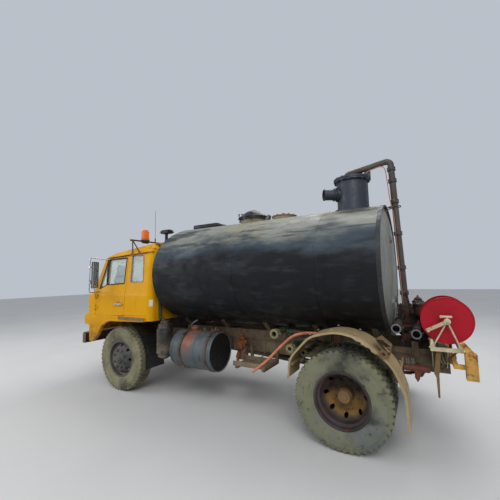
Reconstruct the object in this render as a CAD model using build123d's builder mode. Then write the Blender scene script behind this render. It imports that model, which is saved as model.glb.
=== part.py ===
from build123d import *
from math import asin, cos, hypot, radians, sin
import os

os.makedirs("parts", exist_ok=True)

# A two-axle vacuum tanker truck with a tilting cab. Millimetres, +X forward, +Y left, +Z up.
# The origin is on the ground below the middle of the truck.

# Wheels and axles
WHEELBASE = 3754
REAR_AXLE_X = -1840
FRONT_AXLE_X = REAR_AXLE_X + WHEELBASE
TYRE_RADIUS = 525
TYRE_HALF_WIDTH = 140
TREAD_HALF_WIDTH = 118
BEAD_RADIUS = 290
FLANGE_RADIUS = 305
RIM_HALF_WIDTH = 116
RIM_WALL = 10
FRONT_WHEEL_Y = 976
DUAL_Y = 915
DUAL_SPACING = 330
STUD_FLANGE_RADIUS = 178
HAND_HOLES = 8
HAND_HOLE_RADIUS = 24
HUB_RADIUS = 92
DRUM_RADIUS = 205
SPINDLE_RADIUS = 42
RUNNING_FIT = 0.05
KINGPIN_Y = 806
KINGPIN_RADIUS = 20
STEER_ARM = 210
TRACK_ROD_Z = 395

# Chassis frame
RAIL_OUTER_Y = 420
RAIL_FLANGE = 80
RAIL_WALL = 8
RAIL_BOTTOM_Z = 735
RAIL_TOP_Z = 985
RAIL_REAR_X = REAR_AXLE_X - 1050
RAIL_FRONT_X = FRONT_AXLE_X + 766
BEARER_TOP_Z = 1062

# Cab
CAB_BACK_X = FRONT_AXLE_X - 740
CAB_WALL = 40
CAB_FLOOR_Z = 1190
CAB_SKIRT_Z = 760
CAB_HALF_WIDTH = 1112
DOOR_GAP = 8
GLASS_INSET = 16
GLASS_THICKNESS = 6
TILT_X = FRONT_AXLE_X + 866
TILT_Z = 985
HINGE_PIN_RADIUS = 15

# Tank
TANK_HALF_WIDTH = 1194
TANK_HALF_HEIGHT = 855
TANK_END_RADIUS = 700
TANK_SEAT = 40
TANK_Z = BEARER_TOP_Z + TANK_SEAT + TANK_HALF_HEIGHT
TANK_TOP_Z = TANK_Z + TANK_HALF_HEIGHT
TANK_REAR_X = REAR_AXLE_X - 473
TANK_HEAD_DEPTH = 80
CAB_TO_TANK = 48
TANK_FRONT_X = CAB_BACK_X - CAB_TO_TANK - TANK_HEAD_DEPTH


def side_plane(y):
    # Local x runs forward and local y runs up; a positive extrusion goes towards the right side.
    return Plane(origin=(0, y, 0), x_dir=(1, 0, 0), z_dir=(0, -1, 0))


def cross_plane(x):
    # Local x runs left and local y runs up; a positive extrusion goes forward.
    return Plane(origin=(x, 0, 0), x_dir=(0, 1, 0), z_dir=(1, 0, 0))


def keep(builder, name):
    builder.part.label = name
    export_step(builder.part, f"parts/{name}.step")


def outline(*points):
    # A flat outline with straight sides, drawn in the sketch in hand.
    Polygon(*points, align=None)


def slab(centre_x, centre_y, length, width, bottom_z, top_z, mode=Mode.ADD):
    # A flat box between two heights.
    with BuildSketch(Plane.XY.offset(bottom_z)) as plan:
        with Locations((centre_x, centre_y)):
            Rectangle(length, width)
    extrude(plan.sketch, amount=top_z - bottom_z, mode=mode)


def round_bar(start, end, radius, mode=Mode.ADD):
    # A straight round bar between two places.
    start_place = Vector(*start)
    reach = Vector(*end) - start_place
    with BuildSketch(Plane(origin=start_place, z_dir=reach.normalized())) as section:
        Circle(radius)
    extrude(section.sketch, amount=reach.length, mode=mode)


def bent_bar(points, bend_radius, radius):
    # A round bar along straight runs joined by tangent arcs.
    with BuildLine() as path:
        FilletPolyline(*points, radius=bend_radius)
    with BuildSketch(Plane(origin=path.line @ 0, z_dir=path.line % 0)) as section:
        Circle(radius)
    sweep(section.sketch, path=path.wire())


def oval(half_width, half_height, end_radius, centre_z):
    # A closed oval of four tangent arcs: two wide ones above and below, two small ones at the ends.
    end_centre = half_width - end_radius
    rise = half_height - end_radius
    drop = (end_centre**2 - rise**2) / (2 * rise)
    reach = hypot(end_centre, drop)
    joint_y = end_centre + end_radius * end_centre / reach
    joint_z = end_radius * drop / reach
    corners = [
        (joint_y, centre_z - joint_z),
        (joint_y, centre_z + joint_z),
        (-joint_y, centre_z + joint_z),
        (-joint_y, centre_z - joint_z),
    ]
    middles = [
        (half_width, centre_z),
        (0, centre_z + half_height),
        (-half_width, centre_z),
        (0, centre_z - half_height),
    ]
    with BuildLine() as edge:
        for number in range(4):
            ThreePointArc(corners[number], middles[number], corners[(number + 1) % 4])
    make_face(edge.edges())


# Chassis frame: two channel rails with the spring hangers and the cab's tilt brackets
CROSS_MEMBER_WALL = 8
CROSS_MEMBER_HALF = 45
CROSS_MEMBERS = (
    # x, half height
    (RAIL_REAR_X + CROSS_MEMBER_HALF, (RAIL_TOP_Z - RAIL_BOTTOM_Z) / 2 - RAIL_WALL),
    (REAR_AXLE_X - 640, 90),
    (REAR_AXLE_X + 700, 70),
    (REAR_AXLE_X + 1500, 70),
    (REAR_AXLE_X + 2350, 70),
)
RAIL_MIDDLE_Z = (RAIL_TOP_Z + RAIL_BOTTOM_Z) / 2
COUPLING_BORE = 21
COUPLING_REACH = 90
COUPLING_HALF_WIDTH = 70
COUPLING_THICKNESS = 40
COUPLING_Z = 840
SPRING_Y = RAIL_OUTER_Y - RAIL_FLANGE / 2
SPRING_HALF_WIDTH = 35
LEAF = 10
EYE_RADIUS = 26
EYE_PIN_RADIUS = 13
EYE_FIT = 0.3
CHEEK = 12
SPRINGS = (
    # axle x, half the distance between the eyes, height of the seat, height of the eyes, leaves
    (FRONT_AXLE_X, 690, 505, 660, 6),
    (REAR_AXLE_X, 740, 605, 690, 7),
)
TILT_BRACKET = 16
TILT_LUG = 14
TILT_LUG_RADIUS = 28
TILT_CLEARANCE = 2

with BuildPart() as chassis_frame:
    for side in (1, -1):
        web = side * RAIL_OUTER_Y
        tip = web - side * RAIL_FLANGE
        inner_web = web - side * RAIL_WALL
        with BuildSketch(cross_plane(RAIL_REAR_X)):
            outline(
                (web, RAIL_BOTTOM_Z),
                (tip, RAIL_BOTTOM_Z),
                (tip, RAIL_BOTTOM_Z + RAIL_WALL),
                (inner_web, RAIL_BOTTOM_Z + RAIL_WALL),
                (inner_web, RAIL_TOP_Z - RAIL_WALL),
                (tip, RAIL_TOP_Z - RAIL_WALL),
                (tip, RAIL_TOP_Z),
                (web, RAIL_TOP_Z),
            )
        extrude(amount=RAIL_FRONT_X - RAIL_REAR_X)
    for axle_x, half_span, _, eye_z, _ in SPRINGS:
        for side in (1, -1):
            for end in (1, -1):
                eye_x = axle_x + end * half_span
                outer_y = side * SPRING_Y + SPRING_HALF_WIDTH + 1 + CHEEK
                width = 2 * (SPRING_HALF_WIDTH + 1 + CHEEK)
                with BuildSketch(side_plane(outer_y)):
                    outline(
                        (eye_x - 70, RAIL_BOTTOM_Z),
                        (eye_x + 70, RAIL_BOTTOM_Z),
                        (eye_x + EYE_RADIUS, eye_z - EYE_RADIUS),
                        (eye_x - EYE_RADIUS, eye_z - EYE_RADIUS),
                    )
                extrude(amount=width)
                with BuildSketch(side_plane(outer_y - CHEEK)):
                    with Locations((eye_x, eye_z - EYE_RADIUS)):
                        Rectangle(160, 4 * EYE_RADIUS)
                extrude(amount=width - 2 * CHEEK, mode=Mode.SUBTRACT)
                with BuildSketch(side_plane(outer_y)):
                    with Locations((eye_x, eye_z)):
                        Circle(EYE_PIN_RADIUS)
                extrude(amount=width)
    for side in (1, -1):
        bracket_y = side * (RAIL_OUTER_Y + TILT_BRACKET / 2) + TILT_BRACKET / 2
        with BuildSketch(side_plane(bracket_y)):
            outline(
                (RAIL_FRONT_X - 120, RAIL_MIDDLE_Z - 60),
                (RAIL_FRONT_X - 120, RAIL_TOP_Z),
                (TILT_X, TILT_Z + TILT_LUG_RADIUS),
                (TILT_X, TILT_Z - TILT_LUG_RADIUS),
                (RAIL_FRONT_X, RAIL_MIDDLE_Z - 60),
            )
            with Locations((TILT_X, TILT_Z)):
                Circle(TILT_LUG_RADIUS)
        extrude(amount=TILT_BRACKET)
        pin_start = side * (RAIL_OUTER_Y + 1)
        pin_end = side * (RAIL_OUTER_Y + TILT_BRACKET + TILT_CLEARANCE + TILT_LUG + 6)
        round_bar((TILT_X, pin_start, TILT_Z), (TILT_X, pin_end, TILT_Z), HINGE_PIN_RADIUS)
keep(chassis_frame, "chassis_frame")


# Cross members between the rails, the last one with the towing eye plate
with BuildPart() as cross_members:
    for cross_x, half_height in CROSS_MEMBERS:
        with BuildSketch(side_plane(RAIL_OUTER_Y - RAIL_WALL)):
            with Locations((cross_x, RAIL_MIDDLE_Z)):
                Rectangle(2 * CROSS_MEMBER_HALF, 2 * half_height)
            with Locations((cross_x + CROSS_MEMBER_WALL, RAIL_MIDDLE_Z)):
                Rectangle(
                    2 * CROSS_MEMBER_HALF,
                    2 * (half_height - CROSS_MEMBER_WALL),
                    mode=Mode.SUBTRACT,
                )
        extrude(amount=2 * (RAIL_OUTER_Y - RAIL_WALL))
    # The towing eye plate behind the last cross member
    with BuildSketch(Plane.XY.offset(COUPLING_Z - COUPLING_THICKNESS / 2)):
        with Locations((RAIL_REAR_X, 0)):
            Rectangle(20, 2 * COUPLING_HALF_WIDTH)
        with Locations((RAIL_REAR_X - COUPLING_REACH / 2, 0)):
            Rectangle(COUPLING_REACH, 2 * COUPLING_HALF_WIDTH)
        with Locations((RAIL_REAR_X - COUPLING_REACH / 2 - 5, 0)):
            Circle(COUPLING_BORE, mode=Mode.SUBTRACT)
    extrude(amount=COUPLING_THICKNESS)
keep(cross_members, "cross_members")


# Leaf springs: curved leaves that shorten downwards, with an eye at each end of the longest leaf
with BuildPart() as leaf_springs:
    for axle_x, half_span, seat_z, eye_z, leaves in SPRINGS:
        top_z = seat_z + leaves * LEAF
        sag = eye_z - top_z + LEAF
        curve_radius = (half_span**2 + sag**2) / (2 * sag)
        curve_z = top_z - LEAF + curve_radius
        for side in (1, -1):
            spring_y = side * SPRING_Y + SPRING_HALF_WIDTH
            for leaf in range(leaves):
                near = curve_radius + (leaf - 1) * LEAF
                far = near + LEAF
                reach = half_span * (1 - 0.11 * leaf) if leaf else half_span - EYE_RADIUS + 12
                swing = asin(reach / curve_radius)
                with BuildSketch(side_plane(spring_y)):
                    with BuildLine():
                        ends = []
                        for radius in (near, far):
                            ends.append(
                                [
                                    (axle_x + radius * sin(turn), curve_z - radius * cos(turn))
                                    for turn in (-swing, 0, swing)
                                ]
                            )
                        ThreePointArc(*ends[0])
                        ThreePointArc(*ends[1])
                        Line(ends[0][0], ends[1][0])
                        Line(ends[0][2], ends[1][2])
                    make_face()
                extrude(amount=2 * SPRING_HALF_WIDTH)
            for end in (1, -1):
                with BuildSketch(side_plane(spring_y)):
                    with Locations((axle_x + end * half_span, eye_z)):
                        Circle(EYE_RADIUS - 2)
                extrude(amount=2 * SPRING_HALF_WIDTH)
                with BuildSketch(side_plane(spring_y)):
                    with Locations((axle_x + end * half_span, eye_z)):
                        Circle(EYE_PIN_RADIUS + EYE_FIT)
                extrude(amount=2 * SPRING_HALF_WIDTH, mode=Mode.SUBTRACT)
keep(leaf_springs, "leaf_springs")


# Front axle: a dropped forged beam with a kingpin in each end
BEAM_HALF_LENGTH = 55
BEAM_DROP_Z = 385
FRONT_SEAT_Z = SPRINGS[0][2]
BOSS_RADIUS = 38
BOSS_BOTTOM_Z = 462
BOSS_TOP_Z = 588
KINGPIN_BOTTOM_Z = 400
KINGPIN_TOP_Z = 650

with BuildPart() as front_axle:
    with BuildSketch(cross_plane(FRONT_AXLE_X - BEAM_HALF_LENGTH)):
        outline(
            (-KINGPIN_Y + 20, BOSS_BOTTOM_Z + 10),
            (-620, BEAM_DROP_Z),
            (620, BEAM_DROP_Z),
            (KINGPIN_Y - 20, BOSS_BOTTOM_Z + 10),
            (KINGPIN_Y - 20, BOSS_TOP_Z - 10),
            (620, FRONT_SEAT_Z - 10),
            (460, FRONT_SEAT_Z - 10),
            (460, FRONT_SEAT_Z),
            (300, FRONT_SEAT_Z),
            (300, FRONT_SEAT_Z - 10),
            (-300, FRONT_SEAT_Z - 10),
            (-300, FRONT_SEAT_Z),
            (-460, FRONT_SEAT_Z),
            (-460, FRONT_SEAT_Z - 10),
            (-620, FRONT_SEAT_Z - 10),
            (-KINGPIN_Y + 20, BOSS_TOP_Z - 10),
        )
    extrude(amount=2 * BEAM_HALF_LENGTH)
    for face_x, direction in ((FRONT_AXLE_X - BEAM_HALF_LENGTH, 1), (FRONT_AXLE_X + BEAM_HALF_LENGTH, -1)):
        with BuildSketch(cross_plane(face_x)):
            with Locations((0, (BEAM_DROP_Z + FRONT_SEAT_Z - 10) / 2)):
                Rectangle(1180, FRONT_SEAT_Z - BEAM_DROP_Z - 50)
        extrude(amount=direction * 38, mode=Mode.SUBTRACT)
    for side in (1, -1):
        king_y = side * KINGPIN_Y
        round_bar(
            (FRONT_AXLE_X, king_y, BOSS_BOTTOM_Z), (FRONT_AXLE_X, king_y, BOSS_TOP_Z), BOSS_RADIUS
        )
        round_bar(
            (FRONT_AXLE_X, king_y, KINGPIN_BOTTOM_Z),
            (FRONT_AXLE_X, king_y, KINGPIN_TOP_Z),
            KINGPIN_RADIUS,
        )
keep(front_axle, "front_axle")


# Steering knuckles: a yoke on the kingpin, a brake plate, the wheel spindle and the steering arm
YOKE_GAP = 2
YOKE_INNER = 46
YOKE_OUTER = 66
BRAKE_PLATE_RADIUS = 182
SPINDLE_END = 268
ARM_Z = 425
STUD_RADIUS = 12
ROD_RADIUS = 18
ROD_EYE_RADIUS = 26

for side, name in ((1, "knuckle_left"), (-1, "knuckle_right")):
    king_y = side * KINGPIN_Y
    with BuildPart() as knuckle:
        for low_z, high_z in (
            (KINGPIN_BOTTOM_Z, BOSS_BOTTOM_Z - YOKE_GAP),
            (BOSS_TOP_Z + YOKE_GAP, KINGPIN_TOP_Z),
        ):
            round_bar((FRONT_AXLE_X, king_y, low_z), (FRONT_AXLE_X, king_y, high_z), BOSS_RADIUS)
            slab(
                FRONT_AXLE_X,
                king_y + side * YOKE_OUTER / 2,
                2 * BOSS_RADIUS,
                YOKE_OUTER,
                low_z,
                high_z,
            )
        slab(
            FRONT_AXLE_X,
            king_y + side * (YOKE_INNER + YOKE_OUTER) / 2,
            2 * BOSS_RADIUS,
            YOKE_OUTER - YOKE_INNER,
            KINGPIN_BOTTOM_Z,
            KINGPIN_TOP_Z,
        )
        for start_y, end_y, radius in (
            (YOKE_OUTER - 2, YOKE_OUTER + 6, BRAKE_PLATE_RADIUS),
            (YOKE_OUTER + 4, SPINDLE_END, SPINDLE_RADIUS),
        ):
            round_bar(
                (FRONT_AXLE_X, king_y + side * start_y, TYRE_RADIUS),
                (FRONT_AXLE_X, king_y + side * end_y, TYRE_RADIUS),
                radius,
            )
        slab(
            FRONT_AXLE_X - STEER_ARM / 2,
            king_y,
            STEER_ARM,
            40,
            KINGPIN_BOTTOM_Z + 15,
            ARM_Z + 20,
        )
        arm_x = FRONT_AXLE_X - STEER_ARM
        round_bar((arm_x, king_y, KINGPIN_BOTTOM_Z + 15), (arm_x, king_y, ARM_Z + 20), 26)
        round_bar(
            (arm_x, king_y, TRACK_ROD_Z - ROD_RADIUS - 8), (arm_x, king_y, ARM_Z), STUD_RADIUS
        )
        round_bar(
            (FRONT_AXLE_X, king_y, KINGPIN_BOTTOM_Z - 10),
            (FRONT_AXLE_X, king_y, KINGPIN_TOP_Z + 10),
            KINGPIN_RADIUS + RUNNING_FIT,
            mode=Mode.SUBTRACT,
        )
    keep(knuckle, name)


# Track rod between the two steering arms; its right eye is slack, where the linkage is opened
OPEN_EYE_SLACK = 1
ROD_EYE_HALF = 17
with BuildPart() as track_rod:
    rod_x = FRONT_AXLE_X - STEER_ARM
    round_bar((rod_x, KINGPIN_Y, TRACK_ROD_Z), (rod_x, -KINGPIN_Y, TRACK_ROD_Z), ROD_RADIUS)
    for side, slack in ((1, RUNNING_FIT), (-1, OPEN_EYE_SLACK)):
        bottom = (rod_x, side * KINGPIN_Y, TRACK_ROD_Z - ROD_EYE_HALF)
        top = (rod_x, side * KINGPIN_Y, TRACK_ROD_Z + ROD_EYE_HALF)
        round_bar(bottom, top, ROD_EYE_RADIUS)
    for side, slack in ((1, RUNNING_FIT), (-1, OPEN_EYE_SLACK)):
        round_bar(
            (rod_x, side * KINGPIN_Y, TRACK_ROD_Z - 60),
            (rod_x, side * KINGPIN_Y, TRACK_ROD_Z + 60),
            STUD_RADIUS + slack,
            mode=Mode.SUBTRACT,
        )
keep(track_rod, "track_rod")


# Rear axle: a tube with a differential housing, brake plates and a spindle at each end
AXLE_TUBE_RADIUS = 75
REAR_SEAT_Z = SPRINGS[1][2]
REAR_SPINDLE_Y = 1040
BRAKE_PLATE_Y = 640
DIFF_RADIUS = 190
DIFF_HALF_WIDTH = 130
PINION_REACH = 330
PINION_RADIUS = 70

with BuildPart() as rear_axle:
    round_bar(
        (REAR_AXLE_X, -BRAKE_PLATE_Y, TYRE_RADIUS),
        (REAR_AXLE_X, BRAKE_PLATE_Y, TYRE_RADIUS),
        AXLE_TUBE_RADIUS,
    )
    round_bar(
        (REAR_AXLE_X, -REAR_SPINDLE_Y, TYRE_RADIUS),
        (REAR_AXLE_X, REAR_SPINDLE_Y, TYRE_RADIUS),
        SPINDLE_RADIUS,
    )
    round_bar(
        (REAR_AXLE_X - DIFF_HALF_WIDTH, 0, TYRE_RADIUS),
        (REAR_AXLE_X + DIFF_HALF_WIDTH, 0, TYRE_RADIUS),
        DIFF_RADIUS,
    )
    rims = rear_axle.edges().filter_by(GeomType.CIRCLE).filter_by(
        lambda edge: abs(edge.radius - DIFF_RADIUS) < 1
    )
    chamfer(rims, 50)
    round_bar(
        (REAR_AXLE_X, 0, TYRE_RADIUS), (REAR_AXLE_X + PINION_REACH, 0, TYRE_RADIUS), PINION_RADIUS
    )
    for side in (1, -1):
        round_bar(
            (REAR_AXLE_X, side * (BRAKE_PLATE_Y - 8), TYRE_RADIUS),
            (REAR_AXLE_X, side * BRAKE_PLATE_Y, TYRE_RADIUS),
            BRAKE_PLATE_RADIUS,
        )
        slab(REAR_AXLE_X, side * SPRING_Y, 160, 90, TYRE_RADIUS + 50, REAR_SEAT_Z)
keep(rear_axle, "rear_axle")


# Wheels. Along the axle, sizes are measured outwards from the wheel's own middle.
def wheel_plane(x, y, side):
    return Plane(origin=(x, y, TYRE_RADIUS), x_dir=(0, side, 0), z_dir=(side, 0, 0))


def ring(plane, centre_line, points):
    # A ring turned round the axle from an outline of (place along the axle, radius).
    with BuildSketch(plane) as profile:
        outline(*points)
    revolve(profile.sketch, axis=centre_line)


def rim(plane, centre_line, middle):
    half = RIM_HALF_WIDTH
    well = BEAD_RADIUS - 25
    ring(
        plane,
        centre_line,
        [
            (middle - half, FLANGE_RADIUS),
            (middle - half + RIM_WALL, BEAD_RADIUS),
            (middle - 62, BEAD_RADIUS),
            (middle - 50, well),
            (middle + 50, well),
            (middle + 62, BEAD_RADIUS),
            (middle + half - RIM_WALL, BEAD_RADIUS),
            (middle + half, FLANGE_RADIUS),
            (middle + half, BEAD_RADIUS - RIM_WALL),
            (middle + 60, BEAD_RADIUS - RIM_WALL),
            (middle + 48, well - RIM_WALL),
            (middle - 48, well - RIM_WALL),
            (middle - 60, BEAD_RADIUS - RIM_WALL),
            (middle - half, BEAD_RADIUS - RIM_WALL),
        ],
    )


def disc(plane, centre_line, middle, face, direction):
    # The dished disc from the rim's well to the stud flange; its outer side faces direction.
    well = BEAD_RADIUS - 25 - RIM_WALL / 2
    start = middle + direction * 30
    ring(
        plane,
        centre_line,
        [
            (start, well),
            (start + direction * 14, well),
            (face, STUD_FLANGE_RADIUS),
            (face, HUB_RADIUS - 2),
            (face - direction * 12, HUB_RADIUS - 2),
            (face - direction * 12, STUD_FLANGE_RADIUS - 4),
        ],
    )


def tyre(plane, centre_line, middle):
    ring(
        plane,
        centre_line,
        [
            (middle - RIM_HALF_WIDTH + RIM_WALL, BEAD_RADIUS),
            (middle - TYRE_HALF_WIDTH, TYRE_RADIUS - 120),
            (middle - TREAD_HALF_WIDTH, TYRE_RADIUS),
            (middle + TREAD_HALF_WIDTH, TYRE_RADIUS),
            (middle + TYRE_HALF_WIDTH, TYRE_RADIUS - 120),
            (middle + RIM_HALF_WIDTH - RIM_WALL, BEAD_RADIUS),
        ],
    )


def hand_holes(x, y, side, start, end):
    # A ring of hand holes through the disc between two places along the axle.
    plane = Plane(
        origin=(x, y + side * start, TYRE_RADIUS), x_dir=(side, 0, 0), z_dir=(0, side, 0)
    )
    with BuildSketch(plane) as holes:
        with PolarLocations(STUD_FLANGE_RADIUS + 40, HAND_HOLES):
            Circle(HAND_HOLE_RADIUS)
    extrude(holes.sketch, amount=end - start, mode=Mode.SUBTRACT)


FRONT_FACE = 128
FRONT_HUB_END = 158
FRONT_HUB_START = -94
HUB_WALL = 8

for side, word in ((1, "left"), (-1, "right")):
    line = Axis((FRONT_AXLE_X, 0, TYRE_RADIUS), (0, 1, 0))
    plane = wheel_plane(FRONT_AXLE_X, side * FRONT_WHEEL_Y, side)
    with BuildPart() as front_wheel:
        rim(plane, line, 0)
        disc(plane, line, 0, FRONT_FACE, 1)
        hand_holes(FRONT_AXLE_X, side * FRONT_WHEEL_Y, side, 34, FRONT_FACE + 10)
        ring(
            plane,
            line,
            [
                (FRONT_HUB_START + 20, SPINDLE_RADIUS + RUNNING_FIT),
                (SPINDLE_END + KINGPIN_Y - FRONT_WHEEL_Y + 2, SPINDLE_RADIUS + RUNNING_FIT),
                (SPINDLE_END + KINGPIN_Y - FRONT_WHEEL_Y + 2, 0),
                (FRONT_HUB_END, 0),
                (FRONT_HUB_END, HUB_RADIUS - 22),
                (FRONT_FACE, HUB_RADIUS),
                (-10, HUB_RADIUS),
                (-10, DRUM_RADIUS),
                (FRONT_HUB_START, DRUM_RADIUS),
                (FRONT_HUB_START, DRUM_RADIUS - 15),
                (-22, DRUM_RADIUS - 15),
                (-22, HUB_RADIUS - 20),
                (FRONT_HUB_START + 20, HUB_RADIUS - 20),
            ],
        )
    keep(front_wheel, f"wheel_front_{word}")
    with BuildPart() as front_tyre:
        tyre(plane, line, 0)
    keep(front_tyre, f"tyre_front_{word}")

    line = Axis((REAR_AXLE_X, 0, TYRE_RADIUS), (0, 1, 0))
    plane = wheel_plane(REAR_AXLE_X, side * DUAL_Y, side)
    half_spacing = DUAL_SPACING / 2
    with BuildPart() as rear_wheel:
        rim(plane, line, half_spacing)
        rim(plane, line, -half_spacing)
        disc(plane, line, half_spacing, 0, -1)
        disc(plane, line, -half_spacing, 0, 1)
        hand_holes(REAR_AXLE_X, side * DUAL_Y, side, -half_spacing + 34, half_spacing - 34)
        ring(
            plane,
            line,
            [
                (-240, SPINDLE_RADIUS + RUNNING_FIT),
                (REAR_SPINDLE_Y - DUAL_Y + 2, SPINDLE_RADIUS + RUNNING_FIT),
                (REAR_SPINDLE_Y - DUAL_Y + 2, 0),
                (150, 0),
                (150, HUB_RADIUS - 24),
                (110, HUB_RADIUS - 8),
                (-14, HUB_RADIUS),
                (-100, HUB_RADIUS),
                (-100, DRUM_RADIUS),
                (-265, DRUM_RADIUS),
                (-265, DRUM_RADIUS - 15),
                (-112, DRUM_RADIUS - 15),
                (-112, HUB_RADIUS - 20),
                (-240, HUB_RADIUS - 20),
            ],
        )
    keep(rear_wheel, f"wheel_rear_{word}")
    with BuildPart() as rear_tyres:
        tyre(plane, line, half_spacing)
        tyre(plane, line, -half_spacing)
    keep(rear_tyres, f"tyres_rear_{word}")


# Engine, gearbox and propeller shaft
ENGINE_BACK_X = FRONT_AXLE_X - 400
ENGINE_FRONT_X = FRONT_AXLE_X + 480
ENGINE_HALF_WIDTH = 310
ENGINE_BOTTOM_Z = 520
ENGINE_TOP_Z = 1320
ENGINE_FEET_X = (ENGINE_BACK_X + 90, ENGINE_FRONT_X - 90)
GEARBOX_REACH = 560
GEARBOX_RADIUS = 165
GEARBOX_Z = 690
SHAFT_RADIUS = 48
SHAFT_FLANGE_RADIUS = 78
SHAFT_FLANGE = 40

with BuildPart() as engine_block:
    slab(
        (ENGINE_BACK_X + ENGINE_FRONT_X) / 2,
        0,
        ENGINE_FRONT_X - ENGINE_BACK_X,
        2 * ENGINE_HALF_WIDTH,
        ENGINE_BOTTOM_Z,
        ENGINE_TOP_Z,
    )
    upright = engine_block.edges().filter_by(Axis.Z)
    chamfer(upright, 60)
    round_bar(
        (ENGINE_BACK_X + 10, 0, GEARBOX_Z),
        (ENGINE_BACK_X - GEARBOX_REACH, 0, GEARBOX_Z),
        GEARBOX_RADIUS,
    )
    rear_rim = engine_block.edges().filter_by(GeomType.CIRCLE).sort_by(Axis.X)[0]
    chamfer(rear_rim, 60)
    for foot_x in ENGINE_FEET_X:
        slab(
            foot_x,
            0,
            70,
            2 * (RAIL_OUTER_Y - RAIL_WALL - 6),
            RAIL_BOTTOM_Z + RAIL_WALL,
            RAIL_BOTTOM_Z + RAIL_WALL + 60,
        )
keep(engine_block, "engine_block")

with BuildPart() as propshaft:
    shaft_front = (ENGINE_BACK_X - GEARBOX_REACH, 0, GEARBOX_Z)
    shaft_rear = (REAR_AXLE_X + PINION_REACH, 0, TYRE_RADIUS)
    round_bar(
        shaft_front, (shaft_front[0] - SHAFT_FLANGE, 0, GEARBOX_Z), SHAFT_FLANGE_RADIUS
    )
    round_bar(
        shaft_rear, (shaft_rear[0] + SHAFT_FLANGE, 0, TYRE_RADIUS), SHAFT_FLANGE_RADIUS
    )
    round_bar(
        (shaft_front[0] - SHAFT_FLANGE / 2, 0, GEARBOX_Z),
        (shaft_rear[0] + SHAFT_FLANGE / 2, 0, TYRE_RADIUS),
        SHAFT_RADIUS,
    )
keep(propshaft, "propshaft")


# Tank: an oval barrel with a dished front head, a shallow rear head inside its rim, and top fittings
HEAD_SHAPE = 2.4
HEAD_SCALES = (1.0, 0.985, 0.95, 0.87, 0.72, 0.5, 0.25)
REAR_RIM = 35
REAR_HEAD_BULGE = 50
TANK_WALL = 12
MANHOLE_X = REAR_AXLE_X + 1670
MANHOLE_NECK_RADIUS = 235
MANHOLE_NECK_TOP_Z = TANK_TOP_Z + 90
HATCH_X = REAR_AXLE_X + 1090
HATCH_RADIUS = 200
HATCH_TOP_Z = TANK_TOP_Z + 45


def tank_section(x, scale):
    with BuildSketch(cross_plane(x)) as section:
        oval(TANK_HALF_WIDTH * scale, TANK_HALF_HEIGHT * scale, TANK_END_RADIUS * scale, TANK_Z)
    return section.sketch


with BuildPart() as tank:
    extrude(tank_section(TANK_REAR_X, 1), amount=TANK_FRONT_X - TANK_REAR_X)
    front_sections = []
    for scale in HEAD_SCALES:
        reach = TANK_HEAD_DEPTH * (1 - scale**HEAD_SHAPE) ** (1 / HEAD_SHAPE)
        front_sections.append(tank_section(TANK_FRONT_X + reach, scale))
    loft(front_sections, ruled=True)
    with BuildSketch(cross_plane(TANK_REAR_X)):
        oval(
            TANK_HALF_WIDTH - TANK_WALL,
            TANK_HALF_HEIGHT - TANK_WALL,
            TANK_END_RADIUS - TANK_WALL,
            TANK_Z,
        )
    extrude(amount=REAR_RIM, mode=Mode.SUBTRACT)
    rear_sections = []
    for scale, back in ((0.985, 0), (0.9, 22), (0.6, REAR_HEAD_BULGE)):
        rear_sections.append(tank_section(TANK_REAR_X + REAR_RIM - back, scale))
    loft(rear_sections)
    round_bar((MANHOLE_X, 0, TANK_TOP_Z - 100), (MANHOLE_X, 0, MANHOLE_NECK_TOP_Z), MANHOLE_NECK_RADIUS)
    round_bar((HATCH_X, 0, TANK_TOP_Z - 60), (HATCH_X, 0, HATCH_TOP_Z), HATCH_RADIUS)
keep(tank, "tank")


# Tank bearers along the frame rails
BEARER_WIDTH = 80
SADDLE_HALF = 35
SADDLE_HALF_WIDTH = 560
SADDLE_COUNT = 5
BEARER_REAR_X = TANK_REAR_X + 80
BEARER_FRONT_X = TANK_FRONT_X - 60

with BuildPart() as tank_bearers:
    for side in (1, -1):
        slab(
            (BEARER_REAR_X + BEARER_FRONT_X) / 2,
            side * (RAIL_OUTER_Y - BEARER_WIDTH / 2),
            BEARER_FRONT_X - BEARER_REAR_X,
            BEARER_WIDTH,
            RAIL_TOP_Z,
            BEARER_TOP_Z,
        )
keep(tank_bearers, "tank_bearers")


# Saddles across the bearers, which follow the tank's underside
with BuildPart() as tank_saddles:
    for number in range(SADDLE_COUNT):
        saddle_x = BEARER_REAR_X + 100 + number * (BEARER_FRONT_X - BEARER_REAR_X - 200) / (SADDLE_COUNT - 1)
        with BuildSketch(cross_plane(saddle_x - SADDLE_HALF)):
            outline(
                (-RAIL_OUTER_Y, BEARER_TOP_Z),
                (RAIL_OUTER_Y, BEARER_TOP_Z),
                (SADDLE_HALF_WIDTH, BEARER_TOP_Z + 130),
                (SADDLE_HALF_WIDTH, BEARER_TOP_Z + 320),
                (-SADDLE_HALF_WIDTH, BEARER_TOP_Z + 320),
                (-SADDLE_HALF_WIDTH, BEARER_TOP_Z + 130),
            )
        extrude(amount=2 * SADDLE_HALF)
    extrude(
        tank_section(TANK_REAR_X, 1), amount=TANK_FRONT_X - TANK_REAR_X, mode=Mode.SUBTRACT
    )
keep(tank_saddles, "tank_saddles")


# Manhole lid: a domed lid that swings back on a hinge behind the neck
LID_SEAT = 0.3
LID_RADIUS = 262
LID_RIM = 18
LID_DOME = 120
LID_HINGE_X = MANHOLE_X - 300
LID_HINGE_Z = MANHOLE_NECK_TOP_Z + 14
LID_PIN_RADIUS = 10
LID_LUG_RADIUS = 20
LID_LUG_HALF = 30
LID_LUG_GAP = 2

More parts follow.
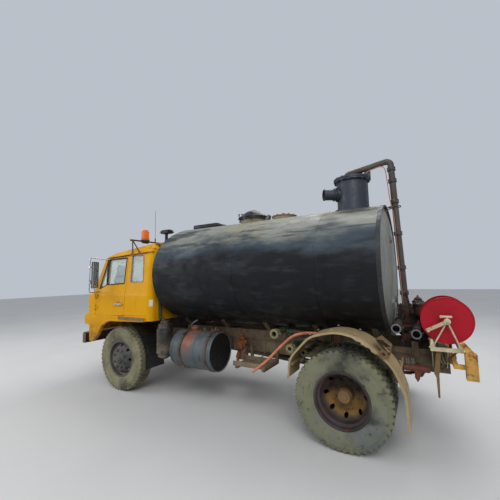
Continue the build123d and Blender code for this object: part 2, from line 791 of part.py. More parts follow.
with BuildPart() as manhole_lid:
    base_z = MANHOLE_NECK_TOP_Z + LID_SEAT
    dome_radius = LID_RADIUS - 30
    with BuildSketch(side_plane(0)) as lid_profile:
        with BuildLine():
            Polyline(
                (MANHOLE_X, base_z + LID_RIM + LID_DOME),
                (MANHOLE_X, base_z),
                (MANHOLE_X + LID_RADIUS, base_z),
                (MANHOLE_X + LID_RADIUS, base_z + LID_RIM),
                (MANHOLE_X + dome_radius, base_z + LID_RIM),
            )
            ThreePointArc(
                (MANHOLE_X + dome_radius, base_z + LID_RIM),
                (MANHOLE_X + 0.62 * dome_radius, base_z + LID_RIM + 0.74 * LID_DOME),
                (MANHOLE_X, base_z + LID_RIM + LID_DOME),
            )
        make_face()
    revolve(axis=Axis((MANHOLE_X, 0, 0), (0, 0, 1)))
    slab(
        LID_HINGE_X + 35,
        0,
        70,
        2 * LID_LUG_HALF,
        base_z,
        base_z + LID_RIM,
    )
    round_bar(
        (LID_HINGE_X, -LID_LUG_HALF, LID_HINGE_Z), (LID_HINGE_X, LID_LUG_HALF, LID_HINGE_Z), LID_LUG_RADIUS
    )
    round_bar(
        (LID_HINGE_X, -60, LID_HINGE_Z),
        (LID_HINGE_X, 60, LID_HINGE_Z),
        LID_PIN_RADIUS + RUNNING_FIT,
        mode=Mode.SUBTRACT,
    )
keep(manhole_lid, "manhole_lid")

with BuildPart() as lid_bracket:
    for side in (1, -1):
        inner = side * (LID_LUG_HALF + LID_LUG_GAP)
        with BuildSketch(side_plane(inner + 7 + side * 7)):
            outline(
                (LID_HINGE_X - 16, LID_HINGE_Z),
                (LID_HINGE_X + 16, LID_HINGE_Z),
                (LID_HINGE_X + 16, MANHOLE_NECK_TOP_Z - 6),
                (MANHOLE_X - 200, MANHOLE_NECK_TOP_Z - 6),
                (MANHOLE_X - 200, MANHOLE_NECK_TOP_Z - 60),
                (LID_HINGE_X, MANHOLE_NECK_TOP_Z - 60),
            )
            with Locations((LID_HINGE_X, LID_HINGE_Z)):
                Circle(16)
        extrude(amount=14)
    round_bar((LID_HINGE_X, -46, LID_HINGE_Z), (LID_HINGE_X, 46, LID_HINGE_Z), LID_PIN_RADIUS)
    round_bar(
        (MANHOLE_X, 0, TANK_TOP_Z - 100),
        (MANHOLE_X, 0, MANHOLE_NECK_TOP_Z),
        MANHOLE_NECK_RADIUS,
        mode=Mode.SUBTRACT,
    )
keep(lid_bracket, "lid_bracket")


# Moisture trap on the tank's top, with a flanged lid and a side nozzle
TRAP_X = REAR_AXLE_X - 18
TRAP_RADIUS = 220
TRAP_FLANGE_RADIUS = 262
TRAP_TOP_Z = TANK_TOP_Z + 490
NOZZLE_RADIUS = 80
NOZZLE_BORE = 72
NOZZLE_REACH = 430
NOZZLE_TURN = 30
NOZZLE_Z = TANK_TOP_Z + 258

with BuildPart() as trap_drum:
    for low_z, high_z, radius in (
        (TANK_TOP_Z - 60, TANK_TOP_Z + 18, TRAP_FLANGE_RADIUS),
        (TANK_TOP_Z, TRAP_TOP_Z - 20, TRAP_RADIUS),
        (TRAP_TOP_Z - 48, TRAP_TOP_Z - 28, TRAP_FLANGE_RADIUS - 6),
        (TRAP_TOP_Z - 26, TRAP_TOP_Z, TRAP_FLANGE_RADIUS),
    ):
        round_bar((TRAP_X, 0, low_z), (TRAP_X, 0, high_z), radius)
    nozzle_way = (cos(radians(NOZZLE_TURN)), sin(radians(NOZZLE_TURN)))
    for start, reach, radius, mode in (
        (0, NOZZLE_REACH, NOZZLE_RADIUS, Mode.ADD),
        (TRAP_RADIUS - 20, TRAP_RADIUS + 30, NOZZLE_RADIUS + 16, Mode.ADD),
        (TRAP_RADIUS + 10, NOZZLE_REACH, NOZZLE_BORE, Mode.SUBTRACT),
    ):
        round_bar(
            (TRAP_X + start * nozzle_way[0], start * nozzle_way[1], NOZZLE_Z),
            (TRAP_X + reach * nozzle_way[0], reach * nozzle_way[1], NOZZLE_Z),
            radius,
            mode=mode,
        )
    extrude(
        tank_section(TANK_REAR_X, 1), amount=TANK_FRONT_X - TANK_REAR_X, mode=Mode.SUBTRACT
    )
keep(trap_drum, "trap_drum")


# Vacuum pump on the rails behind the tank: a ribbed body, a manifold and its base plate
PUMP_RADIUS = 150
PUMP_Z = 1210
PUMP_REAR_X = REAR_AXLE_X - 940
PUMP_FRONT_X = REAR_AXLE_X - 545
PUMP_BASE = 20
PUMP_BASE_HALF_WIDTH = 375
PUMP_RIB = 8
MANIFOLD_HALF_WIDTH = 160
MANIFOLD_TOP_Z = 1450
MANIFOLD_BOTTOM_Z = 1190

with BuildPart() as vacuum_pump:
    slab(
        (PUMP_REAR_X + PUMP_FRONT_X) / 2,
        0,
        PUMP_FRONT_X - PUMP_REAR_X,
        2 * PUMP_BASE_HALF_WIDTH,
        RAIL_TOP_Z,
        RAIL_TOP_Z + PUMP_BASE,
    )
    slab(
        (PUMP_REAR_X + PUMP_FRONT_X) / 2,
        0,
        PUMP_FRONT_X - PUMP_REAR_X - 60,
        1.4 * PUMP_RADIUS,
        RAIL_TOP_Z,
        PUMP_Z,
    )
    round_bar((PUMP_REAR_X, 0, PUMP_Z), (PUMP_FRONT_X, 0, PUMP_Z), PUMP_RADIUS)
    for rib in range(5):
        rib_x = PUMP_REAR_X + 30 + 30 * rib
        round_bar((rib_x, 0, PUMP_Z), (rib_x + 10, 0, PUMP_Z), PUMP_RADIUS + PUMP_RIB)
    slab(
        (PUMP_FRONT_X + REAR_AXLE_X - 845) / 2,
        0,
        PUMP_FRONT_X - REAR_AXLE_X + 845,
        2 * MANIFOLD_HALF_WIDTH,
        MANIFOLD_BOTTOM_Z,
        MANIFOLD_TOP_Z,
    )
keep(vacuum_pump, "vacuum_pump")


# Riser pipe from the trap's lid over the tank's rear end and down to the pump
RISER_RADIUS = 42
RISER_START_X = REAR_AXLE_X + 60
RISER_TOP_X = REAR_AXLE_X - 555
RISER_RISE = 178
RISER_TOP_Z = TRAP_TOP_Z + RISER_RISE
RISER_FOOT_X = REAR_AXLE_X - 625
RISER_BEND = 62
COUPLING_DROPS = (130, 300, 600, 1050, 1520, 1860)

with BuildPart() as riser_pipe:
    bent_bar(
        [
            (RISER_START_X, 0, TRAP_TOP_Z),
            (RISER_START_X, 0, TRAP_TOP_Z + 80),
            (RISER_TOP_X, 0, RISER_TOP_Z),
            (RISER_FOOT_X, 0, MANIFOLD_TOP_Z + 6),
        ],
        RISER_BEND,
        RISER_RADIUS,
    )
    lean = (RISER_FOOT_X - RISER_TOP_X) / (RISER_TOP_Z - MANIFOLD_TOP_Z)
    for drop in COUPLING_DROPS:
        height = RISER_TOP_Z - drop
        for shift, radius in ((26, RISER_RADIUS + 11),):
            low = (RISER_TOP_X + lean * (drop + shift), 0, height - shift)
            high = (RISER_TOP_X + lean * (drop - shift), 0, height + shift)
            round_bar(low, high, radius)
    round_bar(
        (RISER_START_X, 0, TRAP_TOP_Z), (RISER_START_X, 0, TRAP_TOP_Z + 14), RISER_RADIUS + 40
    )
    round_bar(
        (RISER_FOOT_X, 0, MANIFOLD_TOP_Z), (RISER_FOOT_X, 0, MANIFOLD_TOP_Z + 16), RISER_RADIUS + 34
    )
    stay_z = TANK_TOP_Z - TANK_WALL / 2
    slab(
        (RISER_TOP_X + TANK_REAR_X) / 2 - 15,
        0,
        TANK_REAR_X - RISER_TOP_X + 30,
        36,
        stay_z - 5,
        stay_z + 5,
    )
keep(riser_pipe, "riser_pipe")


# Suction and discharge pipes from the manifold to the left side, with open ends
PORT_RADIUS = 45
PORT_BORE = 38
PORT_END_Y = 800
PORT_DEPTH = 120
PORTS = ((REAR_AXLE_X - 548, 1261), (REAR_AXLE_X - 743, 1213))
with BuildPart() as suction_pipes:
    for port_x, port_z in PORTS:
        round_bar(
            (port_x, MANIFOLD_HALF_WIDTH, port_z), (port_x, PORT_END_Y, port_z), PORT_RADIUS
        )
        round_bar(
            (port_x, MANIFOLD_HALF_WIDTH, port_z),
            (port_x, MANIFOLD_HALF_WIDTH + 18, port_z),
            PORT_RADIUS + 14,
        )
        round_bar(
            (port_x, PORT_END_Y - 140, port_z), (port_x, PORT_END_Y - 95, port_z), PORT_RADIUS + 9
        )
        round_bar(
            (port_x, PORT_END_Y - PORT_DEPTH, port_z),
            (port_x, PORT_END_Y + 1, port_z),
            PORT_BORE,
            mode=Mode.SUBTRACT,
        )
keep(suction_pipes, "suction_pipes")


# Drain pipes on the left side: one from the tank's underside, two from the rail's web
HOSE_START_X = REAR_AXLE_X + 300
HOSE_START_Y = 590
HOSE_START_Z = 1130
DRAINS = (
    # x, z, start y, end y, radius
    (REAR_AXLE_X + 864, 1135, 300, 1000, 38),
    (REAR_AXLE_X + 660, 965, RAIL_OUTER_Y, 985, 30),
    (REAR_AXLE_X + 500, 925, RAIL_OUTER_Y, 940, 26),
    (HOSE_START_X, HOSE_START_Z, 300, HOSE_START_Y + 90, 26),
)
with BuildPart() as drain_pipes:
    for drain_x, drain_z, start_y, end_y, radius in DRAINS:
        if drain_z > BEARER_TOP_Z:
            round_bar((drain_x, start_y, drain_z), (drain_x, end_y, drain_z), radius)
            slab(drain_x, RAIL_OUTER_Y + 35, 60, 70, BEARER_TOP_Z - 60, drain_z)
            slab(drain_x, RAIL_OUTER_Y, 60, 80, BEARER_TOP_Z, drain_z)
        else:
            round_bar((drain_x, start_y, drain_z), (drain_x, end_y, drain_z), radius)
        round_bar((drain_x, end_y - 70, drain_z), (drain_x, end_y, drain_z), radius + 10)
        round_bar(
            (drain_x, end_y - 90, drain_z), (drain_x, end_y + 1, drain_z), radius - 8, Mode.SUBTRACT
        )
    extrude(
        tank_section(TANK_REAR_X, 1), amount=TANK_FRONT_X - TANK_REAR_X, mode=Mode.SUBTRACT
    )
keep(drain_pipes, "drain_pipes")


# Rear wheel arches: a bent sheet with a lip along its outer edge, held by bars from the rails
ARCH_OUTER_Y = 1255
ARCH_INNER_Y = 865
ARCH_SHEET = 6
ARCH_LIP = 22
ARCH_BAR_RADIUS = 18
ARCH_LINE = (
    # distance forward of the axle, height, bend radius
    (590, 700, 0),
    (565, 930, 260),
    (320, 1195, 300),
    (10, 1275, 500),
    (-280, 1205, 400),
    (-545, 960, 400),
    (-640, 700, 300),
    (-652, 370, 0),
)
ARCH_BARS = ((554, 850), (-572, 860))


def moved_inwards(points, depth):
    # An open line of straight runs, moved to its left side by depth.
    moved = []
    last = len(points) - 1
    for number, (x, z) in enumerate(points):
        before = points[max(number - 1, 0)]
        after = points[min(number + 1, last)]
        first = Vector(x - before[0], z - before[1], 0)
        second = Vector(after[0] - x, after[1] - z, 0)
        if number == 0:
            first = second
        if number == last:
            second = first
        first = first.normalized()
        second = second.normalized()
        middle = (first + second).normalized()
        reach = depth / middle.dot(first)
        moved.append((x - reach * middle.Y, z + reach * middle.X))
    return moved


with BuildPart() as rear_fenders:
    outer_line = [(REAR_AXLE_X + x, z) for x, z, _ in ARCH_LINE]
    bends = [bend for _, _, bend in ARCH_LINE]
    for depth, inner_y in ((ARCH_SHEET, ARCH_INNER_Y), (ARCH_LIP, ARCH_OUTER_Y - ARCH_SHEET)):
        inner_line = moved_inwards(outer_line, depth)
        inner_bends = [max(bend - depth, 0) for bend in bends]
        for side in (1, -1):
            with BuildSketch(side_plane(max(side * ARCH_OUTER_Y, side * inner_y))) as arch_profile:
                with BuildLine():
                    FilletPolyline(
                        *outer_line,
                        *reversed(inner_line),
                        radius=bends + inner_bends[::-1],
                        close=True,
                    )
                make_face()
            extrude(amount=ARCH_OUTER_Y - inner_y)
    for side in (1, -1):
        for bar_x, bar_z in ARCH_BARS:
            round_bar(
                (REAR_AXLE_X + bar_x, side * RAIL_OUTER_Y, bar_z),
                (REAR_AXLE_X + bar_x, side * (ARCH_OUTER_Y - 60), bar_z),
                ARCH_BAR_RADIUS,
            )
keep(rear_fenders, "rear_fenders")


# Front mudguards behind the front wheels, with a flap below each
GUARD_RADIUS = 640
GUARD_SHEET = 4
GUARD_INNER_Y = 700
GUARD_OUTER_Y = 1100
GUARD_START = 106
GUARD_END = 172
FLAP_BOTTOM_Z = 420
GUARD_BARS = (140, 157)
with BuildPart() as front_mudguards:
    for side in (1, -1):
        start_y = max(side * GUARD_OUTER_Y, side * GUARD_INNER_Y)
        with BuildSketch(side_plane(start_y)):
            with BuildLine():
                rows = []
                for radius in (GUARD_RADIUS, GUARD_RADIUS + GUARD_SHEET):
                    rows.append(
                        [
                            (
                                FRONT_AXLE_X + radius * cos(radians(turn)),
                                TYRE_RADIUS + radius * sin(radians(turn)),
                            )
                            for turn in (GUARD_START, (GUARD_START + GUARD_END) / 2, GUARD_END)
                        ]
                    )
                ThreePointArc(*rows[0])
                ThreePointArc(*rows[1])
                Line(rows[0][0], rows[1][0])
                Line(rows[0][2], rows[1][2])
            make_face()
            outline(
                rows[0][2],
                rows[1][2],
                (rows[1][2][0], FLAP_BOTTOM_Z),
                (rows[1][2][0] + GUARD_SHEET, FLAP_BOTTOM_Z),
            )
        extrude(amount=GUARD_OUTER_Y - GUARD_INNER_Y)
        for turn in GUARD_BARS:
            bar_x = FRONT_AXLE_X + (GUARD_RADIUS + 14) * cos(radians(turn))
            bar_z = TYRE_RADIUS + (GUARD_RADIUS + 14) * sin(radians(turn))
            round_bar(
                (bar_x, side * RAIL_OUTER_Y, bar_z), (bar_x, side * (GUARD_OUTER_Y - 30), bar_z), 13
            )
keep(front_mudguards, "front_mudguards")


# Fuel tank on the left rail: a round tank with a recessed rear end, its cap and two straps
FUEL_X = REAR_AXLE_X + 1800
FUEL_LENGTH = 745
FUEL_RADIUS = 280
FUEL_Y = 868
FUEL_Z = 790
FUEL_RECESS = 24
FUEL_RIM = 12
CAP_X = FUEL_X + 470
STRAP = 6
STRAP_WIDTH = 56
STRAP_PLACES = (FUEL_X + 90, FUEL_X + 560)

with BuildPart() as fuel_tank:
    round_bar((FUEL_X, FUEL_Y, FUEL_Z), (FUEL_X + FUEL_LENGTH, FUEL_Y, FUEL_Z), FUEL_RADIUS)
    for start_x, end_x in (
        (FUEL_X, FUEL_X + FUEL_RECESS),
        (FUEL_X + FUEL_LENGTH - FUEL_RECESS, FUEL_X + FUEL_LENGTH),
    ):
        round_bar(
            (start_x, FUEL_Y, FUEL_Z), (end_x, FUEL_Y, FUEL_Z), FUEL_RADIUS - FUEL_RIM, Mode.SUBTRACT
        )
    round_bar(
        (CAP_X, FUEL_Y, FUEL_Z + FUEL_RADIUS - 20), (CAP_X, FUEL_Y, FUEL_Z + FUEL_RADIUS + 22), 38
    )
    round_bar(
        (CAP_X, FUEL_Y, FUEL_Z + FUEL_RADIUS + 20), (CAP_X, FUEL_Y, FUEL_Z + FUEL_RADIUS + 50), 50
    )
keep(fuel_tank, "fuel_tank")

with BuildPart() as fuel_tank_straps:
    for strap_x in STRAP_PLACES:
        round_bar(
            (strap_x - STRAP_WIDTH / 2, FUEL_Y, FUEL_Z),
            (strap_x + STRAP_WIDTH / 2, FUEL_Y, FUEL_Z),
            FUEL_RADIUS + STRAP,
        )
        slab(
            strap_x,
            (RAIL_OUTER_Y + FUEL_Y) / 2,
            STRAP_WIDTH,
            FUEL_Y - RAIL_OUTER_Y,
            RAIL_BOTTOM_Z + 10,
            RAIL_TOP_Z - 60,
        )
    round_bar(
        (FUEL_X, FUEL_Y, FUEL_Z), (FUEL_X + FUEL_LENGTH, FUEL_Y, FUEL_Z), FUEL_RADIUS, Mode.SUBTRACT
    )
keep(fuel_tank_straps, "fuel_tank_straps")


# Air cleaner behind the cab, with its intake stack and rain cap
CLEANER_X = FRONT_AXLE_X - 904
CLEANER_Y = 950
CLEANER_RADIUS = 128
STACK_RADIUS = 26
STACK_X = CAB_BACK_X - 34
STACK_Y = 930
STACK_CAP_Y = 800
STACK_TOP_Z = 2672
with BuildPart() as air_cleaner:
    for low_z, high_z, radius in (
        (640, 700, CLEANER_RADIUS - 22),
        (690, 1070, CLEANER_RADIUS),
        (1060, 1150, CLEANER_RADIUS - 26),
        (1140, 1200, CLEANER_RADIUS - 62),
    ):
        round_bar((CLEANER_X, CLEANER_Y, low_z), (CLEANER_X, CLEANER_Y, high_z), radius)
    slab(CLEANER_X, (RAIL_OUTER_Y + CLEANER_Y) / 2, 70, CLEANER_Y - RAIL_OUTER_Y, 800, 860)
    bent_bar(
        [
            (CLEANER_X, CLEANER_Y, 1090),
            (CLEANER_X, CLEANER_Y, 1206),
            (STACK_X, STACK_Y, 1222),
            (STACK_X, STACK_Y, 2390),
            (STACK_X, STACK_CAP_Y, 2520),
            (STACK_X, STACK_CAP_Y, STACK_TOP_Z),
        ],
        50,
        STACK_RADIUS,
    )
    with BuildSketch(Plane.XY.offset(STACK_TOP_Z - 10)):
        with Locations((STACK_X - 10, STACK_CAP_Y)):
            SlotOverall(230, 130)
    with BuildSketch(Plane.XY.offset(STACK_TOP_Z + 50)):
        with Locations((STACK_X - 10, STACK_CAP_Y)):
            SlotOverall(195, 96)
    loft()
keep(air_cleaner, "air_cleaner")


# Silencer and exhaust pipe on the right side
SILENCER_X = FRONT_AXLE_X - 2200
SILENCER_LENGTH = 700
SILENCER_Y = -640
EXHAUST_Z = 640
EXHAUST_RADIUS = 34
with BuildPart() as exhaust:
    bent_bar(
        [
            (ENGINE_BACK_X, -212, EXHAUST_Z),
            (ENGINE_BACK_X - 500, -212, EXHAUST_Z),
            (ENGINE_BACK_X - 850, SILENCER_Y, EXHAUST_Z),
            (SILENCER_X + SILENCER_LENGTH - 20, SILENCER_Y, EXHAUST_Z),
        ],
        160,
        EXHAUST_RADIUS,
    )
    round_bar(
        (SILENCER_X, SILENCER_Y, EXHAUST_Z),
        (SILENCER_X + SILENCER_LENGTH, SILENCER_Y, EXHAUST_Z),
        100,
    )
    bent_bar(
        [
            (SILENCER_X + 20, SILENCER_Y, EXHAUST_Z),
            (SILENCER_X - 150, SILENCER_Y, EXHAUST_Z),
            (SILENCER_X - 330, SILENCER_Y - 300, EXHAUST_Z - 60),
            (SILENCER_X - 360, SILENCER_Y - 440, EXHAUST_Z - 80),
        ],
        90,
        EXHAUST_RADIUS,
    )
    for hanger_x in (SILENCER_X + 120, SILENCER_X + SILENCER_LENGTH - 120):
        slab(
            hanger_x,
            -RAIL_OUTER_Y - 110,
            40,
            220,
            RAIL_BOTTOM_Z + 10,
            RAIL_BOTTOM_Z + 16,
        )
        slab(hanger_x, SILENCER_Y, 40, 6, EXHAUST_Z + 60, RAIL_BOTTOM_Z + 16)
keep(exhaust, "exhaust")


# Air reservoirs and battery box on the right rail
RESERVOIR_RADIUS = 105
RESERVOIR_X = FRONT_AXLE_X - 1400
RESERVOIR_LENGTH = 600
RESERVOIR_Y = -600
RESERVOIR_Z = 862
with BuildPart() as air_reservoir:
    round_bar(
        (RESERVOIR_X, RESERVOIR_Y, RESERVOIR_Z),
        (RESERVOIR_X + RESERVOIR_LENGTH, RESERVOIR_Y, RESERVOIR_Z),
        RESERVOIR_RADIUS,
    )
    ends = air_reservoir.edges().filter_by(GeomType.CIRCLE)
    chamfer(ends, 30)
    for hanger_x in (RESERVOIR_X + 120, RESERVOIR_X + RESERVOIR_LENGTH - 120):
        slab(
            hanger_x,
            (RESERVOIR_Y - RAIL_OUTER_Y) / 2,
            50,
            -RESERVOIR_Y - RAIL_OUTER_Y,
            RESERVOIR_Z - 40,
            RESERVOIR_Z + 40,
        )
keep(air_reservoir, "air_reservoir")

BATTERY_X = REAR_AXLE_X + 1200
with BuildPart() as battery_box:
    slab(BATTERY_X, -RAIL_OUTER_Y - 140, 420, 280, 700, 940)
    slab(BATTERY_X, -RAIL_OUTER_Y - 143, 436, 286, 940, 962)
keep(battery_box, "battery_box")


# Front bumper: a channel with two brackets to the rails
BUMPER_BACK_X = FRONT_AXLE_X + 1036
BUMPER_DEPTH = 156
BUMPER_HALF_WIDTH = 1080
BUMPER_BOTTOM_Z = 700
BUMPER_TOP_Z = 880
BUMPER_WALL = 6
with BuildPart() as front_bumper:
    slab(
        BUMPER_BACK_X + BUMPER_DEPTH / 2,
        0,
        BUMPER_DEPTH,
        2 * BUMPER_HALF_WIDTH,
        BUMPER_BOTTOM_Z,
        BUMPER_TOP_Z,
    )
    corners = front_bumper.edges().filter_by(Axis.Z).sort_by(Axis.X)[2:]
    chamfer(corners, 70)
    slab(
        BUMPER_BACK_X + (BUMPER_DEPTH - 75) / 2,
        0,
        BUMPER_DEPTH - 75,
        2 * (BUMPER_HALF_WIDTH - BUMPER_WALL),
        BUMPER_BOTTOM_Z + BUMPER_WALL,
        BUMPER_TOP_Z - BUMPER_WALL,
        mode=Mode.SUBTRACT,
    )
    for side in (1, -1):
        slab(
            (RAIL_FRONT_X + BUMPER_BACK_X + BUMPER_DEPTH - 75) / 2,
            side * (RAIL_OUTER_Y - 30),
            BUMPER_BACK_X + BUMPER_DEPTH - 75 - RAIL_FRONT_X,
            50,
            760,
            850,
        )
keep(front_bumper, "front_bumper")


# Tail lamp bar across the rails' rear ends, with a lamp box on each end
LAMP_BAR = 40
LAMP_BAR_Z = 950
LAMP_Y = 1000
LAMP_BOX_DEPTH = 95
LAMP_BOX_X = REAR_AXLE_X - 1145
LAMP_BOX_BOTTOM_Z = 850
LAMP_BOX_TOP_Z = 1085
with BuildPart() as tail_lamps:
    slab(
        RAIL_REAR_X - LAMP_BAR / 2,
        0,
        LAMP_BAR,
        2 * (LAMP_Y - 60),
        LAMP_BAR_Z - LAMP_BAR / 2,
        LAMP_BAR_Z + LAMP_BAR / 2,
    )
    for side in (1, -1):
        slab(
            LAMP_BOX_X - LAMP_BOX_DEPTH / 2,
            side * (LAMP_Y - 50),
            LAMP_BOX_DEPTH,
            100,
            LAMP_BOX_BOTTOM_Z,
            LAMP_BOX_TOP_Z,
        )
        # Bracket from the bar to the box
        slab(
            (LAMP_BOX_X + RAIL_REAR_X - LAMP_BAR) / 2,
            side * (LAMP_Y - 80),
            RAIL_REAR_X - LAMP_BAR - LAMP_BOX_X + 10,
            40,
            LAMP_BAR_Z - LAMP_BAR / 2,
            LAMP_BAR_Z + LAMP_BAR / 2,
        )
        # Sloping arm on the box's top
        with BuildSketch(side_plane(max(side * LAMP_Y, side * (LAMP_Y - 38)))):
            outline(
                (LAMP_BOX_X + 25, LAMP_BOX_TOP_Z + 75),
                (LAMP_BOX_X + 18, LAMP_BOX_TOP_Z + 112),
                (LAMP_BOX_X - 5, LAMP_BOX_TOP_Z + 112),
                (LAMP_BOX_X - LAMP_BOX_DEPTH + 6, LAMP_BOX_TOP_Z + 5),
                (LAMP_BOX_X - LAMP_BOX_DEPTH + 6, LAMP_BOX_TOP_Z - 5),
                (LAMP_BOX_X - 5, LAMP_BOX_TOP_Z - 5),
                (LAMP_BOX_X - 5, LAMP_BOX_TOP_Z + 30),
            )
        extrude(amount=38)
keep(tail_lamps, "tail_lamps")


# Hose reel stand on the left rail and the reel that turns in it
REEL_X = REAR_AXLE_X - 1030
REEL_Z = 1376
REEL_RADIUS = 238
REEL_INNER_Y = 440
REEL_OUTER_Y = 790
REEL_DISC = 5
REEL_HUB_RADIUS = 80
REEL_SHAFT_RADIUS = 15
STAND_TUBE = 36
STAND_TOP_Z = 1105
STAND_FRONT_X = REAR_AXLE_X - 882
STAND_REAR_X = REAR_AXLE_X - 1132
STAND_INNER_Y = 400
STAND_OUTER_Y = 850
BEARING_HALF = 11
BEARING_RADIUS = 28
with BuildPart() as reel_stand:
    for place_x, place_y, length, width in (
        (STAND_FRONT_X, (STAND_INNER_Y + STAND_OUTER_Y) / 2, STAND_TUBE, STAND_OUTER_Y - STAND_INNER_Y + STAND_TUBE),
        (STAND_REAR_X, (STAND_INNER_Y + STAND_OUTER_Y) / 2, STAND_TUBE, STAND_OUTER_Y - STAND_INNER_Y + STAND_TUBE),
        ((STAND_FRONT_X + STAND_REAR_X) / 2, STAND_INNER_Y, STAND_FRONT_X - STAND_REAR_X, STAND_TUBE),
        ((STAND_FRONT_X + STAND_REAR_X) / 2, STAND_OUTER_Y, STAND_FRONT_X - STAND_REAR_X, STAND_TUBE),
    ):
        slab(place_x, place_y, length, width, STAND_TOP_Z - STAND_TUBE, STAND_TOP_Z)
    for post_x in (STAND_FRONT_X, RAIL_REAR_X + 30):
        slab(post_x, STAND_INNER_Y, STAND_TUBE, STAND_TUBE, RAIL_TOP_Z, STAND_TOP_Z - STAND_TUBE)
        with BuildSketch(cross_plane(post_x - 4)):
            outline(
                (RAIL_OUTER_Y, RAIL_BOTTOM_Z + 60),
                (RAIL_OUTER_Y, STAND_TOP_Z - STAND_TUBE),
                (STAND_OUTER_Y - 30, STAND_TOP_Z - STAND_TUBE),
            )
        extrude(amount=8)
    for place_y in (STAND_INNER_Y, STAND_OUTER_Y):
        round_bar(
            (REEL_X, place_y - BEARING_HALF, REEL_Z), (REEL_X, place_y + BEARING_HALF, REEL_Z), BEARING_RADIUS
        )
        for foot_x in (STAND_FRONT_X, STAND_REAR_X):
            round_bar((foot_x, place_y, STAND_TOP_Z - 8), (REEL_X, place_y, REEL_Z), 8)
        round_bar(
            (REEL_X, place_y - 20, REEL_Z),
            (REEL_X, place_y + 20, REEL_Z),
            REEL_SHAFT_RADIUS + RUNNING_FIT,
            Mode.SUBTRACT,
        )
keep(reel_stand, "reel_stand")

CRANK_TURN = 28
CRANK_REACH = 215
CRANK_Y = STAND_OUTER_Y + BEARING_HALF + 6
with BuildPart() as hose_reel:
    for start_y, end_y, radius in (
        (REEL_INNER_Y, REEL_INNER_Y + REEL_DISC, REEL_RADIUS),
        (REEL_OUTER_Y - REEL_DISC, REEL_OUTER_Y, REEL_RADIUS),
        (REEL_INNER_Y, REEL_OUTER_Y, REEL_HUB_RADIUS),
        (STAND_INNER_Y - BEARING_HALF - 14, CRANK_Y + 14, REEL_SHAFT_RADIUS),
        (CRANK_Y, CRANK_Y + 14, 30),
    ):
        round_bar((REEL_X, start_y, REEL_Z), (REEL_X, end_y, REEL_Z), radius)
    for disc_y in (REEL_INNER_Y + REEL_DISC / 2, REEL_OUTER_Y - REEL_DISC / 2):
        with BuildSketch(side_plane(disc_y + 9)):
            with Locations((REEL_X, REEL_Z)):
                Circle(REEL_RADIUS)
                Circle(REEL_RADIUS - 7, mode=Mode.SUBTRACT)
        extrude(amount=18)
    with BuildSketch(side_plane(CRANK_Y + 12)):
        with Locations(
            Location((REEL_X, REEL_Z), -CRANK_TURN)
        ):
            with Locations((CRANK_REACH / 2, 0)):
                Rectangle(CRANK_REACH, 34)
    extrude(amount=8)
    grip_x = REEL_X + (CRANK_REACH - 18) * cos(radians(CRANK_TURN))
    grip_z = REEL_Z - (CRANK_REACH - 18) * sin(radians(CRANK_TURN))
    round_bar((grip_x, CRANK_Y + 6, grip_z), (grip_x, CRANK_Y + 78, grip_z), 14)
keep(hose_reel, "hose_reel")


# Cab: a hollow body of flat-sided sections with rounded corners, wider at the belt than at the roof
CAB_SECTIONS = (
    # height at the front axle, pitch in degrees, front, back, half width, share of the inset in height
    (CAB_SKIRT_Z, 0, 956, -740, 1105, 0),
    (1250, 0, 975, -740, 1120, 0),
    (1600, 0, 996, -740, 1112, 0),
    (1645, 0, 866, -740, 1104, 0),
    (2312, 2.67, 586, -740, 1040, 0),
    (2423, 6.3, 480, -726, 930, 0.7),
    (2455, 6.3, 380, -646, 700, 1),
)
CAB_CORNER = 100
CAB_FLOOR = 40
HUMP_REAR_X = FRONT_AXLE_X - 475
HUMP_FRONT_X = FRONT_AXLE_X + 540
HUMP_HALF_WIDTH = 350
HUMP_TOP_Z = 1420
HUMP_WALL = 25
DOOR_LINE = (
    # distance forward of the front axle, height
    (690, 1262),
    (690, 1650),
    (500, 2270),
    (-110, 2296),
    (-94, 1262),
)
DOOR_WINDOWS = (
    ((-75, 2262), (-60, 1810), (402, 1792), (402, 2252)),
    ((427, 1788), (620, 1715), (455, 2250), (427, 2251)),
)
QUARTER_WINDOW = ((-532, 1838), (-216, 1830), (-205, 2294), (-503, 2289))
WINDSCREEN = ((-985, 1672), (985, 1672), (900, 2276), (-900, 2276))
REAR_WINDOW = ((-450, 1780), (450, 1780), (450, 2190), (-450, 2190))
SIDE_REACH = 1300
CAB_ARCH = (
    # distance forward of the front axle, height, bend radius
    (832, 700, 0),
    (610, 880, 150),
    (500, 1060, 200),
    (330, 1150, 300),
    (-600, 1178, 0),
)
LIP_WIDTH = 40
LIP_INNER_Y = 1085
LIP_OUTER_Y = 1134
GUTTER_OUTER_Y = 1066
GUTTER = 12
SILL_STRIP_Y = 1156
SILL_STRIP_FRONT = 10
SILL_STRIP_REAR = -640
APRON_HALF_WIDTH = 950
APRON_TOP_Z = 920
TILT_LUG_INNER_Y = RAIL_OUTER_Y + TILT_BRACKET + TILT_CLEARANCE
DOOR_HINGE_X = FRONT_AXLE_X + 694
DOOR_HINGE_Y = 1134
DOOR_HINGES_Z = (1350, 1560)
HINGE_LENGTH = 60
DOOR_PIN_RADIUS = 7
DOOR_BARREL_RADIUS = 12
HINGE_LUG = 12
HINGE_GAP = 2


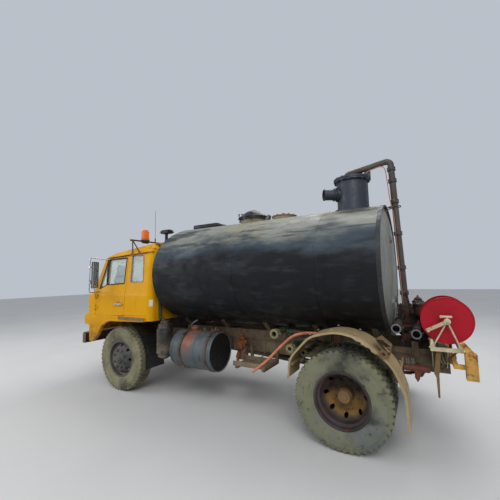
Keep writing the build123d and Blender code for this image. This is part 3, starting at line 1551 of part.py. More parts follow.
def cab_block(inset):
    # The cab's outside shape, or the same shape with every wall moved inwards by inset.
    sections = []
    for height, pitch, front, back, half_width, sink in CAB_SECTIONS:
        slope = radians(pitch)
        plane = Plane(
            origin=(FRONT_AXLE_X, 0, height - sink * inset),
            x_dir=(cos(slope), 0, -sin(slope)),
            z_dir=(sin(slope), 0, cos(slope)),
        )
        with BuildSketch(plane) as section:
            with Locations(((front + back) / 2, 0)):
                RectangleRounded(
                    front - back - 2 * inset, 2 * (half_width - inset), CAB_CORNER - inset
                )
        sections.append(section.sketch)
    return loft(sections, ruled=True, mode=Mode.PRIVATE)


def at_front_axle(points):
    return [(FRONT_AXLE_X + x, z) for x, z in points]


def side_prism(points, mode, start_y=SIDE_REACH, width=2 * SIDE_REACH):
    # An outline in side view, carried across the cab.
    with BuildSketch(side_plane(start_y)) as profile:
        outline(*at_front_axle(points))
    extrude(profile.sketch, amount=width, mode=mode)


def front_prism(points, start_x, length, mode):
    # An outline in front view, carried along the cab.
    with BuildSketch(cross_plane(start_x)) as profile:
        outline(*points)
    extrude(profile.sketch, amount=length, mode=mode)


cab_outside = cab_block(0)
cab_inside = cab_block(CAB_WALL)

with BuildPart() as cab_walls:
    add(cab_outside)
    add(cab_inside, mode=Mode.SUBTRACT)

with BuildPart() as cab_body:
    add(cab_walls.part)
    with BuildPart(mode=Mode.PRIVATE) as cab_floor:
        add(cab_inside)
        slab(
            FRONT_AXLE_X, 0, 3000, 3000, CAB_FLOOR_Z, CAB_FLOOR_Z + CAB_FLOOR, mode=Mode.INTERSECT
        )
    add(cab_floor.part)
    # The open underside: flat behind, an arch over the wheel, a low apron in front
    arch_line = [(FRONT_AXLE_X + x, z) for x, z, _ in CAB_ARCH]
    arch_bends = [bend for _, _, bend in CAB_ARCH]
    with BuildSketch(side_plane(SIDE_REACH)):
        with BuildLine():
            FilletPolyline(
                *arch_line,
                (FRONT_AXLE_X - 620, CAB_FLOOR_Z),
                (FRONT_AXLE_X - 900, CAB_FLOOR_Z),
                (FRONT_AXLE_X - 900, 600),
                (FRONT_AXLE_X + 832, 600),
                radius=arch_bends + [0, 0, 0, 0],
                close=True,
            )
        make_face()
    extrude(amount=2 * SIDE_REACH, mode=Mode.SUBTRACT)
    slab(
        FRONT_AXLE_X + 1000, 0, 400, 2 * APRON_HALF_WIDTH, 600, APRON_TOP_Z, mode=Mode.SUBTRACT
    )
    with BuildSketch(side_plane(SIDE_REACH)) as door_opening:
        outline(*at_front_axle(DOOR_LINE))
        offset(amount=DOOR_GAP, kind=Kind.INTERSECTION)
    extrude(amount=2 * SIDE_REACH, mode=Mode.SUBTRACT)
    side_prism(QUARTER_WINDOW, Mode.SUBTRACT)
    front_prism(WINDSCREEN, FRONT_AXLE_X + 300, 900, Mode.SUBTRACT)
    front_prism(REAR_WINDOW, CAB_BACK_X - 50, 200, Mode.SUBTRACT)
    # Engine hump through the floor
    hump_length = HUMP_FRONT_X - HUMP_REAR_X
    hump_middle_x = (HUMP_FRONT_X + HUMP_REAR_X) / 2
    slab(hump_middle_x, 0, hump_length, 2 * HUMP_HALF_WIDTH, CAB_FLOOR_Z, HUMP_TOP_Z)
    slab(
        hump_middle_x,
        0,
        hump_length - 2 * HUMP_WALL,
        2 * (HUMP_HALF_WIDTH - HUMP_WALL),
        CAB_FLOOR_Z - 10,
        HUMP_TOP_Z - HUMP_WALL,
        mode=Mode.SUBTRACT,
    )
    for side in (1, -1):
        # Wheel arch lip
        with BuildSketch(side_plane(max(side * LIP_OUTER_Y, side * LIP_INNER_Y))):
            lip_line = moved_inwards(arch_line, -LIP_WIDTH)
            with BuildLine():
                FilletPolyline(
                    *arch_line,
                    *reversed(lip_line),
                    radius=arch_bends + [bend + LIP_WIDTH if bend else 0 for bend in arch_bends[::-1]],
                    close=True,
                )
            make_face()
            with Locations((FRONT_AXLE_X + 100, CAB_SKIRT_Z + 400)):
                Rectangle(1400, 800, mode=Mode.INTERSECT)
        extrude(amount=LIP_OUTER_Y - LIP_INNER_Y)
        # Rain gutter above the door
        with BuildSketch(side_plane(max(side * GUTTER_OUTER_Y, side * (GUTTER_OUTER_Y - 40)))):
            outline(
                (FRONT_AXLE_X + 416, 2288),
                (CAB_BACK_X, 2338),
                (CAB_BACK_X, 2338 + GUTTER),
                (FRONT_AXLE_X + 416, 2288 + GUTTER),
            )
        extrude(amount=40)
        # Sill strip behind the door
        slab(
            FRONT_AXLE_X + (SILL_STRIP_FRONT + SILL_STRIP_REAR) / 2,
            side * (SILL_STRIP_Y - 25),
            SILL_STRIP_FRONT - SILL_STRIP_REAR,
            50,
            1200,
            1246,
        )
        # Tilt lug on the chassis pin
        lug_y = side * TILT_LUG_INNER_Y
        with BuildSketch(side_plane(max(lug_y, lug_y + side * TILT_LUG))):
            outline(
                (TILT_X, TILT_Z - TILT_LUG_RADIUS),
                (FRONT_AXLE_X + 940, TILT_Z - TILT_LUG_RADIUS),
                (FRONT_AXLE_X + 940, TILT_Z + TILT_LUG_RADIUS + 30),
                (TILT_X, TILT_Z + TILT_LUG_RADIUS),
            )
            with Locations((TILT_X, TILT_Z)):
                Circle(TILT_LUG_RADIUS)
                Circle(HINGE_PIN_RADIUS + RUNNING_FIT, mode=Mode.SUBTRACT)
        extrude(amount=TILT_LUG)
        # Door hinge pins with a lug above and below each barrel
        for hinge_z in DOOR_HINGES_Z:
            for lug_z in (hinge_z - HINGE_GAP - HINGE_LUG, hinge_z + HINGE_LENGTH + HINGE_GAP):
                slab(
                    DOOR_HINGE_X + 24,
                    side * (DOOR_HINGE_Y - 15),
                    26,
                    42,
                    lug_z,
                    lug_z + HINGE_LUG,
                )
                slab(DOOR_HINGE_X + 10, side * DOOR_HINGE_Y, 20, 12, lug_z, lug_z + HINGE_LUG)
            round_bar(
                (DOOR_HINGE_X, side * DOOR_HINGE_Y, hinge_z - HINGE_GAP - HINGE_LUG),
                (DOOR_HINGE_X, side * DOOR_HINGE_Y, hinge_z + HINGE_LENGTH + HINGE_GAP + HINGE_LUG),
                DOOR_PIN_RADIUS,
            )
keep(cab_body, "cab_body")


# Window glass, set in the middle of the walls' thickness
with BuildPart() as glass_sheet:
    add(cab_block(GLASS_INSET))
    add(cab_block(GLASS_INSET + GLASS_THICKNESS), mode=Mode.SUBTRACT)

with BuildPart() as cab_openings:
    side_prism(QUARTER_WINDOW, Mode.ADD)
    front_prism(WINDSCREEN, FRONT_AXLE_X + 300, 900, Mode.ADD)
    front_prism(REAR_WINDOW, CAB_BACK_X - 50, 200, Mode.ADD)

with BuildPart() as cab_glass:
    add(glass_sheet.part)
    add(cab_openings.part, mode=Mode.INTERSECT)
keep(cab_glass, "cab_glass")


# Doors, cut from the cab's walls, with a frame round a divided window and two hinge barrels
HANDLE_Y = 1150
for side, word in ((1, "left"), (-1, "right")):
    prism_start = SIDE_REACH if side > 0 else -600
    with BuildPart() as door:
        side_prism(DOOR_LINE, Mode.ADD, prism_start, SIDE_REACH - 600)
        add(cab_walls.part, mode=Mode.INTERSECT)
        for window in DOOR_WINDOWS:
            side_prism(window, Mode.SUBTRACT, prism_start, SIDE_REACH - 600)
        for hinge_z in DOOR_HINGES_Z:
            slab(DOOR_HINGE_X - 30, side * (DOOR_HINGE_Y - 20), 44, 34, hinge_z, hinge_z + HINGE_LENGTH)
            slab(DOOR_HINGE_X - 8, side * (DOOR_HINGE_Y - 4), 16, 10, hinge_z, hinge_z + HINGE_LENGTH)
            bottom = (DOOR_HINGE_X, side * DOOR_HINGE_Y, hinge_z)
            top = (DOOR_HINGE_X, side * DOOR_HINGE_Y, hinge_z + HINGE_LENGTH)
            round_bar(bottom, top, DOOR_BARREL_RADIUS)
            round_bar(bottom, top, DOOR_PIN_RADIUS + RUNNING_FIT, mode=Mode.SUBTRACT)
        slab(FRONT_AXLE_X + 36, side * (HANDLE_Y - 6), 200, 12, 1440, 1462)
        for foot_x in (FRONT_AXLE_X - 54, FRONT_AXLE_X + 126):
            slab(foot_x, side * (HANDLE_Y - 30), 20, 50, 1440, 1462)
    keep(door, f"door_{word}")

    with BuildPart() as door_glass:
        for window in DOOR_WINDOWS:
            side_prism(window, Mode.ADD, prism_start, SIDE_REACH - 600)
        add(glass_sheet.part, mode=Mode.INTERSECT)
    keep(door_glass, f"door_glass_{word}")


# Mirrors: a tube loop standing out from the door, with an upright mirror on it
MIRROR_TUBE = 10
MIRROR_OUT_Y = 1410
MIRROR_X = FRONT_AXLE_X + 446
MIRROR_LOW_Z = 1660
MIRROR_HIGH_Z = 2250
MIRROR_HEAD = ((1235, 1740), (1385, 2200))
MIRROR_THICKNESS = 36
MIRROR_TURN = 28
MIRROR_ANCHOR_LOW = (FRONT_AXLE_X + 640, 1108)
MIRROR_ANCHOR_HIGH = (FRONT_AXLE_X + 452, 1050)

for side, word in ((1, "left"), (-1, "right")):
    with BuildPart() as mirror:
        bent_bar(
            [
                (MIRROR_ANCHOR_HIGH[0], side * MIRROR_ANCHOR_HIGH[1], MIRROR_HIGH_Z),
                (MIRROR_X, side * MIRROR_OUT_Y, MIRROR_HIGH_Z + 30),
                (MIRROR_X, side * MIRROR_OUT_Y, MIRROR_LOW_Z),
                (MIRROR_ANCHOR_LOW[0], side * (MIRROR_ANCHOR_LOW[1]), MIRROR_LOW_Z),
            ],
            50,
            MIRROR_TUBE,
        )
        low, high = MIRROR_HEAD
        turn = radians(MIRROR_TURN)
        head_plane = Plane(
            origin=(MIRROR_X, side * (low[0] + high[0]) / 2, (low[1] + high[1]) / 2),
            x_dir=(-side * sin(turn), cos(turn), 0),
            z_dir=(-cos(turn), -side * sin(turn), 0),
        )
        with BuildSketch(head_plane) as head_outline:
            RectangleRounded(high[0] - low[0], high[1] - low[1], 24)
        extrude(head_outline.sketch, amount=MIRROR_THICKNESS / 2, both=True)
        for clamp_z in (low[1] + 90, high[1] - 90):
            round_bar(
                (MIRROR_X - 28, side * (high[0] - 22), clamp_z),
                (MIRROR_X, side * MIRROR_OUT_Y, clamp_z),
                9,
            )
        add(cab_outside, mode=Mode.SUBTRACT)
    keep(mirror, f"mirror_{word}")


# Grille panel and headlamps on the cab's front
GRILLE_FRONT_X = FRONT_AXLE_X + 1046
GRILLE_HALF_WIDTH = 560
GRILLE_BOTTOM_Z = 1060
GRILLE_TOP_Z = 1250
GRILLE_BARS = 4
BEZEL_FRONT_X = FRONT_AXLE_X + 1088
LAMP_INNER_Y = 575
LAMP_OUTER_Y = 965
LAMP_GLASS = 46
CORNER_LAMP_FRONT_X = FRONT_AXLE_X + 1034
CORNER_LAMP_OUTER_Y = 1110
with BuildPart() as front_grille:
    slab(
        (GRILLE_FRONT_X + FRONT_AXLE_X + 900) / 2,
        0,
        GRILLE_FRONT_X - FRONT_AXLE_X - 900,
        2 * GRILLE_HALF_WIDTH,
        GRILLE_BOTTOM_Z,
        GRILLE_TOP_Z,
    )
    pitch = (GRILLE_TOP_Z - GRILLE_BOTTOM_Z) / (GRILLE_BARS + 1)
    for number in range(GRILLE_BARS):
        slot_z = GRILLE_BOTTOM_Z + pitch * (number + 1)
        slab(
            GRILLE_FRONT_X,
            0,
            50,
            2 * GRILLE_HALF_WIDTH - 80,
            slot_z - 9,
            slot_z + 9,
            mode=Mode.SUBTRACT,
        )
    add(cab_outside, mode=Mode.SUBTRACT)
keep(front_grille, "front_grille")

with BuildPart() as headlamps:
    for side in (1, -1):
        middle_y = side * (LAMP_INNER_Y + LAMP_OUTER_Y) / 2
        slab(
            (BEZEL_FRONT_X + FRONT_AXLE_X + 900) / 2,
            middle_y,
            BEZEL_FRONT_X - FRONT_AXLE_X - 900,
            LAMP_OUTER_Y - LAMP_INNER_Y,
            GRILLE_BOTTOM_Z,
            GRILLE_TOP_Z,
        )
        for lens_y in (middle_y - 95, middle_y + 95):
            round_bar(
                (BEZEL_FRONT_X - LAMP_GLASS, lens_y, (GRILLE_BOTTOM_Z + GRILLE_TOP_Z) / 2),
                (BEZEL_FRONT_X + 5, lens_y, (GRILLE_BOTTOM_Z + GRILLE_TOP_Z) / 2),
                78,
                Mode.SUBTRACT,
            )
        slab(
            (CORNER_LAMP_FRONT_X + FRONT_AXLE_X + 880) / 2,
            side * (LAMP_OUTER_Y - 10 + CORNER_LAMP_OUTER_Y) / 2,
            CORNER_LAMP_FRONT_X - FRONT_AXLE_X - 880,
            CORNER_LAMP_OUTER_Y - LAMP_OUTER_Y + 10,
            GRILLE_BOTTOM_Z,
            GRILLE_TOP_Z,
        )
    add(cab_outside, mode=Mode.SUBTRACT)
keep(headlamps, "headlamps")

with BuildPart() as headlamp_lenses:
    for side in (1, -1):
        middle_y = side * (LAMP_INNER_Y + LAMP_OUTER_Y) / 2
        for lens_y in (middle_y - 95, middle_y + 95):
            round_bar(
                (BEZEL_FRONT_X - LAMP_GLASS, lens_y, (GRILLE_BOTTOM_Z + GRILLE_TOP_Z) / 2),
                (BEZEL_FRONT_X - 12, lens_y, (GRILLE_BOTTOM_Z + GRILLE_TOP_Z) / 2),
                78,
            )
keep(headlamp_lenses, "headlamp_lenses")


# Inside the cab: two seats, the dashboard, the steering column and wheel
SEAT_Y = 650
SEAT_WIDTH = 480
CAB_DECK_Z = CAB_FLOOR_Z + CAB_FLOOR
with BuildPart() as seats:
    for side in (1, -1):
        with BuildSketch(side_plane(side * SEAT_Y + SEAT_WIDTH / 2)):
            outline(
                *at_front_axle(
                    [
                        (-330, CAB_DECK_Z),
                        (90, CAB_DECK_Z),
                        (90, 1560),
                        (130, 1560),
                        (130, 1680),
                        (-290, 1660),
                        (-400, 2140),
                        (-500, 2120),
                        (-410, 1560),
                        (-330, 1560),
                    ]
                )
            )
        extrude(amount=SEAT_WIDTH)
keep(seats, "seats")

WHEEL_CENTRE = (FRONT_AXLE_X + 470, SEAT_Y, 1800)
STEERING_WHEEL_RADIUS = 225
COLUMN_LEAN = 42
with BuildPart() as dashboard:
    add(cab_inside)
    with BuildSketch(side_plane(SIDE_REACH)):
        outline(
            *at_front_axle(
                [(700, 1450), (640, 1480), (640, 1620), (720, 1655), (1100, 1655), (1100, 1450)]
            )
        )
    extrude(amount=2 * SIDE_REACH, mode=Mode.INTERSECT)
    lean_x = sin(radians(COLUMN_LEAN))
    lean_z = cos(radians(COLUMN_LEAN))
    round_bar(
        WHEEL_CENTRE,
        (WHEEL_CENTRE[0] + 330 * lean_x, SEAT_Y, WHEEL_CENTRE[2] - 330 * lean_z),
        30,
    )
    column_plane = Plane(origin=WHEEL_CENTRE, z_dir=(-lean_x, 0, lean_z))
    with BuildSketch(
        Plane(origin=WHEEL_CENTRE, x_dir=(0, 1, 0), z_dir=(lean_z, 0, lean_x))
    ) as wheel_rim:
        with Locations((STEERING_WHEEL_RADIUS, 0)):
            Circle(13)
    revolve(axis=Axis(WHEEL_CENTRE, (-lean_x, 0, lean_z)))
    with BuildSketch(column_plane) as spokes:
        Rectangle(34, 2 * STEERING_WHEEL_RADIUS)
        with Locations((0, 0)):
            Circle(50)
    extrude(amount=8)
keep(dashboard, "dashboard")


# Roof rack bar with its legs, and the beacon and aerial on it
RACK_X = FRONT_AXLE_X - 204
RACK_Z = 2570
RACK_HALF_WIDTH = 1080
RACK_TUBE = 14
RACK_LEG_X = FRONT_AXLE_X - 404
BEACON_Y = 770
BEACON_RADIUS = 68
AERIAL_Y = 530
with BuildPart() as roof_rack:
    round_bar((RACK_X, -RACK_HALF_WIDTH, RACK_Z), (RACK_X, RACK_HALF_WIDTH, RACK_Z), RACK_TUBE)
    for side in (1, -1):
        for foot_x in (RACK_X - 10, RACK_LEG_X):
            round_bar((RACK_X, side * 1046, RACK_Z), (foot_x, side * 1046, 2325), 10)
    with BuildSketch(side_plane(SIDE_REACH)):
        outline(
            (FRONT_AXLE_X + 416, 2200),
            (CAB_BACK_X, 2200),
            (CAB_BACK_X, 2338 + GUTTER),
            (FRONT_AXLE_X + 416, 2288 + GUTTER),
        )
    extrude(amount=2 * SIDE_REACH, mode=Mode.SUBTRACT)
    add(cab_outside, mode=Mode.SUBTRACT)
    round_bar((RACK_X, AERIAL_Y, RACK_Z), (RACK_X, AERIAL_Y, RACK_Z + 60), 9)
    round_bar((RACK_X, AERIAL_Y, RACK_Z + 50), (RACK_X, AERIAL_Y, 3190), 3)
keep(roof_rack, "roof_rack")

with BuildPart() as beacon:
    for low_z, high_z, radius in (
        (RACK_Z, RACK_Z + 40, BEACON_RADIUS + 8),
        (RACK_Z + 38, RACK_Z + 190, BEACON_RADIUS),
        (RACK_Z + 188, RACK_Z + 210, BEACON_RADIUS - 12),
    ):
        round_bar((RACK_X, BEACON_Y, low_z), (RACK_X, BEACON_Y, high_z), radius)
    round_bar(
        (RACK_X, BEACON_Y - 100, RACK_Z), (RACK_X, BEACON_Y + 100, RACK_Z), RACK_TUBE, Mode.SUBTRACT
    )
keep(beacon, "beacon")


# Side tray under the tank and the casting beside it, on the left rail
with BuildPart() as side_tray:
    slab(REAR_AXLE_X + 1300, 750, 500, 340, 640, 646)
    for edge_y in (583, 917):
        slab(REAR_AXLE_X + 1300, edge_y, 500, 6, 640, 705)
    for arm_x in (REAR_AXLE_X + 1090, REAR_AXLE_X + 1510):
        slab(arm_x, (RAIL_OUTER_Y + 900) / 2, 40, 900 - RAIL_OUTER_Y, 600, 640)
        slab(arm_x, RAIL_OUTER_Y + 20, 40, 40, 600, 820)
    slab(REAR_AXLE_X + 1510 + 135, RAIL_OUTER_Y + 50, 110, 100, 610, 912)
keep(side_tray, "side_tray")


# Orange hose hanging from the drain pipe's end past the tray
HOSE_RADIUS = 17.5
HOSE_Y = 905
with BuildPart() as orange_hose:
    bent_bar(
        [
            (HOSE_START_X, HOSE_START_Y, HOSE_START_Z),
            (HOSE_START_X, HOSE_START_Y + 180, HOSE_START_Z),
            (HOSE_START_X + 140, HOSE_START_Y + 200, HOSE_START_Z + 20),
            (REAR_AXLE_X + 590, HOSE_Y + 10, HOSE_START_Z + 10),
            (REAR_AXLE_X + 700, HOSE_Y + 20, 1070),
            (REAR_AXLE_X + 874, HOSE_Y + 20, 905),
            (REAR_AXLE_X + 1050, HOSE_Y + 40, 725),
            (REAR_AXLE_X + 1227, HOSE_Y + 40, 600),
        ],
        90,
        HOSE_RADIUS,
    )
keep(orange_hose, "orange_hose")
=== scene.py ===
from math import cos, pi, radians, sin, sqrt, tan

import bmesh
import bpy
from mathutils import Matrix, Vector


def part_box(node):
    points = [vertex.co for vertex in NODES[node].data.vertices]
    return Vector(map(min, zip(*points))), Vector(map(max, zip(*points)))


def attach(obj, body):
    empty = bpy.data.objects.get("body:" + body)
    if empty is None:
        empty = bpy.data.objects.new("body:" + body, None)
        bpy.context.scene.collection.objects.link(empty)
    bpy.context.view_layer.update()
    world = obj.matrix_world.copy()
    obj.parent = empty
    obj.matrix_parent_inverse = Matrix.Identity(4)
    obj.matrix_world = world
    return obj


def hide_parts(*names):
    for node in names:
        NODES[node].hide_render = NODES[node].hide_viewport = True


bl_info = {
    "name": "Tanker Truck Dressing", "version": (1, 0, 0), "blender": (4, 5, 0),
    "location": "View3D > Sidebar > Tanker",
    "description": "Dresses a packed tanker truck with its finishes and its small pieces",
    "category": "Object",
}

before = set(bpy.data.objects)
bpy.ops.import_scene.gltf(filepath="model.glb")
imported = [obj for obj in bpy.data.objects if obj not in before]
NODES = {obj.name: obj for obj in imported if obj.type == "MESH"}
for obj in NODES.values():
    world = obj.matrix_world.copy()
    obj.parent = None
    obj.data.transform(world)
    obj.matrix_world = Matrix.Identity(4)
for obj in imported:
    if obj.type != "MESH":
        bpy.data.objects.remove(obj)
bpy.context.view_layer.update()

REAR_AXLE_X = -1.84
FRONT_AXLE_X = REAR_AXLE_X + 3.754
AXLE_Z = 0.525
FRONT_WHEEL_Y = 0.976
DUAL_Y = 0.915
STUD_CIRCLE = 0.142
DUAL_HALF = 0.165
TANK_REAR_X = REAR_AXLE_X - 0.473
FUEL_X = REAR_AXLE_X + 1.8
BEACON_X, BEACON_Y = FRONT_AXLE_X - 0.204, 0.77
TURN = 2 * pi
SIDES = ((1, "left"), (-1, "right"))
UP, DOWN = (0, 0, 1), (0, 0, -1)
AHEAD, BACK, LEFT = (1, 0, 0), (-1, 0, 0), (0, 1, 0)


# Small helpers for modelling


def clear_selection():
    if bpy.context.object and bpy.context.object.mode != "OBJECT":
        bpy.ops.object.mode_set(mode="OBJECT")
    bpy.ops.object.select_all(action="DESELECT")


def edit_mode(action="SELECT"):
    bpy.ops.object.mode_set(mode="EDIT")
    bpy.ops.mesh.select_all(action=action)


def object_mode():
    bpy.ops.object.mode_set(mode="OBJECT")


def pick(piece):
    clear_selection()
    piece.select_set(True)
    bpy.context.view_layer.objects.active = piece


def named(name):
    piece = bpy.context.object
    piece.name = name
    piece.data.name = name
    return piece


def settle(piece):
    # The object goes to the origin and its place goes into its mesh.
    pick(piece)
    bpy.ops.object.transform_apply(location=True, rotation=True, scale=True)
    return piece


def joined(pieces, name):
    clear_selection()
    for piece in pieces:
        piece.select_set(True)
    bpy.context.view_layer.objects.active = pieces[0]
    if len(pieces) > 1:
        bpy.ops.object.join()
    return settle(named(name))


def apply_modifier(piece, kind, **settings):
    pick(piece)
    modifier = piece.modifiers.new(kind.title(), kind)
    for key, value in settings.items():
        setattr(modifier, key, value)
    bpy.ops.object.modifier_apply(modifier=modifier.name)
    return piece


def smooth(piece, angle=30):
    pick(piece)
    bpy.ops.object.shade_smooth_by_angle(angle=radians(angle))
    return piece


def turn_towards(direction):
    return Vector(direction).to_track_quat("Z", "Y").to_euler()


def rod(start, end, radius, sides=16):
    start, end = Vector(start), Vector(end)
    clear_selection()
    bpy.ops.mesh.primitive_cylinder_add(
        vertices=sides, radius=radius, depth=(end - start).length, location=(start + end) / 2,
        rotation=turn_towards(end - start),
    )
    return bpy.context.object


def block(centre, size, bevel=0.0, turn=(0, 0, 0)):
    clear_selection()
    bpy.ops.mesh.primitive_cube_add(size=1, location=centre, rotation=turn)
    piece = bpy.context.object
    piece.scale = size
    settle(piece)
    if bevel:
        edit_mode()
        bpy.ops.mesh.bevel(offset=bevel, segments=2, affect="EDGES")
        object_mode()
    return piece


def hex_bolt(place, direction, across, height):
    # A bolt head with a chamfered top, standing on place.
    direction = Vector(direction).normalized()
    place = Vector(place)
    clear_selection()
    bpy.ops.mesh.primitive_cylinder_add(
        vertices=6, radius=across / sqrt(3), depth=height, location=place + direction * height / 2,
        rotation=turn_towards(direction),
    )
    piece = bpy.context.object
    edit_mode("DESELECT")
    mesh = bmesh.from_edit_mesh(piece.data)
    for face in mesh.faces:
        face.select = face.normal.z > 0.9
    bmesh.update_edit_mesh(piece.data)
    bpy.ops.mesh.inset(thickness=across * 0.12, depth=across * 0.06)
    object_mode()
    return piece


def tube(points, radius, resolution=6, cyclic=False, smoothness=8):
    # A round tube on a smooth curve through the points.
    curve = bpy.data.curves.new("tube", "CURVE")
    curve.dimensions = "3D"
    curve.bevel_depth = radius
    curve.bevel_resolution = resolution // 2
    curve.use_fill_caps = True
    curve.resolution_u = smoothness
    spline = curve.splines.new("NURBS")
    spline.points.add(len(points) - 1)
    for point, place in zip(spline.points, points):
        point.co = (*place, 1)
    spline.order_u = 3
    spline.use_endpoint_u = not cyclic
    spline.use_cyclic_u = cyclic
    piece = bpy.data.objects.new("tube", curve)
    bpy.context.scene.collection.objects.link(piece)
    pick(piece)
    bpy.ops.object.convert(target="MESH")
    piece = bpy.context.object
    for polygon in piece.data.polygons:
        polygon.use_smooth = True
    return piece


def wire(points, edges):
    # Points and the edges between them, as a mesh in edit mode with all of it selected.
    mesh = bpy.data.meshes.new("wire")
    mesh.from_pydata([Vector(point) for point in points], edges, [])
    piece = bpy.data.objects.new("wire", mesh)
    bpy.context.scene.collection.objects.link(piece)
    pick(piece)
    edit_mode()
    return piece


def spun(profile, axis_point, axis, start_direction, steps=64, closed=True):
    # A solid of revolution: profile is a list of (distance along the axis, radius).
    axis = Vector(axis).normalized()
    out = Vector(start_direction).normalized()
    origin = Vector(axis_point)
    places = [origin + axis * along + out * radius for along, radius in profile]
    edges = [(i, i + 1) for i in range(len(places) - 1)]
    if closed:
        edges.append((len(places) - 1, 0))
    piece = wire(places, edges)
    bpy.ops.mesh.spin(steps=steps, angle=TURN, center=origin, axis=axis, use_auto_merge=True)
    bpy.ops.mesh.select_all(action="SELECT")
    bpy.ops.mesh.remove_doubles(threshold=0.00002)
    bpy.ops.mesh.normals_make_consistent(inside=False)
    object_mode()
    return piece


def turned(profile, place, axis, steps=40, closed=False):
    axis = Vector(axis)
    return spun(profile, place, axis, axis.orthogonal(), steps, closed)


def plate(outline, thickness, bevel=0.0):
    # A flat outline carried along the thickness vector.
    count = len(outline)
    piece = wire(outline, [(i, (i + 1) % count) for i in range(count)])
    bpy.ops.mesh.edge_face_add()
    bpy.ops.mesh.extrude_region_move(TRANSFORM_OT_translate={"value": Vector(thickness)})
    bpy.ops.mesh.select_all(action="SELECT")
    bpy.ops.mesh.normals_make_consistent(inside=False)
    if bevel:
        bpy.ops.mesh.bevel(offset=bevel, segments=1, affect="EDGES")
    object_mode()
    return piece


def ribbon(points, across, thickness, cyclic=True):
    # A flat band that follows the points, as wide as the across vector.
    count = len(points)
    edges = [(i, (i + 1) % count) for i in range(count if cyclic else count - 1)]
    piece = wire(points, edges)
    bpy.ops.mesh.extrude_region_move(TRANSFORM_OT_translate={"value": Vector(across)})
    bpy.ops.mesh.select_all(action="SELECT")
    bpy.ops.mesh.normals_make_consistent(inside=False)
    object_mode()
    return apply_modifier(piece, "SOLIDIFY", thickness=thickness, offset=0.0)


def ring(place, axis, major, minor, steps=48):
    clear_selection()
    bpy.ops.mesh.primitive_torus_add(
        location=place, rotation=turn_towards(axis), major_radius=major, minor_radius=minor,
        major_segments=steps, minor_segments=8,
    )
    return bpy.context.object


def beam(start, end, width, height, bevel=0.003):
    # A bar with a square section between two places.
    start, end = Vector(start), Vector(end)
    clear_selection()
    bpy.ops.mesh.primitive_cube_add(
        size=1, location=(start + end) / 2, rotation=turn_towards(end - start),
    )
    piece = bpy.context.object
    piece.scale = (width, height, (end - start).length)
    settle(piece)
    edit_mode()
    bpy.ops.mesh.bevel(offset=min(bevel, width / 3, height / 3), segments=2, affect="EDGES")
    object_mode()
    return piece


def bolts(places, direction, across, height):
    # One bolt head is modelled and copied to every place.
    model = settle(hex_bolt((0, 0, 0), direction, across, height))
    copies = [copy_of(model, "bolt", place) for place in places]
    bpy.data.objects.remove(model)
    return copies


def around(centre, axis, radius, count, start=0.0):
    # Places in a ring round an axis.
    axis = Vector(axis).normalized()
    first = axis.orthogonal().normalized()
    second = axis.cross(first)
    turns = [start + TURN * number / count for number in range(count)]
    return [Vector(centre) + radius * (cos(turn) * first + sin(turn) * second) for turn in turns]


def copy_of(piece, name, move=(0, 0, 0)):
    twin = piece.copy()
    twin.data = piece.data.copy()
    twin.name = name
    twin.data.name = name
    bpy.context.scene.collection.objects.link(twin)
    twin.data.transform(Matrix.Translation(move))
    return twin


def rear_at(x, y, z):
    # A place measured along the truck from the rear axle.
    return (REAR_AXLE_X + x, y, z)


def front_at(x, y, z):
    return (FRONT_AXLE_X + x, y, z)


def rear_line(*places):
    return [rear_at(*place) for place in places]


def front_line(*places):
    return [front_at(*place) for place in places]


def bolt_ring(centre, axis, radius, count, across, height):
    return bolts(around(centre, axis, radius, count), axis, across, height)


def placed(piece, body, slot, material, *nodes):
    piece.data.materials.clear()
    piece.data.materials.append(material)
    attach(piece, body)
    if nodes:
        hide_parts(*nodes)
    return piece


def finished(pieces, name, body, slot, finish, *nodes):
    # The pieces as one smooth piece that rides on the body.
    return placed(smooth(joined(pieces, name)), body, slot, FINISH[finish], *nodes)


def simple(pieces, name, body, slot, finish):
    # The pieces as one piece that keeps its flat faces.
    return placed(joined(pieces, name), body, slot, FINISH[finish])


# Finishes: every one is worked out from object coordinates


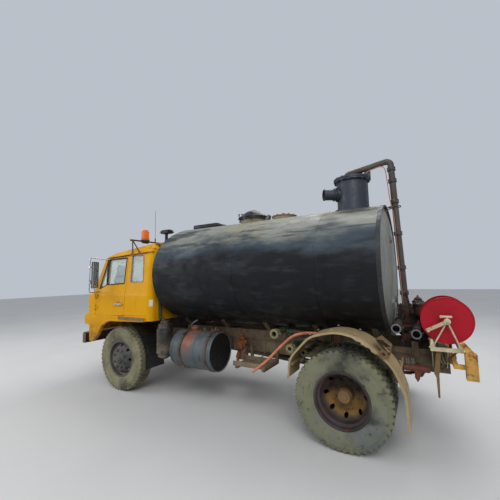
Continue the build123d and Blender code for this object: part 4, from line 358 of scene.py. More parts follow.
class Finish:
    """A material being put together node by node."""

    def __init__(self, name, roughness=0.7, metallic=0.0):
        self.material = bpy.data.materials.new(name)
        self.material.use_nodes = True
        self.tree = self.material.node_tree
        self.shader = self.tree.nodes["Principled BSDF"]
        self.shader.inputs["Roughness"].default_value = roughness
        self.shader.inputs["Metallic"].default_value = metallic
        self.coordinates = self.tree.nodes.new("ShaderNodeTexCoord").outputs["Object"]
        self.colour = None
        self.bumps = []

    def node(self, kind, **inputs):
        node = self.tree.nodes.new(kind)
        for key, value in inputs.items():
            self.join(node.inputs[key.replace("_", " ")], value)
        return node

    def join(self, socket, value):
        if isinstance(value, bpy.types.NodeSocket):
            self.tree.links.new(value, socket)
        else:
            socket.default_value = value

    def stretched(self, scale):
        node = self.node("ShaderNodeMapping", Vector=self.coordinates, Scale=scale)
        return node.outputs["Vector"]

    def noise(self, scale, detail=4.0, stretch=(1, 1, 1), roughness=0.55, distortion=0.0):
        node = self.node(
            "ShaderNodeTexNoise", Vector=self.stretched(stretch), Scale=scale, Detail=detail,
            Roughness=roughness, Distortion=distortion,
        )
        return node.outputs["Fac"]

    def spread(self, value, low, high, to_low=0.0, to_high=1.0):
        node = self.node("ShaderNodeMapRange")
        node.interpolation_type = "SMOOTHSTEP"
        self.join(node.inputs["Value"], value)
        node.inputs["From Min"].default_value = low
        node.inputs["From Max"].default_value = high
        node.inputs["To Min"].default_value = to_low
        node.inputs["To Max"].default_value = to_high
        return node.outputs["Result"]

    def math(self, operation, first, second=0.0):
        node = self.node("ShaderNodeMath")
        node.operation = operation
        node.use_clamp = operation in ("MULTIPLY", "ADD")
        self.join(node.inputs[0], first)
        self.join(node.inputs[1], second)
        return node.outputs["Value"]

    def product(self, first, *others):
        for other in others:
            first = self.math("MULTIPLY", first, other)
        return first

    def inverse(self, value):
        return self.math("SUBTRACT", 1.0, value)

    def height(self, low, high):
        parts = self.node("ShaderNodeSeparateXYZ", Vector=self.coordinates)
        return self.spread(parts.outputs["Z"], low, high)

    def along(self, axis, low, high):
        parts = self.node("ShaderNodeSeparateXYZ", Vector=self.coordinates)
        return self.spread(parts.outputs[axis], low, high)

    def base(self, colour):
        node = self.node("ShaderNodeRGB")
        node.outputs[0].default_value = (*linear(colour), 1)
        self.colour = node.outputs[0]

    def mix(self, colour, share):
        node = self.node("ShaderNodeMix")
        node.data_type = "RGBA"
        self.join(node.inputs[0], share)
        self.join(node.inputs[6], self.colour)
        node.inputs[7].default_value = (*linear(colour), 1)
        self.colour = node.outputs[2]

    def patches(self, colour, scale, low, high, share=1.0, **noise):
        mask = self.spread(self.noise(scale, **noise), low, high)
        if not isinstance(share, float) or share != 1.0:
            mask = self.math("MULTIPLY", mask, share)
        self.mix(colour, mask)
        return mask

    def roughness(self, scale, low, high, **noise):
        value = self.spread(self.noise(scale, **noise), 0.3, 0.7, low, high)
        self.join(self.shader.inputs["Roughness"], value)

    def bump(self, value, strength, distance):
        node = self.node("ShaderNodeBump", Strength=strength, Distance=distance)
        self.join(node.inputs["Height"], value)
        if self.bumps:
            self.join(node.inputs["Normal"], self.bumps[-1])
        self.bumps.append(node.outputs["Normal"])

    def grain(self, scale, detail, strength, depth):
        self.bump(self.noise(scale, detail=detail), strength, depth)

    def specular(self, level):
        self.shader.inputs["Specular IOR Level"].default_value = level

    def done(self):
        if self.colour is not None:
            self.join(self.shader.inputs["Base Color"], self.colour)
        if self.bumps:
            self.join(self.shader.inputs["Normal"], self.bumps[-1])
        return self.material


def linear(code):
    # A colour in linear light, from its six-figure code; one that is linear already stays.
    if not isinstance(code, str):
        return code
    parts = [int(code[i : i + 2], 16) / 255 for i in (0, 2, 4)]
    return tuple(p / 12.92 if p <= 0.04045 else ((p + 0.055) / 1.055) ** 2.4 for p in parts)


DUST = "8a7a60"
PALE_DUST = "a89a80"
RUST = "6b3a1e"
DARK_RUST = "3c2216"


def worn_paint(
    name, colour, fade=None, rust_share=0.5, rust_edge=(0.6, 0.7), dust_top=1.3, dust_share=0.6,
    gloss=(0.35, 0.6), grain=0.15, dust=DUST,
):
    finish = Finish(name)
    colour = linear(colour)
    finish.base(colour)
    finish.patches(fade or tuple(min(1, c * 1.25) for c in colour), 1.7, 0.42, 0.66, 0.7)
    finish.patches(tuple(c * 0.72 for c in colour), 6.0, 0.52, 0.7, 0.5, stretch=(1, 1, 0.35))
    rust = finish.patches(RUST, 9.0, *rust_edge, rust_share, detail=8.0, roughness=0.7)
    finish.patches(DARK_RUST, 23.0, 0.58, 0.7, finish.product(rust, 0.8), detail=6.0)
    low = finish.inverse(finish.height(dust_top - 0.9, dust_top))
    cloud = finish.spread(finish.noise(3.2, detail=7.0, roughness=0.65), 0.3, 0.7)
    finish.mix(dust, finish.product(low, cloud, dust_share))
    finish.roughness(14.0, *gloss)
    finish.bump(finish.noise(60.0, detail=5.0), grain, 0.002)
    finish.bump(rust, 0.2, 0.001)
    return finish.done()


def plain_finish(name, colour, roughness, metallic=0.0, dust_share=0.35, dust=PALE_DUST, scale=7.0):
    finish = Finish(name, roughness, metallic)
    colour = linear(colour)
    finish.base(colour)
    finish.patches(tuple(c * 0.6 for c in colour), scale, 0.45, 0.65, 0.6)
    finish.patches(dust, scale * 0.6, 0.45, 0.75, dust_share, detail=8.0, roughness=0.65)
    finish.roughness(scale * 2, max(roughness - 0.12, 0.05), min(roughness + 0.12, 1))
    finish.bump(finish.noise(scale * 9, detail=4.0), 0.12, 0.001)
    return finish.done()


def cab_yellow(paint):
    finish = Finish("cab_yellow_paint")
    finish.base(paint)
    finish.patches("ba8200", 1.4, 0.42, 0.68, 0.75)
    # Lighter patches stretched upright are a painted highlight on the paint
    finish.patches("e2a800", 2.6, 0.5, 0.72, 0.5, stretch=(1, 1, 0.5))
    streaks = finish.spread(finish.noise(9.0, stretch=(1, 1, 0.12), detail=6.0), 0.6, 0.76)
    finish.mix("94600c", finish.product(streaks, 0.22))
    low = finish.inverse(finish.height(0.8, 1.25))
    grime = finish.spread(finish.noise(5.0, detail=8.0, roughness=0.68), 0.35, 0.65)
    finish.mix("8a5f2a", finish.product(low, grime, 0.7))
    # Rust breaks out at the lower front corner and along the roof's rear edge
    corner = finish.product(low, finish.along("X", FRONT_AXLE_X + 0.45, FRONT_AXLE_X + 0.95))
    bitten = finish.spread(finish.noise(14.0, detail=9.0, roughness=0.7), 0.44, 0.6)
    finish.mix(RUST, finish.product(corner, bitten))
    rear = finish.inverse(finish.along("X", FRONT_AXLE_X - 0.7, FRONT_AXLE_X - 0.52))
    roof = finish.product(rear, finish.height(2.28, 2.42))
    finish.mix(RUST, finish.product(roof, bitten))
    rust = finish.patches(RUST, 12.0, 0.7, 0.76, 0.8, detail=9.0, roughness=0.72)
    finish.roughness(8.0, 0.24, 0.38)
    finish.specular(0.12)
    finish.grain(3.0, 2.0, 0.1, 0.01)
    finish.bump(rust, 0.15, 0.001)
    return finish.done()


def tank_black(paint):
    finish = Finish("tank_black_paint")
    finish.base(paint)
    # The upper half lightens to bluish grey towards the top, partly a painted sheen of the sky and
    # partly sun-faded dust, brushed dark in places
    cloud = finish.noise(1.6, detail=6.0, stretch=(0.7, 1, 2.2), roughness=0.62)
    lift = finish.math("ADD", finish.height(1.75, 2.75), finish.spread(cloud, 0.2, 0.8, -0.28, 0.28))
    finish.mix("3c464e", finish.spread(lift, 0.2, 0.62))
    finish.mix("86877c", finish.product(finish.spread(lift, 0.55, 0.95), 0.9))
    finish.patches("1d242a", 2.3, 0.56, 0.68, 0.75, stretch=(0.55, 1, 2.4), detail=5.0)
    finish.patches("2c3338", 7.0, 0.52, 0.7, 0.5, stretch=(0.5, 1, 1.6), detail=8.0)
    # Yellow-brown dust lies on the rear half of the top
    back = finish.inverse(finish.along("X", REAR_AXLE_X + 0.2, REAR_AXLE_X + 1.5))
    crest = finish.product(back, finish.height(2.45, 2.78))
    sand = finish.spread(finish.noise(
        3.4, detail=8.0, stretch=(0.6, 1, 1.5), roughness=0.66,
    ), 0.36, 0.62)
    finish.mix("746c4e", finish.product(crest, sand, 0.8))
    strokes = finish.spread(finish.noise(2.6, stretch=(0.35, 1, 3.2), detail=3.0), 0.55, 0.62)
    finish.mix("1c2430", finish.product(strokes, finish.height(2.1, 2.5), 0.75))
    # Yellow-brown spill below the manhole
    parts = finish.node("ShaderNodeSeparateXYZ", Vector=finish.coordinates)
    spill_x = REAR_AXLE_X + 1.42
    centre = finish.math("ABSOLUTE", finish.math("SUBTRACT", parts.outputs["X"], spill_x))
    width = finish.spread(centre, 0.15, 0.62, 1.0, 0.0)
    runs = finish.spread(finish.noise(7.0, stretch=(2.2, 0.5, 0.35), detail=7.0), 0.42, 0.66)
    upper = finish.height(2.25, 2.78)
    spill = finish.product(width, runs, upper)
    finish.mix("8d7a45", finish.product(spill, 0.75))
    # Splashed dust near the bottom
    low = finish.inverse(finish.height(1.1, 1.55))
    splash = finish.spread(finish.noise(4.0, detail=8.0, roughness=0.7), 0.45, 0.75)
    finish.mix(DUST, finish.product(low, splash, 0.4))
    # The rear head is bare silver-grey; its yellowish streaks are partly runs and partly a painted
    # reflection
    head = finish.inverse(finish.along("X", TANK_REAR_X + 0.03, TANK_REAR_X + 0.044))
    finish.mix("7c807c", finish.product(head, 0.9))
    down = finish.spread(finish.noise(6.0, stretch=(1, 1.6, 0.12), detail=6.0), 0.5, 0.66)
    finish.mix("9a8a52", finish.product(head, down, 0.8))
    finish.roughness(5.0, 0.42, 0.72)
    finish.specular(0.3)
    finish.grain(1.1, 1.0, 0.5, 0.02)
    finish.grain(90.0, 3.0, 0.08, 0.001)
    return finish.done()


def tyre_rubber(name, dirt, wet_share, shade):
    # Dried mud over dark rubber; the tread's shoulders stay dark.
    finish = Finish(name, 0.92)
    dirt = linear(dirt)
    finish.base("2e2d29")
    finish.patches(dirt, 3.0, 0.26, 0.55, 0.88, detail=7.0)
    finish.patches(shade, 1.9, 0.46, 0.62, 0.6, detail=5.0)
    finish.patches(tuple(c * 0.7 for c in dirt), 11.0, 0.45, 0.7, 0.6, detail=8.0, roughness=0.7)
    finish.patches("23241f", 2.2, 0.56, 0.64, wet_share, detail=3.0, stretch=(1, 0.3, 1))
    finish.patches("2a2923", 17.0, 0.58, 0.74, 0.6, detail=6.0)
    finish.grain(75.0, 6.0, 0.35, 0.002)
    return finish.done()


def rear_rim():
    # Dark steel with ochre mud caked in the lower half of the dish.
    finish = Finish("rear_rim_brown")
    finish.base("2c2422")
    finish.patches("4a403e", 3.0, 0.42, 0.66, 0.7)
    finish.patches(RUST, 9.0, 0.52, 0.68, 0.45, detail=8.0, roughness=0.7)
    place = finish.node("ShaderNodeSeparateXYZ", Vector=finish.coordinates)
    along = finish.math("SUBTRACT", place.outputs["X"], REAR_AXLE_X)
    above = finish.math("SUBTRACT", place.outputs["Z"], AXLE_Z)
    squares = finish.math("ADD", finish.product(along, along), finish.product(above, above))
    dish = finish.spread(finish.math("SQRT", squares), 0.2, 0.25, 1.0, 0.0)
    low = finish.spread(above, -0.06, 0.05, 1.0, 0.15)
    caked = finish.spread(finish.noise(6.0, detail=8.0, roughness=0.66), 0.3, 0.52)
    mud = finish.product(dish, low, caked)
    finish.mix("93703a", finish.product(mud, 0.9))
    hub = finish.spread(finish.math("SQRT", squares), 0.075, 0.11, 1.0, 0.0)
    finish.mix("8a6844", finish.product(hub, 0.55))
    finish.roughness(12.0, 0.6, 0.9)
    finish.grain(50.0, 5.0, 0.3, 0.002)
    return finish.done()


def clear_glass():
    finish = Finish("window_glass", 0.06)
    finish.base("c9d6d2")
    finish.patches("9fb0ab", 2.0, 0.4, 0.7, 0.6)
    finish.shader.inputs["Alpha"].default_value = 0.42
    finish.shader.inputs["Coat Weight"].default_value = 0.5
    return finish.done()


def amber():
    finish = Finish("amber_lens", 0.18)
    finish.base("ee7a08")
    finish.patches("c44a04", 30.0, 0.4, 0.6, 0.5, stretch=(1, 1, 0.1))
    finish.shader.inputs["Coat Weight"].default_value = 0.6
    return finish.done()


def fuel_grey():
    # Blue-grey paint with a rust run below the cap and black smears low down.
    finish = Finish("fuel_tank_grey")
    finish.base("3e484c")
    finish.patches("566064", 2.0, 0.4, 0.66, 0.7)
    finish.patches(DUST, 5.0, 0.46, 0.7, 0.5, detail=8.0, roughness=0.68)
    place = finish.node("ShaderNodeSeparateXYZ", Vector=finish.coordinates).outputs["X"]
    away = finish.math("ABSOLUTE", finish.math("SUBTRACT", place, FUEL_X + 0.455))
    run = finish.product(finish.spread(away, 0.05, 0.16, 1.0, 0.0), finish.height(0.62, 0.98))
    broken = finish.spread(finish.noise(9.0, detail=8.0, roughness=0.7, stretch=(1, 1, 0.5)), 0.34, 0.6)
    finish.mix("8a4a24", finish.product(run, broken))
    smear = finish.spread(finish.noise(6.0, detail=4.0, stretch=(1.6, 1, 0.4)), 0.58, 0.66)
    low = finish.inverse(finish.height(0.66, 0.86))
    finish.mix("0f0f10", finish.product(smear, low))
    finish.roughness(9.0, 0.4, 0.7)
    finish.grain(2.4, 2.0, 0.25, 0.01)
    finish.grain(70.0, 4.0, 0.12, 0.001)
    return finish.done()


def reel_red(paint):
    # Crimson discs, with the crank outside them in cream.
    finish = Finish("reel_red_paint")
    finish.base(paint)
    finish.patches("8d0b1b", 2.4, 0.45, 0.68, 0.6)
    finish.patches("5a1418", 14.0, 0.64, 0.72, 0.6, detail=8.0, stretch=(0.4, 1, 1.4))
    crank = finish.along("Y", 0.857, 0.861)
    finish.mix("b8a888", crank)
    flaked = finish.spread(finish.noise(34.0, detail=6.0), 0.58, 0.68)
    finish.mix(RUST, finish.product(crank, flaked))
    finish.roughness(9.0, 0.32, 0.52)
    finish.specular(0.25)
    finish.grain(55.0, 3.0, 0.08, 0.001)
    return finish.done()


def make_finishes(paints):
    made = {
        "cab": cab_yellow(paints.cab), "tank": tank_black(paints.tank),
        "front_rubber": tyre_rubber("front_tyre_rubber", "8e8869", 0.15, "77735c"),
        "rear_rubber": tyre_rubber("rear_tyre_rubber", "7d7d64", 0.8, "58636a"), "glass": clear_glass(),
        "amber": amber(),
        "frame": worn_paint(
            "frame_rust_brown", "32281f", "5a4732", 0.7, (0.5, 0.66), 1.6, 0.8, (0.7, 0.95), 0.4,
        ),
        "rusty": worn_paint(
            "rusty_iron", "4a2f20", "6a4227", 1.0, (0.4, 0.6), 1.9, 0.55, (0.75, 0.98), 0.6,
        ),
        "engine": worn_paint(
            "oily_iron", "1c1a18", "2c2824", 0.5, (0.55, 0.66), 1.5, 0.6, (0.5, 0.85), 0.4,
        ),
        "pipe": worn_paint(
            "dark_pipe_paint", "191a1c", "2b2d30", 0.7, (0.58, 0.68), 1.6, 0.35, (0.4, 0.65), 0.2,
        ),
        "slate": worn_paint(
            "slate_blue_paint", "2a2f38", "343a46", 0.35, (0.62, 0.7), 0.6, 0.2, (0.38, 0.6), 0.12,
        ),
        "fuel": fuel_grey(),
        "cream": worn_paint(
            "cream_fender_paint", "a08a62", "bda67c", 0.7, (0.54, 0.68), 1.7, 0.55, (0.55, 0.85), 0.25,
        ),
        "red": reel_red(paints.reel),
        "lamp_box": worn_paint(
            "lamp_box_yellow", "c8922c", "d8ab4c", 1.0, (0.48, 0.62), 1.5, 0.4, (0.6, 0.9), 0.3,
        ),
        "bumper": worn_paint(
            "bumper_paint", "3c2f24", "574330", 0.9, (0.45, 0.62), 1.2, 0.6, (0.6, 0.9), 0.3,
        ),
        "front_rim": worn_paint(
            "front_rim_grey", "3c3d3d", "5c5c5a", 0.35, (0.56, 0.68), 1.2, 0.3, (0.45, 0.7), 0.2,
        ),
        "rear_rim": rear_rim(), "black_plastic": plain_finish("black_plastic", "17171a", 0.6),
        "mudguard": plain_finish("black_mudguard", "121316", 0.55, dust_share=0.5, dust="5a4c3c"),
        "seat": plain_finish("seat_cloth", "2a2826", 0.9, dust_share=0.3),
        "bright": plain_finish("bright_trim", "c4c7c6", 0.25, 0.85, 0.12, scale=30.0),
        "steel": plain_finish("bare_steel", "8a8680", 0.42, 0.8, 0.35),
        "cream_steel": plain_finish("cream_steel", "c9bd9c", 0.6, 0.0, 0.4, DUST, 18.0),
        "rubber_black": plain_finish("black_rubber", "1a1a1a", 0.75, dust_share=0.45, dust="6a5c48"),
        "hose": plain_finish("orange_hose_rubber", "cf7a58", 0.6, 0.0, 0.45, "b09a80", 16.0),
        "green": plain_finish("green_pipe_paint", "3a442c", 0.6, 0.0, 0.5, DUST, 12.0),
        "lens_clear": plain_finish("lamp_lens", "c8ccd0", 0.12, 0.0, 0.15),
        "lens_red": plain_finish("red_lens", "8c1010", 0.2, 0.0, 0.3),
        "plate": plain_finish("pale_plate", "d6d3c6", 0.5, 0.0, 0.3, DUST, 14.0),
        "grey_strip": plain_finish("grey_sill_strip", "7a6c54", 0.6, 0.0, 0.5, RUST, 14.0),
        "head": worn_paint(
            "tank_head_grey", "6a6c66", "86877a", 0.5, (0.56, 0.68), 1.6, 0.6, (0.45, 0.75), 0.2,
            "8d8460",
        ),
        "lid": worn_paint(
            "manhole_lid_black", "15161a", "24272c", 0.4, (0.6, 0.7), 0.5, 0.1, (0.25, 0.45), 0.1,
        ),
        "hatch": worn_paint(
            "hatch_tan", "8b6a3f", "a4875a", 0.9, (0.46, 0.62), 0.5, 0.1, (0.6, 0.9), 0.3,
        ),
        "pipe_light": worn_paint(
            "riser_grey_brown", "443d38", "5c534b", 0.6, (0.56, 0.68), 0.5, 0.1, (0.5, 0.8), 0.25,
        ),
        "copper": worn_paint(
            "copper_line", "a8705c", "c08c74", 0.4, (0.6, 0.7), 0.5, 0.1, (0.35, 0.6), 0.1,
        ),
        "pump": worn_paint(
            "pump_rusty_black", "1c1512", "31241c", 0.75, (0.48, 0.66), 0.5, 0.2, (0.55, 0.9), 0.5,
        ),
        "ring": worn_paint(
            "pale_blue_steel", "4f595c", "6a7375", 0.5, (0.58, 0.7), 0.5, 0.1, (0.35, 0.6), 0.1,
        ),
        "fender_iron": worn_paint(
            "fender_bracket_brown", "6a5336", "8a6f4a", 0.9, (0.5, 0.64), 0.5, 0.2, (0.65, 0.9), 0.3,
        ),
        "red_brown": worn_paint(
            "red_brown_primer", "6a2d22", "83402f", 0.6, (0.54, 0.68), 1.3, 0.4, (0.6, 0.85), 0.2,
        ),
        "khaki": plain_finish("khaki_rubber", "7d7452", 0.75, 0.0, 0.5, DUST, 16.0),
        "rust_orange": worn_paint(
            "orange_rust", "774420", "94592b", 0.7, (0.46, 0.64), 0.9, 0.3, (0.75, 0.98), 0.6,
        ),
        "rail": worn_paint(
            "rail_bolts_brown", "4a382a", "6a5138", 0.9, (0.45, 0.62), 1.6, 0.6, (0.7, 0.95), 0.4,
        ),
        "dusty": worn_paint(
            "dusty_iron", "4d4438", "746650", 0.8, (0.48, 0.64), 1.6, 0.9, (0.75, 0.98), 0.4,
        ),
        "cleaner": worn_paint(
            "cleaner_black", "1a1d20", "2e3336", 0.4, (0.58, 0.68), 1.6, 0.6, (0.45, 0.7), 0.2,
        ),
        "deep_black": plain_finish("oily_black_painted_shade", "070708", 0.6, 0.0, 0.15, "1c1814", 9.0),
        "pale_seal": plain_finish("pale_window_seal", "8e918c", 0.6, 0.0, 0.4, DUST, 14.0),
    }
    return made


FINISH = {}

NODE_FINISH = {
    "cab": ("cab_body", "door_left", "door_right", "headlamps"), "tank": ("tank", "lid_bracket"),
    "lid": ("manhole_lid",), "front_rubber": ("tyre_front_left", "tyre_front_right"),
    "rear_rubber": ("tyres_rear_left", "tyres_rear_right"),
    "glass": ("cab_glass", "door_glass_left", "door_glass_right"), "amber": ("beacon",),
    "frame": (
        "chassis_frame", "cross_members", "tank_bearers", "tank_saddles", "leaf_springs", "front_axle",
        "rear_axle", "track_rod", "propshaft", "knuckle_left", "knuckle_right", "battery_box",
        "air_reservoir", "roof_rack",
    ),
    "dusty": ("side_tray",), "rusty": ("exhaust",), "pump": ("vacuum_pump", "suction_pipes"),
    "cream_steel": ("reel_stand",), "engine": ("engine_block",), "pipe_light": ("riser_pipe",),
    "cleaner": ("air_cleaner", "fuel_tank_straps"), "green": ("drain_pipes",), "slate": ("trap_drum",),
    "fuel": ("fuel_tank",), "cream": ("rear_fenders",), "red": ("hose_reel",),
    "lamp_box": ("tail_lamps",), "bumper": ("front_bumper",),
    "front_rim": ("wheel_front_left", "wheel_front_right"),
    "rear_rim": ("wheel_rear_left", "wheel_rear_right"), "black_plastic": ("front_grille", "dashboard"),
    "mudguard": ("front_mudguards",), "seat": ("seats",), "bright": ("mirror_left", "mirror_right"),
    "hose": ("orange_hose",), "lens_clear": ("headlamp_lenses",),
}


def paint_property(name, description, code):
    return bpy.props.FloatVectorProperty(
        name=name, description=description, subtype="COLOR", default=linear(code), size=3, min=0, max=1,
    )


class TankerPaintSettings(bpy.types.PropertyGroup):
    cab: paint_property("Cab", "Paint of the cab and its doors", "d69a00")
    tank: paint_property("Tank", "Paint of the tank below its dust", "07090e")
    reel: paint_property("Reel", "Paint of the hose reel", "a80f22")
    lugs: bpy.props.IntProperty(
        name="Tread blocks", description="Blocks in one row round a tyre", default=46, min=20, max=80,
    )


class TankerStageSettings(bpy.types.PropertyGroup):
    floor_colour: bpy.props.FloatVectorProperty(
        name="Floor colour", description="Colour of the plain floor", subtype="COLOR",
        default=(0.62, 0.61, 0.59), size=3,
    )
    lens: bpy.props.FloatProperty(
        name="Lens", description="Focal length of the camera", unit="CAMERA", default=21.38,
    )


class TANKER_OT_stage(bpy.types.Operator):
    """Sets up the floor, the light and the camera at the photograph's viewing angle"""

    bl_idname = "tanker.stage"
    bl_label = "Stage"

    def execute(self, context):
        settings = context.scene.tanker_stage
        clear_selection()
        bpy.ops.object.camera_add(location=rear_at(-0.824, 4.541, 1.857))
        camera = named("photo_camera")
        yaw, pitch, roll = (radians(v) for v in (29.68, 5.43, -1.17))
        ahead = Vector((sin(yaw) * cos(pitch), -cos(yaw) * cos(pitch), sin(pitch)))
        right = ahead.cross(Vector(UP)).normalized()
        over = right.cross(ahead)
        turned_right = cos(roll) * right + sin(roll) * over
        turned_up = cos(roll) * over - sin(roll) * right
        turn = Matrix((turned_right, turned_up, -ahead)).transposed()
        camera.rotation_euler = turn.to_euler()
        camera.data.lens = settings.lens
        camera.data.sensor_fit = "HORIZONTAL"
        camera.data.sensor_width = 36
        camera.data.clip_end = 200
        context.scene.camera = camera

        clear_selection()
        bpy.ops.mesh.primitive_plane_add(size=80)
        floor = named("floor")
        paint = Finish("floor_paint", 0.95)
        paint.base(tuple(settings.floor_colour))
        paint.patches(tuple(c * 0.93 for c in settings.floor_colour), 0.6, 0.4, 0.7, 0.6)
        floor.data.materials.append(paint.done())

        world = bpy.data.worlds.new("studio")
        context.scene.world = world
        world.use_nodes = True
        background = world.node_tree.nodes["Background"]
        background.inputs["Color"].default_value = (0.8, 0.86, 0.95, 1)
        background.inputs["Strength"].default_value = 0.62
        for name, kind, place, aim, energy, size in (
            ("key", "AREA", (-5.0, 9.0, 9.0), (0, 0, 1.5), 620, 6.0),
            ("fill", "AREA", (9.0, 6.0, 5.0), (1.5, 0, 1.5), 260, 6.0),
            ("top", "AREA", (-1.0, -4.0, 9.0), (0, 0, 2.0), 420, 7.0),
        ):
            clear_selection()
            bpy.ops.object.light_add(type=kind, location=place)
            light = named(name + "_light")
            light.data.energy = energy
            light.data.size = size
            light.rotation_euler = (Vector(aim) - Vector(place)).to_track_quat("-Z", "Y").to_euler()
        context.scene.view_settings.view_transform = "Standard"
        return {"FINISHED"}


class TANKER_OT_finishes(bpy.types.Operator):
    """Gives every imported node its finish"""

    bl_idname = "tanker.finishes"
    bl_label = "Finishes"

    def execute(self, context):
        FINISH.update(make_finishes(context.scene.tanker_paint))
        for key, names in NODE_FINISH.items():
            for name in names:
                node = NODES[name]
                node.data.materials.clear()
                node.data.materials.append(FINISH[key])
        return {"FINISHED"}


# The hose's own places, repeated from the part
HOSE_DIAMETER = 0.035
HOSE_START = rear_at(0.3, 0.59, 1.13)
HOSE_POINTS = (
    HOSE_START, rear_at(0.3, 0.77, 1.13), rear_at(0.44, 0.79, 1.15), rear_at(0.59, 0.915, 1.14),
    rear_at(0.7, 0.925, 1.07), rear_at(0.874, 0.925, 0.905), rear_at(1.05, 0.945, 0.725),
    rear_at(1.227, 0.945, 0.6),
)


class TANKER_OT_hose(bpy.types.Operator):
    """Makes the orange hose that hangs over the side tray"""

    bl_idname = "tanker.hose"
    bl_label = "Orange hose"

    def execute(self, context):
        curve = bpy.data.curves.new("orange_hose_line", "CURVE")
        curve.dimensions = "3D"
        curve.bevel_depth = HOSE_DIAMETER / 2
        curve.bevel_resolution = 6
        curve.resolution_u = 12
        curve.use_fill_caps = True
        spline = curve.splines.new("NURBS")
        spline.points.add(len(HOSE_POINTS) - 1)
        for point, place in zip(spline.points, HOSE_POINTS):
            point.co = (*place, 1)
        spline.order_u = 3
        spline.use_endpoint_u = True
        hose = bpy.data.objects.new("orange_hose_line", curve)
        context.scene.collection.objects.link(hose)
        hose.data.materials.append(FINISH["hose"])
        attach(hose, "chassis")
        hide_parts("orange_hose")
        return {"FINISHED"}


# Tyres and wheels

# Along the axle and radius, from the bead to the tread's middle
TYRE_HALF_PROFILE = (
    (0.1, 0.291), (0.11, 0.297), (0.117, 0.313), (0.124, 0.33), (0.127, 0.331), (0.133, 0.36),
    (0.1385, 0.395), (0.139, 0.42), (0.136, 0.448), (0.138, 0.45), (0.138, 0.458), (0.134, 0.461),
    (0.127, 0.487), (0.116, 0.506), (0.08, 0.511), (0.04, 0.5125),
)


def tyre_model(lugs):
    # One tyre about the origin, its axle along Y: a smooth body and rows of tread blocks.
    half = list(TYRE_HALF_PROFILE)
    profile = [(-along, radius) for along, radius in half] + half[::-1]
    body = spun(profile, (0, 0, 0), LEFT, UP, steps=96, closed=False)
    pitch = TURN / lugs
    blocks = []
    shoulder = ((0.07, 0.509), (0.1335, 0.466), (0.129, 0.487), (0.1165, 0.523), (0.07, 0.5243))
    middle = ((0.005, 0.51), (0.058, 0.51), (0.055, 0.5243), (0.009, 0.5245))
    for section, width, shift in ((shoulder, 0.042, 0.0), (middle, 0.044, 0.5)):
        for side in (1, -1):
            lug = plate([
                (-width / 2, side * along, radius)
                for along, radius in section
            ], (width, 0, 0), bevel=0.003)
            for number in range(lugs):
                turn = (number + shift + (0.25 if side > 0 else 0)) * pitch
                twin = copy_of(lug, "lug_copy")
                twin.data.transform(Matrix.Rotation(turn, 4, "Y"))
                blocks.append(twin)
            bpy.data.objects.remove(lug)
    whole = joined([body] + blocks, "tyre_model")
    return smooth(whole, 32)


class TANKER_OT_tyres(bpy.types.Operator):
    """Makes the block-treaded tyres, single in front and double at the rear"""

    bl_idname = "tanker.tyres"
    bl_label = "Tyres"

    def execute(self, context):
        model = tyre_model(context.scene.tanker_paint.lugs)
        for side, word in SIDES:
            front = copy_of(model, f"front_tyre_{word}", (FRONT_AXLE_X, side * FRONT_WHEEL_Y, AXLE_Z))
            placed(front, f"front_wheel_{word}", "tyre", FINISH["front_rubber"], f"tyre_front_{word}")
            pair = []
            for shift, turn in ((DUAL_HALF, 0.0), (-DUAL_HALF, 0.4)):
                twin = copy_of(model, "dual_tyre")
                twin.data.transform(Matrix.Rotation(turn, 4, "Y"))
                twin.data.transform(Matrix.Translation((REAR_AXLE_X, side * (DUAL_Y + shift), AXLE_Z)))
                pair.append(twin)
            rear = joined(pair, f"rear_tyres_{word}")
            placed(rear, f"rear_wheel_{word}", "tyre", FINISH["rear_rubber"], f"tyres_rear_{word}")
        bpy.data.objects.remove(model)
        return {"FINISHED"}


def nut_ring(centre, side, face_y, radius, count, across, height, stud=0.0):
    # Nuts in a ring round an axle, with their studs standing out of them.
    parts = []
    for number in range(count):
        turn = TURN * (number + 0.5) / count
        place = (centre[0] + radius * cos(turn), face_y, centre[2] + radius * sin(turn))
        parts.append(hex_bolt(place, (0, side, 0), across, height))
        if stud:
            tip = (place[0], face_y + side * (height + stud), place[2])
            parts.append(rod(place, tip, across * 0.3, sides=10))
    return joined(parts, "nuts")


